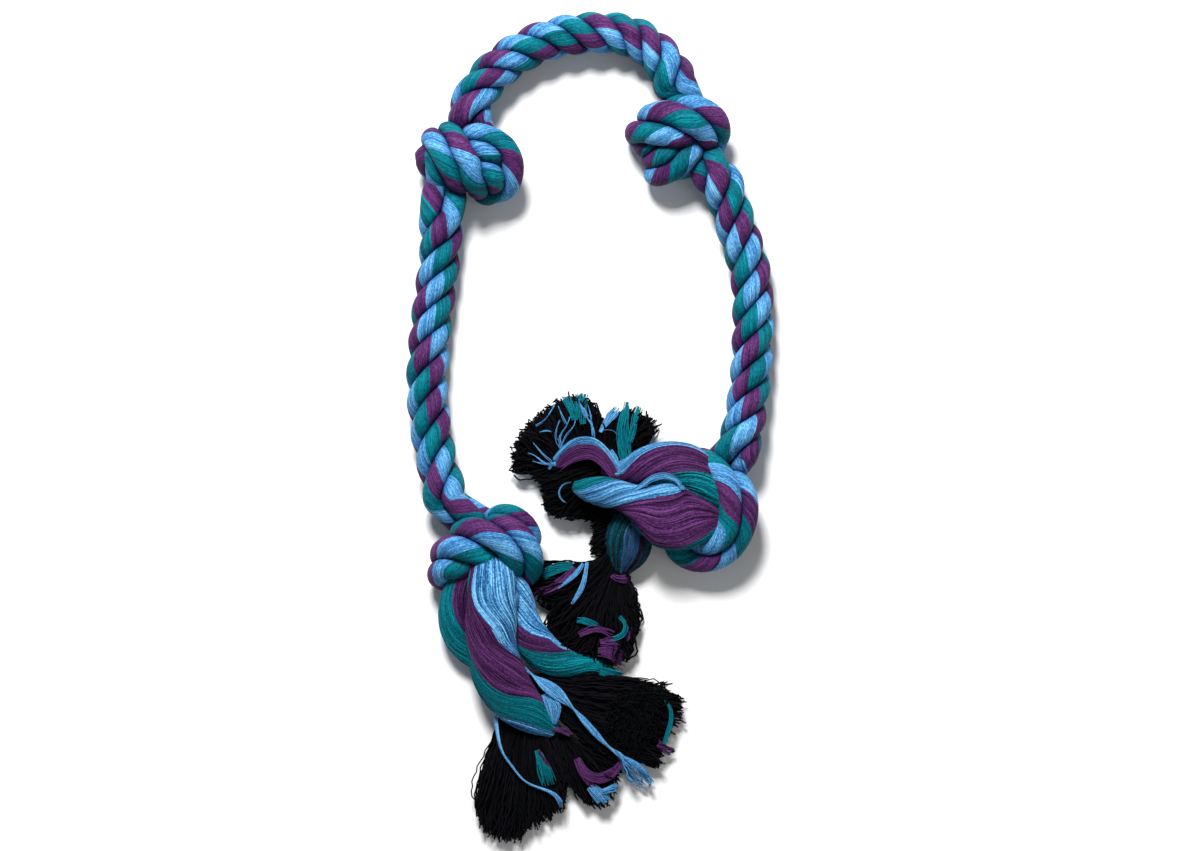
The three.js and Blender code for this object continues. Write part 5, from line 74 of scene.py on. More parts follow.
RIGHT_NEAR = [(1274.7, 1472.2), (1341.0, 1538.0), (1173.9, 1372.7)]



def mm(x, y, z):
    """A pixel of the 1200 x 851 frame and a height in pixels, as millimetres in the frame."""
    return np.array([(x - PX0) * SCALE + SHIFT[0], (PY0 - y) * SCALE + SHIFT[1], z * SCALE + SHIFT[2]])


def smooth(t):
    t = np.clip(t, 0.0, 1.0)
    return t * t * (3 - 2 * t)


# ---- camera: straight above, framed as the photograph is ----
scene = bpy.context.scene
cam_data = bpy.data.cameras.new("camera")
cam = bpy.data.objects.new("camera", cam_data)
scene.collection.objects.link(cam)
CAM_H = 3.2
mid = mm(600.0, 425.5, 20.0) / 1000.0
cam.location = (mid[0], mid[1], CAM_H)
cam.rotation_euler = (0.0, 0.0, 0.0)
cam_data.sensor_fit = "HORIZONTAL"
cam_data.sensor_width = 36.0
cam_data.lens = 36.0 * (CAM_H - mid[2]) / (1200.0 * SCALE / 1000.0)
cam_data.clip_end = 50.0
scene.camera = cam


# ---- smooth curves through points ----
def spline(points, closed_d=None):
    """Natural cubic through points against their chord lengths: returns lengths and a sampler."""
    P = np.asarray(points, float)
    d = np.r_[0.0, np.cumsum(np.maximum(np.linalg.norm(np.diff(P[:, :3], axis=0), axis=1), 1e-6))] if closed_d is None else np.asarray(closed_d, float)
    n = len(d)
    if n == 2:
        return d, lambda t: P[0] + (P[1] - P[0]) * ((np.asarray(t)[:, None] - d[0]) / (d[1] - d[0]))
    h = np.diff(d)
    A = np.zeros((n, n))
    R = np.zeros((n,) + P.shape[1:])
    A[0, 0] = A[-1, -1] = 1.0
    for i in range(1, n - 1):
        A[i, i - 1], A[i, i], A[i, i + 1] = h[i - 1], 2 * (h[i - 1] + h[i]), h[i]
        R[i] = 6 * ((P[i + 1] - P[i]) / h[i] - (P[i] - P[i - 1]) / h[i - 1])
    M = np.linalg.solve(A, R)

    def at(t):
        t = np.asarray(t, float)
        i = np.clip(np.searchsorted(d, t, side="right") - 1, 0, n - 2)
        a = (t - d[i])[:, None]
        hh = h[i][:, None]
        b = hh - a
        return (M[i] * b**3 + M[i + 1] * a**3) / (6 * hh) + (P[i] / hh - M[i] * hh / 6) * b + (P[i + 1] / hh - M[i + 1] * hh / 6) * a

    return d, at


def bishop(P):
    """Tangents and the frame that turns least along P."""
    T = np.gradient(P, axis=0)
    T /= np.linalg.norm(T, axis=1, keepdims=True)
    n = np.array([0.0, 0.0, 1.0])
    n -= T[0] * (n @ T[0])
    n /= np.linalg.norm(n)
    N = np.zeros_like(P)
    N[0] = n
    for i in range(1, len(P)):
        v = np.cross(T[i - 1], T[i])
        s = float(np.linalg.norm(v))
        c = float(T[i - 1] @ T[i])
        n = N[i - 1]
        if s > 1e-9:
            k = v / s
            a = math.atan2(s, c)
            n = n * math.cos(a) + np.cross(k, n) * math.sin(a) + k * (k @ n) * (1 - math.cos(a))
        n = n - T[i] * (n @ T[i])
        N[i] = n / np.linalg.norm(n)
    return T, N, np.cross(T, N)


# ---- meshes ----
def new_mesh(name, verts_mm, faces, attrs, mat, uv=None, smooth_shade=True):
    me = bpy.data.meshes.new(name)
    v = np.ascontiguousarray(np.asarray(verts_mm, np.float32) / 1000.0)
    f = np.ascontiguousarray(faces, dtype=np.int32)
    k = f.shape[1]
    me.vertices.add(len(v))
    me.vertices.foreach_set("co", v.ravel())
    me.loops.add(f.size)
    me.loops.foreach_set("vertex_index", f.ravel())
    me.polygons.add(len(f))
    me.polygons.foreach_set("loop_start", np.arange(0, f.size, k, dtype=np.int32))
    me.polygons.foreach_set("loop_total", np.full(len(f), k, np.int32))
    me.polygons.foreach_set("use_smooth", np.full(len(f), smooth_shade, bool))
    me.update(calc_edges=True)
    for key, val in attrs.items():
        val = np.asarray(val, np.float32)
        kind = "FLOAT_VECTOR" if val.ndim == 2 else "FLOAT"
        a = me.attributes.new(key, kind, "POINT")
        a.data.foreach_set("vector" if val.ndim == 2 else "value", val.ravel())
    if uv is not None:
        layer = me.uv_layers.new(name="OFBake")
        layer.data.foreach_set("uv", np.asarray(uv, np.float32)[f.ravel()].ravel() if len(uv) == len(v) else np.asarray(uv, np.float32).ravel())
    me.materials.append(mat)
    ob = bpy.data.objects.new(name, me)
    scene.collection.objects.link(ob)
    return ob


class Batch:
    """Tubes gathered into one mesh, each with its own strip of the UV square."""

    def __init__(self):
        self.v, self.f, self.a, self.strips, self.n = [], [], {}, [], 0

    def add(self, rings, attrs, girth):
        """rings: (R, K, 3). attrs: name -> (R, K) or (R, K, 3). The first and last ring are closed with a fan."""
        R, K = rings.shape[:2]
        # the seam is doubled so that the UV strip doesn't fold back
        r = np.concatenate([rings, rings[:, :1]], 1)
        base = self.n
        i = np.arange(R - 1)[:, None] * (K + 1) + np.arange(K)[None]
        quads = np.stack([i, i + 1, i + K + 2, i + K + 1], -1).reshape(-1, 4) + base
        self.v.append(r.reshape(-1, 3))
        self.f.append(quads)
        for k, val in attrs.items():
            val = np.concatenate([val, val[:, :1]], 1)
            self.a.setdefault(k, []).append(val.reshape((-1,) + val.shape[2:]))
        length = float(np.linalg.norm(np.diff(rings.mean(1), axis=0), axis=1).sum())
        self.strips.append((base, R, K + 1, length, girth))
        self.n += R * (K + 1)

    def build(self, name, mat):
        V = np.concatenate(self.v)
        F = np.concatenate(self.f)
        A = {k: np.concatenate(x) for k, x in self.a.items()}
        uv = self.layout(len(V))
        ob = new_mesh(name, V, F, A, mat, uv)
        weld(ob, 1e-7)
        return ob

    def layout(self, count):
        """Strips side by side in the unit square, cut into columns: u runs round, v along."""
        uv = np.zeros((count, 2))
        total = sum(s[3] * (s[4] + 0.6) for s in self.strips)
        side = math.sqrt(total) * 1.12
        x = y = 0.0
        row_h = 0.0
        order = sorted(self.strips, key=lambda s: -s[3])
        place = []
        for s in order:
            w = s[4]
            if x + w > side and x > 0:
                x, y = 0.0, y + row_h
                row_h = 0.0
            place.append((s, x, y))
            x += w + 0.6
            row_h = max(row_h, s[3] + 0.6)
        W = max(max(p[1] + p[0][4] for p in place), max(p[2] + p[0][3] for p in place)) * 1.001
        for s, px, py in place:
            base, R, K, length, girth = s
            u = px + girth * np.arange(K)[None] / (K - 1) + np.zeros((R, 1))
            v = py + length * np.arange(R)[:, None] / max(1, R - 1) + np.zeros((1, K))
            uv[base : base + R * K] = np.stack([u, v], -1).reshape(-1, 2) / W
        return uv


def weld(ob, dist):
    import bmesh
    bm = bmesh.new()
    bm.from_mesh(ob.data)
    bmesh.ops.remove_doubles(bm, verts=bm.verts, dist=dist)
    edges = [e for e in bm.edges if len(e.link_faces) == 1]
    if edges:
        # the cut ends are flat, so they don't bend the shading of the yarns that run into them
        for f in bmesh.ops.holes_fill(bm, edges=edges, sides=0)["faces"]:
            f.smooth = False
            for e in f.edges:
                e.smooth = False
    bm.to_mesh(ob.data)
    bm.free()
    ob.data.update()


rng = np.random.default_rng(7)


def hashed(n, seed):
    return np.random.default_rng(seed).random(n)


# ---- rope strands ----
class Strand:
    def __init__(self, k, data):
        pts = np.array(data["p"], float)
        d, at = spline(pts)
        psi_d = np.array(data["d"], float) * d[-1] / data["d"][-1]
        n = int(round(d[-1] / RINGS))
        self.t = np.linspace(0, d[-1], n + 1)
        self.C = at(self.t)
        self.T, self.N, self.B = bishop(self.C)
        self.psi = np.interp(self.t, psi_d, data["psi"])
        self.k = k
        self.scale = d[-1] / data["d"][-1]
        # strands lie fatter in the knots, where they aren't laid round each other
        inside = np.zeros(n + 1)
        end = d[-1] / self.scale
        for lo, hi in ((-99.0, LEFT_NEAR[k][0]), (LEFT_NEAR[k][1], ARCH_NEAR[k][0]), (ARCH_NEAR[k][1], RIGHT_NEAR[k][0]), (RIGHT_NEAR[k][1], end + 99.0)):
            q = self.t / self.scale
            inside = np.maximum(inside, smooth((q - lo) / 16.0) * smooth((hi - q) / 16.0))
        self.flat = FREE_R + (KNOT_R - FREE_R) * inside

    def index(self, length):
        return int(round(float(np.interp(length * self.scale, self.t, np.arange(len(self.t))))))


strands = [Strand(k, s) for k, s in enumerate(STRANDS)]


def press_radii():
    """How far each strand's surface reaches in each direction before it meets a neighbour."""
    allC = np.concatenate([s.C for s in strands])
    own = np.concatenate([np.full(len(s.C), s.k) for s in strands])
    pos = np.concatenate([s.t for s in strands])
    flat = np.concatenate([s.flat for s in strands])
    th = np.linspace(0, 2 * np.pi, AROUND, endpoint=False)
    for s in strands:
        n = len(s.C)
        dirs = np.cos(th)[None, :, None] * s.N[:, None] + np.sin(th)[None, :, None] * s.B[:, None]
        rad = np.repeat(s.flat[:, None], AROUND, 1)
        near = np.full((n, AROUND), 9.0)
        for a in range(0, n, 200):
            b = min(n, a + 200)
            D = allC[None] - s.C[a:b, None]
            dist = np.linalg.norm(D, axis=2)
            same = (own[None] == s.k) & (np.abs(pos[None] - s.t[a:b, None]) < 26.0)
            ok = (dist < 2 * KNOT_R + 2.0) & ~same
            for i in range(b - a):
                j = np.nonzero(ok[i])[0]
                if not len(j):
                    continue
                if len(j) > 70:
                    j = j[np.argsort(dist[i, j])[:70]]
                v = D[i, j]
                f = s.flat[a + i]
                proj = dirs[a + i] @ v.T
                # the plane between two strands of unlike size lies nearer to the thinner one
                lim = np.where(proj > 0.05, ((v * v).sum(1) + f * f - flat[j] ** 2)[None] / (2 * np.maximum(proj, 0.05)), 99.0)
                m = lim.min(1)
                # round the edge of the flat, as soft yarn does
                r = -0.30 * np.log(np.exp(-f / 0.30) + np.exp(-np.maximum(m, 0.6) / 0.30))
                rad[a + i] = r
                away = np.linalg.norm((r[:, None] * dirs[a + i])[:, None] - v[None], axis=2) - flat[j][None]
                near[a + i] = away.min(1)
        # smooth round and along
        for _ in range(2):
            rad = 0.5 * rad + 0.25 * (np.roll(rad, 1, 1) + np.roll(rad, -1, 1))
        k = np.array([1, 2, 3, 2, 1], float)
        k /= k.sum()
        both = []
        for x in (rad, near):
            pad = np.pad(x, ((2, 2), (0, 0)), mode="edge")
            both.append(sum(k[q] * pad[q : q + n] for q in range(5)))
        s.rad, s.near = both
        s.dirs = dirs
        s.th = th


press_radii()


def yarn_ridges(sec, along, amount, count, seed, wander=0.35):
    """Fine ridges that follow the yarns: sec is the colour turn (0..3), along is millimetres."""
    g = np.random.default_rng(seed)
    n = int(count)
    ph = g.random(n) * 6.28
    per = 18 + 30 * g.random(n)
    hgt = 0.4 + 0.9 * g.random(n)
    x = (sec / 3.0) % 1.0 * n
    i = np.floor(x).astype(int) % n
    f = x - np.floor(x)
    shape = np.sin(np.pi * f) ** 0.8
    live = 0.75 + wander * np.sin(along / per[i] * 6.28 + ph[i])
    return amount * (shape * hgt[i] * live - 0.45)


def strand_rings(s, i0, i1):
    sl = slice(i0, i1 + 1)
    u = s.th[None] / (2 * np.pi) + s.psi[sl][:, None]
    sec = (u % 1.0) * 3.0
    along = s.t[sl][:, None] + 0 * u
    # a yarn that runs into a crease is squeezed flat there
    crease = np.clip(1 - np.maximum(s.near[sl], 0) / 1.7, 0, 1)
    r = s.rad[sl] + yarn_ridges(sec, along, 0.20, 30, 40 + s.k) * (1 - 0.7 * crease)
    rings = s.C[sl][:, None] + r[..., None] * s.dirs[sl]
    rings[..., 2] = np.maximum(rings[..., 2], 0.15)
    ang = u * 2 * np.pi
    # the second attribute is painted shade, darkest in the creases where a neighbouring strand lies close
    return rings, {"yarn": np.stack([np.cos(ang), np.sin(ang), along / 100.0], -1), "shade_and_tint": np.clip(1 - np.maximum(s.near[sl], 0) / 6.5, 0, 1) ** 1.5}


# ---- materials ----
def nodes_of(mat):
    mat.use_nodes = True
    nt = mat.node_tree
    bsdf = next(n for n in nt.nodes if n.type == "BSDF_PRINCIPLED")
    return nt, bsdf


def N(nt, kind, **props):
    n = nt.nodes.new(kind)
    for k, v in props.items():
        setattr(n, k, v)
    return n


def maths(nt, op, a, b=None, clamp=False):
    n = N(nt, "ShaderNodeMath", operation=op, use_clamp=clamp)
    for i, x in enumerate((a, b)):
        if x is None:
            continue
        if isinstance(x, (int, float)):
            n.inputs[i].default_value = x
        else:
            nt.links.new(x, n.inputs[i])
    return n.outputs[0]


def mix_rgb(nt, fac, a, b, blend="MIX"):
    n = N(nt, "ShaderNodeMix", data_type="RGBA", blend_type=blend)
    for sock, x in ((n.inputs[0], fac), (n.inputs[6], a), (n.inputs[7], b)):
        if isinstance(x, (int, float)):
            sock.default_value = x
        elif isinstance(x, tuple):
            sock.default_value = x if len(x) == 4 else (*x, 1.0)
        else:
            nt.links.new(x, sock)
    return n.outputs[2]


def ramp(nt, fac, stops, mode="LINEAR"):
    n = N(nt, "ShaderNodeValToRGB")
    n.color_ramp.interpolation = mode
    el = n.color_ramp.elements
    while len(el) > 1:
        el.remove(el[-1])
    el[0].position, el[0].color = stops[0][0], (*stops[0][1], 1.0)
    for p, c in stops[1:]:
        e = el.new(p)
        e.color = (*c, 1.0)
    nt.links.new(fac, n.inputs[0])
    return n.outputs[0]


# each cover colour from its shade to its satin highlight
PURPLE = ((0.012, 0.002, 0.018), (0.056, 0.0135, 0.076), (0.178, 0.052, 0.216))
TEAL = ((0.000, 0.016, 0.025), (0.000, 0.098, 0.136), (0.000, 0.275, 0.335))
BLUE = ((0.004, 0.045, 0.170), (0.040, 0.188, 0.425), (0.235, 0.610, 0.940))


def cover_material(name, gaps_and_shade_colour=(0.004, 0.004, 0.006)):
    mat = bpy.data.materials.new(name)
    nt, bsdf = nodes_of(mat)
    at = N(nt, "ShaderNodeAttribute", attribute_name="yarn")
    sep = N(nt, "ShaderNodeSeparateXYZ")
    nt.links.new(at.outputs["Vector"], sep.inputs[0])
    cx, cy, along = sep.outputs
    # where along the strand a sector's edge wanders by a yarn or two
    comb = N(nt, "ShaderNodeCombineXYZ")
    nt.links.new(maths(nt, "MULTIPLY", cx, 1.0), comb.inputs[0])
    nt.links.new(maths(nt, "MULTIPLY", cy, 1.0), comb.inputs[1])
    nt.links.new(maths(nt, "MULTIPLY", along, 6.0), comb.inputs[2])
    wob = N(nt, "ShaderNodeTexNoise", noise_dimensions="3D")
    wob.inputs["Scale"].default_value = 2.2
    wob.inputs["Detail"].default_value = 2.0
    nt.links.new(comb.outputs[0], wob.inputs["Vector"])
    turn = maths(nt, "DIVIDE", maths(nt, "ARCTAN2", cy, cx), 6.283185)
    turn = maths(nt, "ADD", turn, maths(nt, "MULTIPLY", maths(nt, "SUBTRACT", wob.outputs["Fac"], 0.5), 0.030))
    turn = maths(nt, "FRACT", maths(nt, "ADD", turn, 1.0))
    # filament streaks: noise squeezed round the strand and drawn out along it
    def streak(round_scale, along_scale, detail=3.0):
        c = N(nt, "ShaderNodeCombineXYZ")
        nt.links.new(maths(nt, "MULTIPLY", cx, round_scale), c.inputs[0])
        nt.links.new(maths(nt, "MULTIPLY", cy, round_scale), c.inputs[1])
        nt.links.new(maths(nt, "MULTIPLY", along, along_scale), c.inputs[2])
        n = N(nt, "ShaderNodeTexNoise", noise_dimensions="3D")
        n.inputs["Scale"].default_value = 1.0
        n.inputs["Detail"].default_value = detail
        n.inputs["Roughness"].default_value = 0.6
        nt.links.new(c.outputs[0], n.inputs["Vector"])
        return n.outputs["Fac"]
    fine = streak(20.0, 3.5, 2.0)
    mid_ = streak(6.5, 2.5, 2.0)
    broad = streak(1.6, 2.2, 1.0)
    fleck = streak(12.0, 80.0, 3.0)
    tone = maths(nt, "ADD", maths(nt, "MULTIPLY", fine, 0.36), maths(nt, "ADD", maths(nt, "MULTIPLY", mid_, 0.14), maths(nt, "ADD", maths(nt, "MULTIPLY", broad, 0.14), maths(nt, "MULTIPLY", fleck, 0.36))))
    tone = maths(nt, "ADD", maths(nt, "MULTIPLY", maths(nt, "SUBTRACT", tone, 0.5), 4.6), 0.56)
    # loose strands show thin dark lines between their yarns: the radius of the yarn vector is 1 on laid rope
    size = maths(nt, "SQRT", maths(nt, "ADD", maths(nt, "MULTIPLY", cx, cx), maths(nt, "MULTIPLY", cy, cy)))
    loose = maths(nt, "MULTIPLY", maths(nt, "SUBTRACT", size, 1.0), 1.3, True)
    thin = streak(9.0, 1.6, 1.0)
    line = maths(nt, "SUBTRACT", 1.0, maths(nt, "MULTIPLY", maths(nt, "ABSOLUTE", maths(nt, "SUBTRACT", thin, 0.5)), 13.0, True), True)
    shine = streak(13.0, 2.0, 1.0)
    glint = maths(nt, "MULTIPLY", maths(nt, "SUBTRACT", shine, 0.56), 6.0, True)
    tone = maths(nt, "ADD", tone, maths(nt, "MULTIPLY", loose, maths(nt, "SUBTRACT", maths(nt, "MULTIPLY", glint, 0.55), maths(nt, "MULTIPLY", line, 0.50))), True)

    def three_tone(c):
        return ramp(nt, tone, [(0.0, c[0]), (0.5, c[1]), (1.0, c[2])])
    p, t, b = three_tone(PURPLE), three_tone(TEAL), three_tone(BLUE)
    is_b = maths(nt, "GREATER_THAN", turn, 1 / 3)
    is_t = maths(nt, "GREATER_THAN", turn, 2 / 3)
    col = mix_rgb(nt, is_t, mix_rgb(nt, is_b, p, b), t)
    # painted shade: the colour is multiplied towards dark blue near the creases between rope strands, and over a loft
    # by its shade value
    shade_and_tint = N(nt, "ShaderNodeAttribute", attribute_name="shade_and_tint")
    col = mix_rgb(nt, maths(nt, "MULTIPLY", shade_and_tint.outputs["Fac"], 0.80), col, (0.16, 0.30, 0.52), "MULTIPLY")
    # near-black in the gaps between loose yarns, plus painted shade mixed towards near-black over a loft by its dim
    # value
    gaps_and_shade = N(nt, "ShaderNodeAttribute", attribute_name="gaps_and_shade")
    col = mix_rgb(nt, gaps_and_shade.outputs["Fac"], col, gaps_and_shade_colour)
    nt.links.new(col, bsdf.inputs["Base Color"])
    rough = maths(nt, "ADD", 0.50, maths(nt, "MULTIPLY", fine, 0.22))
    nt.links.new(rough, bsdf.inputs["Roughness"])
    bsdf.inputs["Sheen Weight"].default_value = 0.01
    bsdf.inputs["Sheen Roughness"].default_value = 0.45
    bsdf.inputs["Specular IOR Level"].default_value = 0.07
    h = maths(nt, "ADD", maths(nt, "MULTIPLY", fine, 0.6), maths(nt, "ADD", maths(nt, "MULTIPLY", mid_, 0.5), maths(nt, "MULTIPLY", fleck, 0.35)))
    h = maths(nt, "SUBTRACT", h, maths(nt, "MULTIPLY", maths(nt, "MULTIPLY", loose, line), 0.5))
    bump = N(nt, "ShaderNodeBump")
    bump.inputs["Strength"].default_value = 0.75
    bump.inputs["Distance"].default_value = 0.0009
    nt.links.new(h, bump.inputs["Height"])
    nt.links.new(bump.outputs[0], bsdf.inputs["Normal"])
    return mat


def core_material(name):
    mat = bpy.data.materials.new(name)
    nt, bsdf = nodes_of(mat)
    at = N(nt, "ShaderNodeAttribute", attribute_name="yarn")
    sep = N(nt, "ShaderNodeSeparateXYZ")
    nt.links.new(at.outputs["Vector"], sep.inputs[0])
    comb = N(nt, "ShaderNodeCombineXYZ")
    nt.links.new(maths(nt, "MULTIPLY", sep.outputs[0], 9.0), comb.inputs[0])
    nt.links.new(maths(nt, "MULTIPLY", sep.outputs[1], 9.0), comb.inputs[1])
    nt.links.new(maths(nt, "MULTIPLY", sep.outputs[2], 30.0), comb.inputs[2])
    n = N(nt, "ShaderNodeTexNoise", noise_dimensions="3D")
    n.inputs["Scale"].default_value = 1.0
    n.inputs["Detail"].default_value = 3.0
    nt.links.new(comb.outputs[0], n.inputs["Vector"])
    tone = maths(nt, "MULTIPLY", maths(nt, "SUBTRACT", n.outputs["Fac"], 0.42), 2.6, True)
    # on the core yarns the same attribute tints a random few yarns a little purple
    tint = N(nt, "ShaderNodeAttribute", attribute_name="shade_and_tint")
    col = mix_rgb(nt, tone, (0.0003, 0.0005, 0.0007), (0.0048, 0.0062, 0.0074))
    col = mix_rgb(nt, tint.outputs["Fac"], col, (0.012, 0.006, 0.015))
    nt.links.new(col, bsdf.inputs["Base Color"])
    nt.links.new(maths(nt, "ADD", 0.72, maths(nt, "MULTIPLY", n.outputs["Fac"], 0.2)), bsdf.inputs["Roughness"])
    bsdf.inputs["Specular IOR Level"].default_value = 0.05
    bump = N(nt, "ShaderNodeBump")
    bump.inputs["Strength"].default_value = 0.5
    bump.inputs["Distance"].default_value = 0.0003
    nt.links.new(n.outputs["Fac"], bump.inputs["Height"])
    nt.links.new(bump.outputs[0], bsdf.inputs["Normal"])
    return mat


COVER = cover_material("cover_yarn")
CORE = core_material("core_yarn")

# ---- the rope: three free stretches and four knots ----
PAST_LEG, PAST_ARCH = 9.5, 16.0      # strand length that a free stretch's mesh runs on into each knot
cuts = []
for s in strands:
    k = s.k
    cuts.append({
        "start": 0,
        "l1": s.index(LEFT_NEAR[k][0] - PAST_LEG), "l0": s.index(LEFT_NEAR[k][1] + PAST_LEG),
        "a0": s.index(ARCH_NEAR[k][0] - PAST_ARCH), "a1": s.index(ARCH_NEAR[k][1] + PAST_ARCH),
        "r0": s.index(RIGHT_NEAR[k][0] - PAST_LEG), "r1": s.index(RIGHT_NEAR[k][1] + PAST_LEG),
        "end": len(s.C) - 1})


def rope_piece(name, a, b):
    batch = Batch()
    for s in strands:
        i0, i1 = cuts[s.k][a], cuts[s.k][b]
        rings, attrs = strand_rings(s, i0, i1)
        batch.add(rings, attrs, 2 * math.pi * 6.4)
    ob = batch.build(name, COVER)
    return ob


def three(*names):
    return [f"{n}_strand_{i}" for n in names for i in (1, 2, 3)]


def along(centre, a, b, n=None):
    d, at = spline(centre)
    t = np.linspace(a, b, n or max(8, int((b - a) / 5)))
    return at(t)


def place(centre, s):
    return tuple(float(c) / 1000 for c in along(centre, s, s + 0.1, 2)[0])


def cord(a, b):
    """The middle line of a free stretch of rope, along its three strands; it is worked out and not used."""
    f = np.linspace(0, 1, 40)
    path = np.mean([np.array([np.interp(s.t[cuts[s.k][a]] + f * (s.t[cuts[s.k][b]] - s.t[cuts[s.k][a]]), s.t, s.C[:, c]) for c in range(3)]).T for s in strands], 0)


left_leg = rope_piece("left_leg_rope", "l1", "l0")
arch = rope_piece("arch_rope", "a0", "a1")
right_leg = rope_piece("right_leg_rope", "r0", "r1")
place(LEFT_LEG, 48)
place(LEFT_LEG, 148)
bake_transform(left_leg)
place(ARCH, 50)
place(ARCH, 145)
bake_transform(arch)
place(RIGHT_LEG, 48)
place(RIGHT_LEG, 148)
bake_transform(right_leg)
cord("l1", "l0")
cord("a0", "a1")
cord("r0", "r1")
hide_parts(*three("left_leg_upper", "left_leg_lower"))
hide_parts(*three("arch_left", "arch_right"))
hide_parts(*three("right_leg_upper", "right_leg_lower"))

lmid = rope_piece("left_middle_knot", "l0", "a0")
rmid = rope_piece("right_middle_knot", "a1", "r0")
lend = rope_piece("left_end_knot", "start", "l1")
rend = rope_piece("right_end_knot", "r1", "end")
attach(lmid, "root")
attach(rmid, "right_side")
place(LEFT_LEG, 178)
place(LEFT_LEG, 193)
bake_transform(lend)
place(RIGHT_LEG, 178)
place(RIGHT_LEG, 193)
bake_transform(rend)
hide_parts(*three("left_middle_knot"))
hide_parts(*three("right_middle_knot"))
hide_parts(*three("left_end_knot"))
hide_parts(*three("right_end_knot"))


# ---- unlaid strands: lofts whose yarns follow the colour sectors ----
def loft(name_seed, rows, first, backward=False, ridges=46, amount=0.34, around=200, gaps=10, step=1.0, shade=0.0, dim=0.0, fold=(0.0, 0.0)):
    """rows: (x, y, z, half width, half height, a0, a1, a2), all in photograph pixels and degrees.
    The angle runs from the right-hand side of the way the strand goes, over the top, to its left.
    a0, a1 and a2 are where its three colour sectors begin. first is the colour turn of the first one."""
    R = np.array(rows, float)
    P = np.array([mm(*r[:3]) for r in R])
    rest = np.c_[R[:, 3:5] * SCALE, np.radians(R[:, 5:8])]
    d, at = spline(np.c_[P, rest])
    n = int(d[-1] / step) + 1
    t = np.linspace(0, d[-1], n)
    X = at(t)
    C, w, h, A = X[:, :3], np.maximum(X[:, 3], 0.8), np.maximum(X[:, 4], 0.8), X[:, 5:8]
    T = np.gradient(C, axis=0)
    T /= np.linalg.norm(T, axis=1, keepdims=True)
    S = np.cross(T, [0, 0, 1.0])
    S /= np.linalg.norm(S, axis=1, keepdims=True)
    U = np.cross(S, T)
    phi = np.linspace(0, 2 * np.pi, around, endpoint=False)
    sec = np.zeros((n, around))
    for i in range(n):
        a0, a1, a2 = A[i]
        x = (phi - a0) % (2 * np.pi)
        sec[i] = np.interp(x, [0, (a1 - a0), (a2 - a0), 2 * np.pi], [0, 1, 2, 3])
    sgn = -1.0 if backward else 1.0
    turn = (first + sgn * sec / 3.0) % 1.0
    al = t[:, None] + 0 * turn
    g = np.random.default_rng(1000 + name_seed)
    # where the strand comes out of its knot its yarns fold over and run slantwise
    slant = fold[1] * np.maximum(0, fold[0] - al)
    ridge = yarn_ridges((turn + slant) * 3.0, al, amount, ridges, 300 + name_seed) * (1 + 0.6 * np.clip(slant * 8, 0, 1))
    # broader folds
    for _ in range(3):
        q, ph, pr = g.integers(2, 6), g.random() * 6.28, 30 + 40 * g.random()
        ridge = ridge + 0.28 * amount * np.sin(2 * np.pi * q * turn + ph + al / pr * 6.28 * 0.3)
    gaps_and_shade = np.zeros((n, around))
    for _ in range(gaps):
        c = g.random()
        s0 = d[-1] * (0.08 + 0.8 * g.random())
        ln = 9 + 22 * g.random() ** 2
        wd = 0.0016 + 0.0042 * g.random() ** 2
        e = 1 - ((al - s0) / ln) ** 2
        lens = np.where(e > 0, np.sqrt(np.maximum(e, 0)), 0)
        dt = (turn - c - 0.004 * np.sin(al / 9.0) + 0.5) % 1.0 - 0.5
        m = np.clip(1.4 - np.abs(dt) / (wd * np.maximum(lens, 1e-3)), 0, 1) * (lens > 0)
        gaps_and_shade = np.maximum(gaps_and_shade, m)
    off = ridge - gaps_and_shade * 1.0
    # a section that is an ellipse, with its ridges standing off along the normal
    cx, sy = np.cos(phi)[None], np.sin(phi)[None]
    nx, ny = cx * h[:, None], sy * w[:, None]
    nn = np.sqrt(nx**2 + ny**2)
    ex = w[:, None] * cx + off * nx / nn
    ey = h[:, None] * sy + off * ny / nn
    rings = C[:, None] + ex[..., None] * S[:, None] + ey[..., None] * U[:, None]
    rings[..., 2] = np.maximum(rings[..., 2], 0.25)
    ang = turn * 2 * np.pi
    girth = float(np.pi * (w.mean() + h.mean()))
    m = 2.1 * float(np.clip((w.mean() + h.mean()) / 24.0, 0.7, 1.15))
    # shade and dim paint shade over the whole loft: shade multiplies its colour darker, dim mixes it towards near-black
    return rings, {"yarn": np.stack([m * np.cos(ang), m * np.sin(ang), al / 100.0], -1), "shade_and_tint": np.full((n, around), shade), "gaps_and_shade": np.maximum(gaps_and_shade * 0.9, dim)}, girth


def one(name, mat, items):
    b = Batch()
    for rings, attrs, girth in items:
        attrs.setdefault("gaps_and_shade", np.zeros(rings.shape[:2]))
        b.add(rings, attrs, girth)
    ob = b.build(name, mat)
    return ob


# turn at the start of each colour's sector: purple 0, blue 1/3, teal 2/3
P0, B0, T0 = 0.0, 1 / 3, 2 / 3
# each row: x, y, z, half width, half height, a0, a1, a2
LT_A = [(476, 566, 34, 10, 9, -40, 40, 150), (465, 578, 32, 13, 11, -30, 62, 170), (456, 598, 26, 15, 13, -30, 80, 190), (453, 620, 22, 14, 13, -30, 110, 215),
        (459, 641, 18, 13, 12, -20, 150, 240), (472, 656, 14, 11, 10, 0, 190, 270), (492, 668, 12, 9, 9, 20, 200, 290)]
LT_B = [(494, 560, 42, 20, 12, -100, 0, 30), (493, 575, 46, 23, 14, -80, 18, 32), (492, 598, 44, 24.5, 15, -60, 0, 40), (491, 622, 40, 26, 15, -50, -10, 88),
        (492, 645, 36, 25, 15, -40, 20, 118), (497, 668, 33, 26, 15, -30, 50, 176), (508, 690, 29, 26, 14, 8, 85, 205),
        (523, 707, 25, 22, 12, 50, 130, 235), (540, 721, 20, 15, 9, 68, 160, 260), (554, 731, 14, 8, 6, 80, 170, 270)]
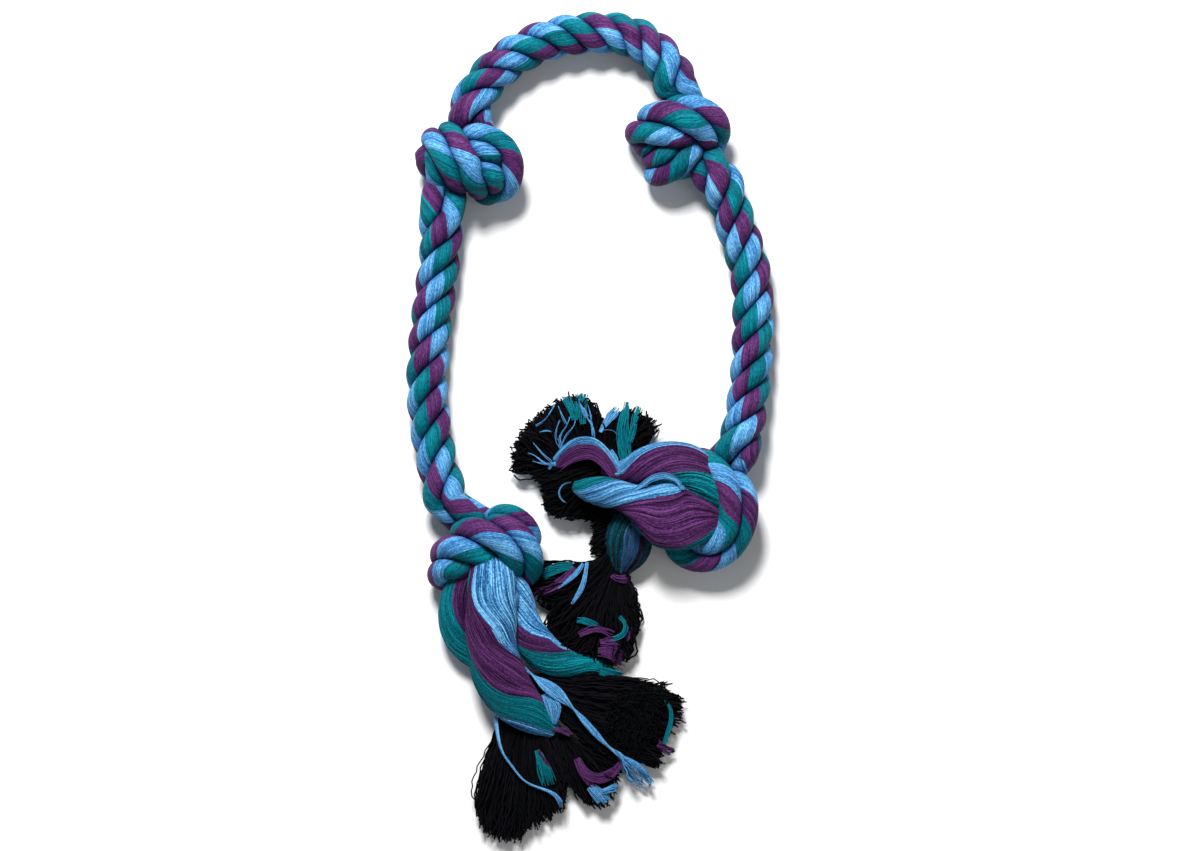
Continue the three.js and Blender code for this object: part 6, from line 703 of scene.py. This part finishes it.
LT_C = [(508, 580, 34, 14, 12, -110, -30, 20), (517, 594, 30, 15, 12, -90, -20, 25), (521, 610, 26, 16, 12, -60, -5, 55), (526, 626, 24, 17, 12, -40, 5, 78),
        (537, 645, 21, 19, 12, -25, 70, 130), (556, 660, 18, 17, 11, -15, 125, 142), (576, 664, 15, 12, 9, -10, 170, 184), (592, 665, 12, 8, 7, -10, 200, 250), (612, 674, 9, 6, 4, -10, 200, 260)]
RT_1 = [(738, 518, 30, 8, 9, 0, 40, 50), (731, 518, 32, 9, 10, 0, 60, 72), (723, 518, 34, 12, 11, -20, 74, 92), (714, 518, 37, 18, 12, -30, 58, 108), (703, 518, 41, 25, 14, -40, 36, 128), (690, 518, 45, 30, 15, -50, 26, 142),
        (676, 517, 49, 33, 15, -50, 28, 160), (662, 512, 51, 33, 15, -50, 55, 168), (643, 505, 50, 22, 14, -40, 72, 174), (626, 497, 47, 15, 12, -20, 125, 210), (606, 492, 44, 15, 11, 44, 180, 260), (588, 489, 40, 12, 9, 88, 230, 310), (574, 486, 36, 5, 5, 140, 270, 350)]
RT_3 = [(737, 512, 34, 9, 10, -80, 10, 30), (724, 497, 41, 14, 12, -80, 20, 58), (706, 481, 45, 20, 13, -70, 22, 68), (688, 468, 45, 23, 14, -60, 28, 98), (668, 464, 43, 23, 14, -50, 35, 117),
        (648, 466, 40, 20, 13, -50, 50, 145), (632, 471, 32, 15, 12, -50, 80, 170), (618, 472, 25, 11, 10, -40, 110, 200), (606, 466, 20, 9, 8, -30, 120, 220)]
RT_2 = [(690, 532, 22, 15, 11, 80, 118, 128), (674, 522, 23, 15, 12, 80, 118, 128), (658, 514, 24, 15, 12, 80, 118, 128), (643, 514, 24, 17, 12, 80, 118, 128), (633, 524, 24, 21, 13, 80, 118, 128), (629, 537, 22, 24, 13, 79, 117, 128),
        (627, 550, 19, 23, 12, 81, 116, 128), (623, 562, 15, 17, 10, 87, 113, 128), (620, 571, 12, 11, 7, 94, 110, 134), (618, 578, 10, 8, 5, 90, 100, 160), (615, 585, 7, 6, 4, 70, 80, 200)]
lt = [loft(1, LT_A, T0, gaps=26, amount=0.42), loft(2, LT_B, T0, around=300, ridges=76, gaps=48, amount=0.40), loft(3, LT_C, T0, around=240, ridges=56, gaps=32, amount=0.42)]
rt = [loft(4, RT_1, T0, backward=True, around=300, ridges=76, gaps=46, amount=0.36, fold=(30.0, 0.017)), loft(5, RT_3, T0, backward=True, around=240, ridges=56, gaps=44, amount=0.42),
      # the lower lobe lies in shadow, so painted shade covers all of it
      loft(6, RT_2, T0, backward=True, around=240, ridges=50, gaps=36, amount=0.42, shade=0.55, dim=0.58)]
left_strands = one("left_tail_strands", COVER, lt)
right_strands = one("right_tail_strands", COVER, rt)
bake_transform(left_strands)
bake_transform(right_strands)
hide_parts(*three("left_tail"))
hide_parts(*three("right_tail"))



# ---- fringe: many thin crimped yarns ----
def tube_batch(batch, paths, radius, seed, sides=5, colour=None, twist=0.0, mark=0.0):
    g = np.random.default_rng(seed)
    for q, P in enumerate(paths):
        r0 = radius * (0.8 + 0.4 * g.random())
        T, Nn, Bb = bishop(P)
        th = np.linspace(0, 2 * np.pi, sides, endpoint=False) + g.random() * 6.28
        d = np.r_[0, np.cumsum(np.linalg.norm(np.diff(P, axis=0), axis=1))]
        rr = np.full(len(P), r0)
        rr[-1] *= 0.75
        rings = P[:, None] + rr[:, None, None] * (np.cos(th)[None, :, None] * Nn[:, None] + np.sin(th)[None, :, None] * Bb[:, None])
        rings[..., 2] = np.maximum(rings[..., 2], 0.12)
        if colour is None:
            ang = th[None] + 0 * d[:, None]
        else:
            c = colour if np.isscalar(colour) else colour[q % len(colour)]
            ang = (c + 1 / 6 + 0.10 * (g.random() - 0.5)) * 2 * np.pi + 0.12 * np.sin(th)[None] + 0 * d[:, None]
        al = (d[:, None] + 1000 * g.random()) / 100.0 + 0 * ang
        batch.add(rings, {"yarn": np.stack([np.cos(ang), np.sin(ang), al], -1), "shade_and_tint": np.full(rings.shape[:2], mark * g.random() ** 3), "gaps_and_shade": np.zeros(rings.shape[:2])}, 2 * math.pi * r0)


def crimped(a, da, b, db, g, n=18, crimp=0.55, stray=0.0):
    """A yarn from a to b that leaves along da and arrives along db, with a crimp and a stray end."""
    L = np.linalg.norm(b - a)
    t = np.linspace(0, 1, n)[:, None]
    p1 = a + da * L * 0.36
    p2 = b - db * L * 0.34
    P = (1 - t) ** 3 * a + 3 * (1 - t) ** 2 * t * p1 + 3 * (1 - t) * t**2 * p2 + t**3 * b
    T = np.gradient(P, axis=0)
    T /= np.linalg.norm(T, axis=1, keepdims=True)
    S = np.cross(T, [0, 0, 1.0])
    S /= np.maximum(np.linalg.norm(S, axis=1, keepdims=True), 1e-6)
    U = np.cross(S, T)
    k = L / (6.5 + 5 * g.random())
    f1, f2 = g.random(2) * 6.28
    grow = np.minimum(1, t / 0.25)
    low = np.sin(2 * np.pi * t * (0.7 + g.random()) + f1)
    P = P + grow * (crimp * np.sin(2 * np.pi * k * t + f1) + stray * low) * S + grow * (crimp * 0.7 * np.cos(2 * np.pi * k * 0.9 * t + f2)) * U
    P[:, 2] = np.maximum(P[:, 2], 0.7)
    return P


def polyline(pts, t):
    P = np.array([mm(*p) for p in pts])
    d = np.r_[0, np.cumsum(np.linalg.norm(np.diff(P, axis=0), axis=1))]
    return np.array([np.interp(np.clip(t, 0, 1) * d[-1], d, P[:, c]) for c in range(3)])


def tassel(batch, root, tips, count, seed, radius=0.58, lead=None, crimp=0.55, stray=0.8, colour=None, jitter=0.06, ragged=5.0, n=18, heights=(1.0, 12.0), mark=0.0, straight=1.0):
    """Yarns from along root to along tips, both lists of photograph pixels with heights."""
    g = np.random.default_rng(seed)
    paths = []

    def spread():
        return float(np.clip(g.normal(), -1.5, 1.5))

    for _ in range(count):
        t = g.random()
        a = polyline(root, t + jitter * 0.4 * spread()) + np.array([0, 0, 1.0]) * g.normal() * 1.2
        b = polyline(tips, t + jitter * spread())
        dirn = (b - a) / np.linalg.norm(b - a)
        b = b + dirn * ragged * (g.random() - 0.65) + g.normal(size=3) * np.array([1.2, 1.2, 0])
        b[2] = heights[0] + (heights[1] - heights[0]) * g.random() ** 1.6
        da = np.array(lead, float) if lead is not None else dirn
        da = da / np.linalg.norm(da)
        db = dirn + 0.5 * straight * g.normal(size=3) * np.array([1, 1, 0.3])
        db /= np.linalg.norm(db)
        paths.append(crimped(a, da, b, db, g, n=n, crimp=crimp * (0.5 + g.random()), stray=stray * spread()))
    tube_batch(batch, paths, radius, seed + 1, colour=colour, mark=mark)


def ribbon(batch, pts, width, count, colour, seed, radius=0.45, twists=1.5, depth=0.35, flare=0.0, phase=None, loose=0.0):
    """A flat lock of yarns along pts (photograph pixels and heights), width in pixels, that turns over as it goes."""
    g = np.random.default_rng(seed)
    P = np.array([mm(*p) for p in pts])
    d, at = spline(P)
    n = max(12, int(d[-1] / 2.2))
    t = np.linspace(0, d[-1], n)
    C = at(t)
    T, Nn, Bb = bishop(C)
    W = np.interp(t / d[-1], np.linspace(0, 1, len(np.atleast_1d(width))), np.atleast_1d(width)) * SCALE / 2
    if phase is None:
        phase = 1.57 if twists < 0.5 else g.random() * 6.28
    paths = []
    for q in range(count):
        x = (q + 0.5) / count * 2 - 1
        y = g.normal() * 0.4
        a = phase + twists * 2 * np.pi * t / d[-1]
        fl = 1 + flare * np.maximum(0, (t / d[-1] - 0.7) / 0.3) ** 2
        wob = (0.25 + 1.1 * loose) * np.sin(t / (5 + 4 * g.random()) + g.random() * 6.28)
        off = (W * x * fl + wob)[:, None] * (np.cos(a)[:, None] * Nn * depth + np.sin(a)[:, None] * Bb) + (y * 0.5) * (np.cos(a)[:, None] * Bb - np.sin(a)[:, None] * Nn)
        Q = C + off
        Q[:, 2] = np.maximum(Q[:, 2], 0.6)
        m = n - int(g.random() * (0.06 + 0.35 * loose) * n)
        paths.append(Q[int(g.random() * 0.2 * loose * n) : m])
    tube_batch(batch, paths, radius, seed + 1, colour=colour)


k = 1.0
lb = Batch()
tassel(lb, [(499, 712, 14), (520, 722, 15), (546, 728, 14)], [(479, 797, 3), (479, 810, 3), (482, 824, 3), (490, 834, 3), (506, 839, 3), (519, 838, 3), (528, 827, 3), (545, 820, 3), (561, 807, 3), (564, 792, 3)], int(620 * k), 11, lead=(-0.05, -1, -0.05), heights=(0.8, 13), mark=0.4, crimp=0.45, stray=0.4, jitter=0.04, ragged=9.0, straight=0.6)
tassel(lb, [(544, 716, 12), (556, 724, 12), (566, 732, 12)], [(560, 770, 3), (575, 790, 3), (588, 804, 3), (600, 808, 3), (610, 798, 3), (616, 780, 3), (620, 764, 3)], int(330 * k), 12, lead=(0.5, -0.8, -0.05), heights=(0.8, 12), mark=0.4, crimp=0.45, ragged=8.0, straight=0.6)
tassel(lb, [(510, 668, 14), (520, 676, 14), (534, 688, 14), (548, 704, 14), (562, 722, 13)], [(638, 683, 3), (660, 690, 3), (678, 700, 3), (680, 714, 3), (668, 730, 3), (662, 748, 3), (658, 766, 3), (640, 762, 3), (618, 758, 3), (596, 748, 3)], int(760 * k), 13, lead=(0.9, -0.35, 0.05), heights=(0.8, 14), stray=1.3, crimp=0.6, mark=0.4, ragged=8.0, straight=0.4)
# a few stiff ends stand out past the right-hand fringe
tassel(lb, [(628, 694, 12), (640, 712, 12)], [(669, 682, 3), (677, 688, 3), (684, 700, 3), (682, 712, 3), (676, 738, 3)], 26, 14, heights=(2, 9), stray=0.6, crimp=0.35, ragged=7.0, straight=0.3)
# the matted part of the right-hand fringe, where the yarns lie every way
tassel(lb, [(602, 682, 17), (630, 687, 18), (650, 700, 18), (656, 725, 17), (642, 750, 16)], [(666, 700, 14), (655, 736, 14), (630, 754, 15), (606, 734, 16), (612, 702, 17), (640, 686, 17)], int(420 * k), 15, heights=(12, 18), stray=3.0, crimp=1.0, jitter=0.34, ragged=6.0, radius=0.50)
left_core = lb.build("left_tail_core", CORE)
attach(left_core, "left_tail")
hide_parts("left_tail_tassel_lower", "left_tail_tassel_middle", "left_tail_tassel_right")
rb = Batch()
tassel(rb, [(560, 474, 12), (580, 468, 14), (604, 470, 14), (614, 480, 14)], [(514, 470, 3), (513, 456, 3), (519, 440, 3), (531, 423, 3), (546, 410, 3), (560, 402, 3), (574, 397, 3), (586, 400, 3), (594, 410, 3), (600, 420, 3)], int(640 * k), 21, lead=(-0.9, 0.35, 0.05), heights=(0.8, 15), stray=0.5, mark=0.5, crimp=0.45)
tassel(rb, [(606, 468, 12), (618, 462, 12), (630, 458, 12)], [(612, 412, 3), (632, 410, 3), (646, 416, 3), (656, 424, 3), (650, 434, 3), (636, 440, 3)], int(190 * k), 22, lead=(0.1, 1, 0.05), heights=(0.8, 12), mark=0.4, crimp=0.45)
tassel(rb, [(606, 552, 17), (616, 566, 16), (630, 576, 14)], [(527, 572, 3), (525, 584, 3), (533, 594, 3), (547, 603, 3), (561, 611, 3), (553, 622, 3), (548, 632, 3), (557, 646, 3), (578, 654, 3), (600, 662, 3), (617, 664, 3), (626, 658, 3), (633, 640, 3), (636, 620, 3), (634, 598, 3)], int(900 * k), 23, lead=(-0.5, -0.85, -0.05), heights=(0.8, 15), stray=1.0, mark=0.4, crimp=0.5)
# core yarn that bulges out between the strands
tassel(rb, [(640, 500, 16), (644, 520, 16), (640, 540, 14)], [(600, 508, 3), (594, 520, 3), (595, 536, 3), (592, 552, 3)], int(330 * k), 24, lead=(-1, 0, 0.05), heights=(0.8, 17), stray=0.8, crimp=0.35, ragged=3.0)
tassel(rb, [(600, 464, 14), (612, 480, 14), (612, 500, 14)], [(532, 474, 3), (544, 484, 3), (545, 496, 3), (545, 506, 3), (552, 514, 3), (572, 516, 3), (594, 518, 3)], int(520 * k), 25, lead=(-1, 0, 0.05), heights=(0.8, 15), stray=0.5, crimp=0.35, ragged=3.0)
right_core = rb.build("right_tail_core", CORE)
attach(right_core, "right_tail")
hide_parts("right_tail_tassel_left", "right_tail_tassel_right", "right_tail_tassel_lower")
# loose cover yarns
lw = Batch()
ribbon(lw, [(524, 668, 24), (538, 679, 27), (552, 689, 28), (566, 701, 29), (584, 720, 29), (602, 740, 28), (622, 757, 25), (638, 768, 20), (650, 784, 14)], [5, 12, 13, 9, 5, 5, 5, 8, 14], 20, B0, 31, twists=1.6, depth=0.5)
tassel(lw, [(612, 748, 26), (620, 752, 26)], [(624, 772, 18), (632, 782, 18), (642, 788, 18), (652, 786, 18), (656, 780, 18)], 26, 68, radius=0.42, lead=(0.7, -0.7, 0), heights=(5, 13), crimp=0.3, stray=1.0, colour=B0, ragged=5.0)
ribbon(lw, [(544, 694, 24), (550, 706, 26), (553, 724, 22)], [8, 22, 7], 18, B0, 32, twists=0.05)
ribbon(lw, [(540, 700, 25), (544, 712, 26), (548, 724, 22)], [3, 5, 3], 5, P0, 42, twists=0.05)
ribbon(lw, [(496, 716, 22), (498, 736, 24), (503, 753, 25), (512, 766, 24), (524, 780, 24), (537, 787, 23), (555, 795, 23), (562, 806, 17)], [2.5, 3, 3.5, 7], 7, B0, 33, twists=0.4)
ribbon(lw, [(537, 750, 25), (543, 764, 27), (549, 785, 22)], [3, 13, 15], 25, T0, 34, twists=0.05, loose=0.55, radius=0.36)
ribbon(lw, [(538, 750, 27), (546, 760, 28), (554, 772, 25)], [2, 4, 3], 4, P0, 35, twists=0.05, loose=0.55, radius=0.36)
ribbon(lw, [(577, 760, 24), (584, 774, 25), (594, 788, 22)], [3, 7, 8], 14, P0, 36, twists=0.1, loose=0.55, radius=0.36)
ribbon(lw, [(577, 758, 25), (586, 772, 26), (598, 778, 26), (611, 774, 24), (621, 763, 21)], [4, 9, 11, 9, 4], 24, P0, 37, twists=0.1, loose=0.55, radius=0.36)
ribbon(lw, [(590, 786, 22), (598, 794, 21), (606, 803, 17)], [6, 11, 14], 24, B0, 38, twists=0.05, loose=0.55, radius=0.36)
ribbon(lw, [(602, 791, 22), (609, 789, 22), (618, 786, 15)], [4, 7, 9], 14, B0, 43, twists=0.05, loose=0.55, radius=0.36)
ribbon(lw, [(664, 699, 24), (670, 708, 23), (671, 720, 22), (668, 732, 21), (664, 744, 20)], [2, 4, 5, 6], 9, T0, 39, twists=0.2)
ribbon(lw, [(658, 744, 21), (666, 749, 16), (674, 753, 9)], [6, 8, 8], 14, P0, 40, twists=0.1, loose=0.55, radius=0.36)
ribbon(lw, [(600, 671, 19), (610, 674, 17), (620, 678, 11)], [8, 10, 14], 18, T0, 41, twists=0.1)
ribbon(lw, [(553, 728, 23), (562, 731, 23), (572, 735, 21)], [3, 6, 4], 8, P0, 44, twists=0.1, loose=0.55, radius=0.36)
left_wisps = lw.build("left_tail_loose_yarns", COVER)
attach(left_wisps, "left_tail")
rw = Batch()
ribbon(rw, [(545, 472, 12), (554, 463, 18), (566, 451, 25), (579, 443, 30), (592, 443, 33), (604, 452, 34), (613, 465, 33), (620, 480, 30)], [3, 7, 10, 12, 12, 10, 8, 6], 18, B0, 51, twists=0.03, depth=0.6)
ribbon(rw, [(556, 470, 18), (568, 458, 25), (581, 452, 30), (594, 453, 33), (605, 462, 34), (613, 474, 33), (618, 486, 30)], [7, 12, 16, 17, 15, 11, 8], 22, P0, 52, twists=0.03, depth=0.6)
ribbon(rw, [(628, 462, 22), (625, 450, 21), (623, 436, 21), (623, 424, 21), (625, 412, 17), (627, 402, 11)], [11, 13, 11, 9, 9, 7], 30, T0, 53, twists=0.10, loose=0.55, radius=0.36)
ribbon(rw, [(629, 442, 21), (632, 430, 20), (635, 418, 18), (640, 407, 11)], [4, 7, 8, 8], 15, T0, 54, twists=0.10, loose=0.55, radius=0.36)
ribbon(rw, [(600, 432, 24), (605, 424, 22), (611, 416, 19), (618, 409, 13)], [2, 6, 9, 6], 18, B0, 55, twists=0.05, loose=0.30, radius=0.36)
ribbon(rw, [(575, 420, 25), (574, 410, 24), (573, 402, 21), (571, 395, 15)], [5, 12, 18, 22], 30, T0, 56, twists=0.05, loose=0.60, radius=0.34)
ribbon(rw, [(583, 424, 25), (582, 411, 24), (583, 402, 20), (584, 394, 13)], [3, 6, 9, 10], 16, T0, 57, twists=0.05, loose=0.50, radius=0.36)
# single light-blue yarns that curl over the core
for seed, width, count, pts in (
        (70, 3.0, 3, [(560, 449, 23), (556, 439, 24), (557, 428, 25), (560, 420, 24)]),
        (71, 3.0, 3, [(562, 448, 23), (560, 438, 24), (566, 427, 24), (570, 417, 24)]),
        (72, 2.5, 2, [(561, 446, 23), (567, 434, 25), (573, 427, 25), (575, 419, 24)]),
        (73, 2.0, 2, [(594, 438, 29), (593, 429, 30), (588, 419, 27), (582, 410, 26), (578, 402, 24)]),
        (74, 2.0, 2, [(593, 436, 30), (592, 426, 30), (590, 413, 25), (588, 405, 21)]),
        (75, 7.0, 9, [(587, 417, 26), (583, 409, 26), (578, 400, 23)]),
        (76, 2.5, 3, [(549, 469, 24), (552, 463, 24), (546, 457, 25), (539, 450, 26), (533, 443, 25)]),
        (77, 2.0, 2, [(551, 432, 27), (546, 431, 26), (540, 432, 24)]),
        (78, 2.5, 3, [(556, 462, 23), (546, 463, 23), (537, 457, 24), (528, 453, 23)]),
        (79, 2.5, 3, [(556, 465, 23), (544, 464, 23), (533, 461, 24)]),
        (80, 1.5, 1, [(604, 430, 25), (612, 430, 22), (619, 437, 21), (622, 446, 20)]),
        (81, 4.0, 6, [(611, 450, 22), (616, 457, 25), (618, 464, 36), (621, 474, 40)]),
        (82, 2.0, 2, [(571, 483, 27), (562, 486, 28), (559, 493, 28), (562, 500, 28), (568, 504, 26)]),
        (83, 2.0, 2, [(536, 426, 24), (545, 420, 24), (551, 411, 22), (556, 403, 18)]),
        (84, 2.0, 2, [(566, 424, 25), (561, 414, 24), (558, 406, 21)])):
    ribbon(rw, pts, [width * 0.5, width, width * 1.6], count, B0, seed, radius=0.27, twists=0.3, loose=0.12, depth=0.6)
ribbon(rw, [(611, 575, 18), (617, 579, 20), (623, 580, 20), (629, 579, 15)], [3, 6, 8, 9], 14, P0, 85, twists=0.05, loose=0.35, radius=0.36)
# a loop of blue yarn stands off the fan, and wisps lie on the lower fringe
ribbon(rw, [(634, 489, 57), (641, 485, 57.5), (648, 480, 58.5), (656, 476.5, 59.5), (664, 475.5, 60.5), (671, 477, 61), (677, 481, 61), (681, 489, 60.5)], [3, 5, 6, 6, 5, 3], 9, B0, 60, twists=0.05, radius=0.34)
for seed, tone, width, count, loose, pts in (
        (61, B0, 4.0, 9, 0.15, [(587, 562, 25), (585, 574, 26), (581, 589, 26), (572, 604, 25)]),
        (62, P0, 8.0, 18, 0.45, [(576, 569, 25), (563, 579, 25), (551, 588, 24), (533, 593, 18)]),
        (63, T0, 9.0, 24, 0.55, [(573, 566, 25), (561, 568, 25), (549, 571, 24), (539, 577, 20)]),
        (86, B0, 4.0, 9, 0.15, [(583, 563, 26), (577, 572, 26), (565, 583, 26), (558, 588, 25)]),
        (64, T0, 5.0, 12, 0.80, [(577, 620, 25), (587, 622, 26), (597, 627, 25)]),
        (87, P0, 7.0, 16, 0.85, [(579, 634, 25), (596, 630, 26), (613, 635, 25)]),
        (65, T0, 4.0, 9, 0.50, [(620, 616, 25), (626, 626, 26), (622, 634, 26), (608, 638, 25)]),
        (88, P0, 5.0, 9, 0.35, [(629, 627, 23), (628, 633, 24), (625, 640, 24)]),
        (66, P0, 7.0, 16, 0.85, [(600, 642, 25), (611, 641, 26), (622, 644, 22)]),
        (67, P0, 13.0, 34, 0.80, [(598, 650, 24), (610, 652, 24), (621, 660, 16), (627, 664, 10)])):
    ribbon(rw, pts, [width * 0.6, width, width, width * (1.15 if loose > 0.3 else 0.4)], count, tone, seed, twists=0.05, loose=loose, radius=0.34)
right_wisps = rw.build("right_tail_loose_yarns", COVER)
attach(right_wisps, "right_tail")


# ---- floor and light ----
floor_mesh = bpy.data.meshes.new("floor")
floor_mesh.from_pydata([(-6, -6, 0), (6, -6, 0), (6, 6, 0), (-6, 6, 0)], [], [(0, 1, 2, 3)])
floor = bpy.data.objects.new("floor", floor_mesh)
scene.collection.objects.link(floor)
fmat = bpy.data.materials.new("pale_floor")
nt, bsdf = nodes_of(fmat)
bsdf.inputs["Base Color"].default_value = (0.86, 0.86, 0.86, 1)
bsdf.inputs["Roughness"].default_value = 0.9
floor_mesh.materials.append(fmat)

world = bpy.data.worlds.new("world")
scene.world = world
world.use_nodes = True
world.node_tree.nodes["Background"].inputs[0].default_value = (1, 1, 1, 1)
world.node_tree.nodes["Background"].inputs[1].default_value = 0.20


def area(name, loc, target, size, power, colour=(1, 1, 1)):
    data = bpy.data.lights.new(name, "AREA")
    data.energy = power
    data.size = size
    data.color = colour
    ob = bpy.data.objects.new(name, data)
    ob.location = loc
    ob.rotation_euler = (Vector(target) - Vector(loc)).to_track_quat("-Z", "Y").to_euler()
    scene.collection.objects.link(ob)
    return ob


area("key", (-0.35, 1.6, 1.8), (0, 0, 0), 0.6, 104)
area("fill", (1.4, -0.9, 1.8), (0, 0, 0), 1.6, 7)

scene.view_settings.view_transform = "Standard"
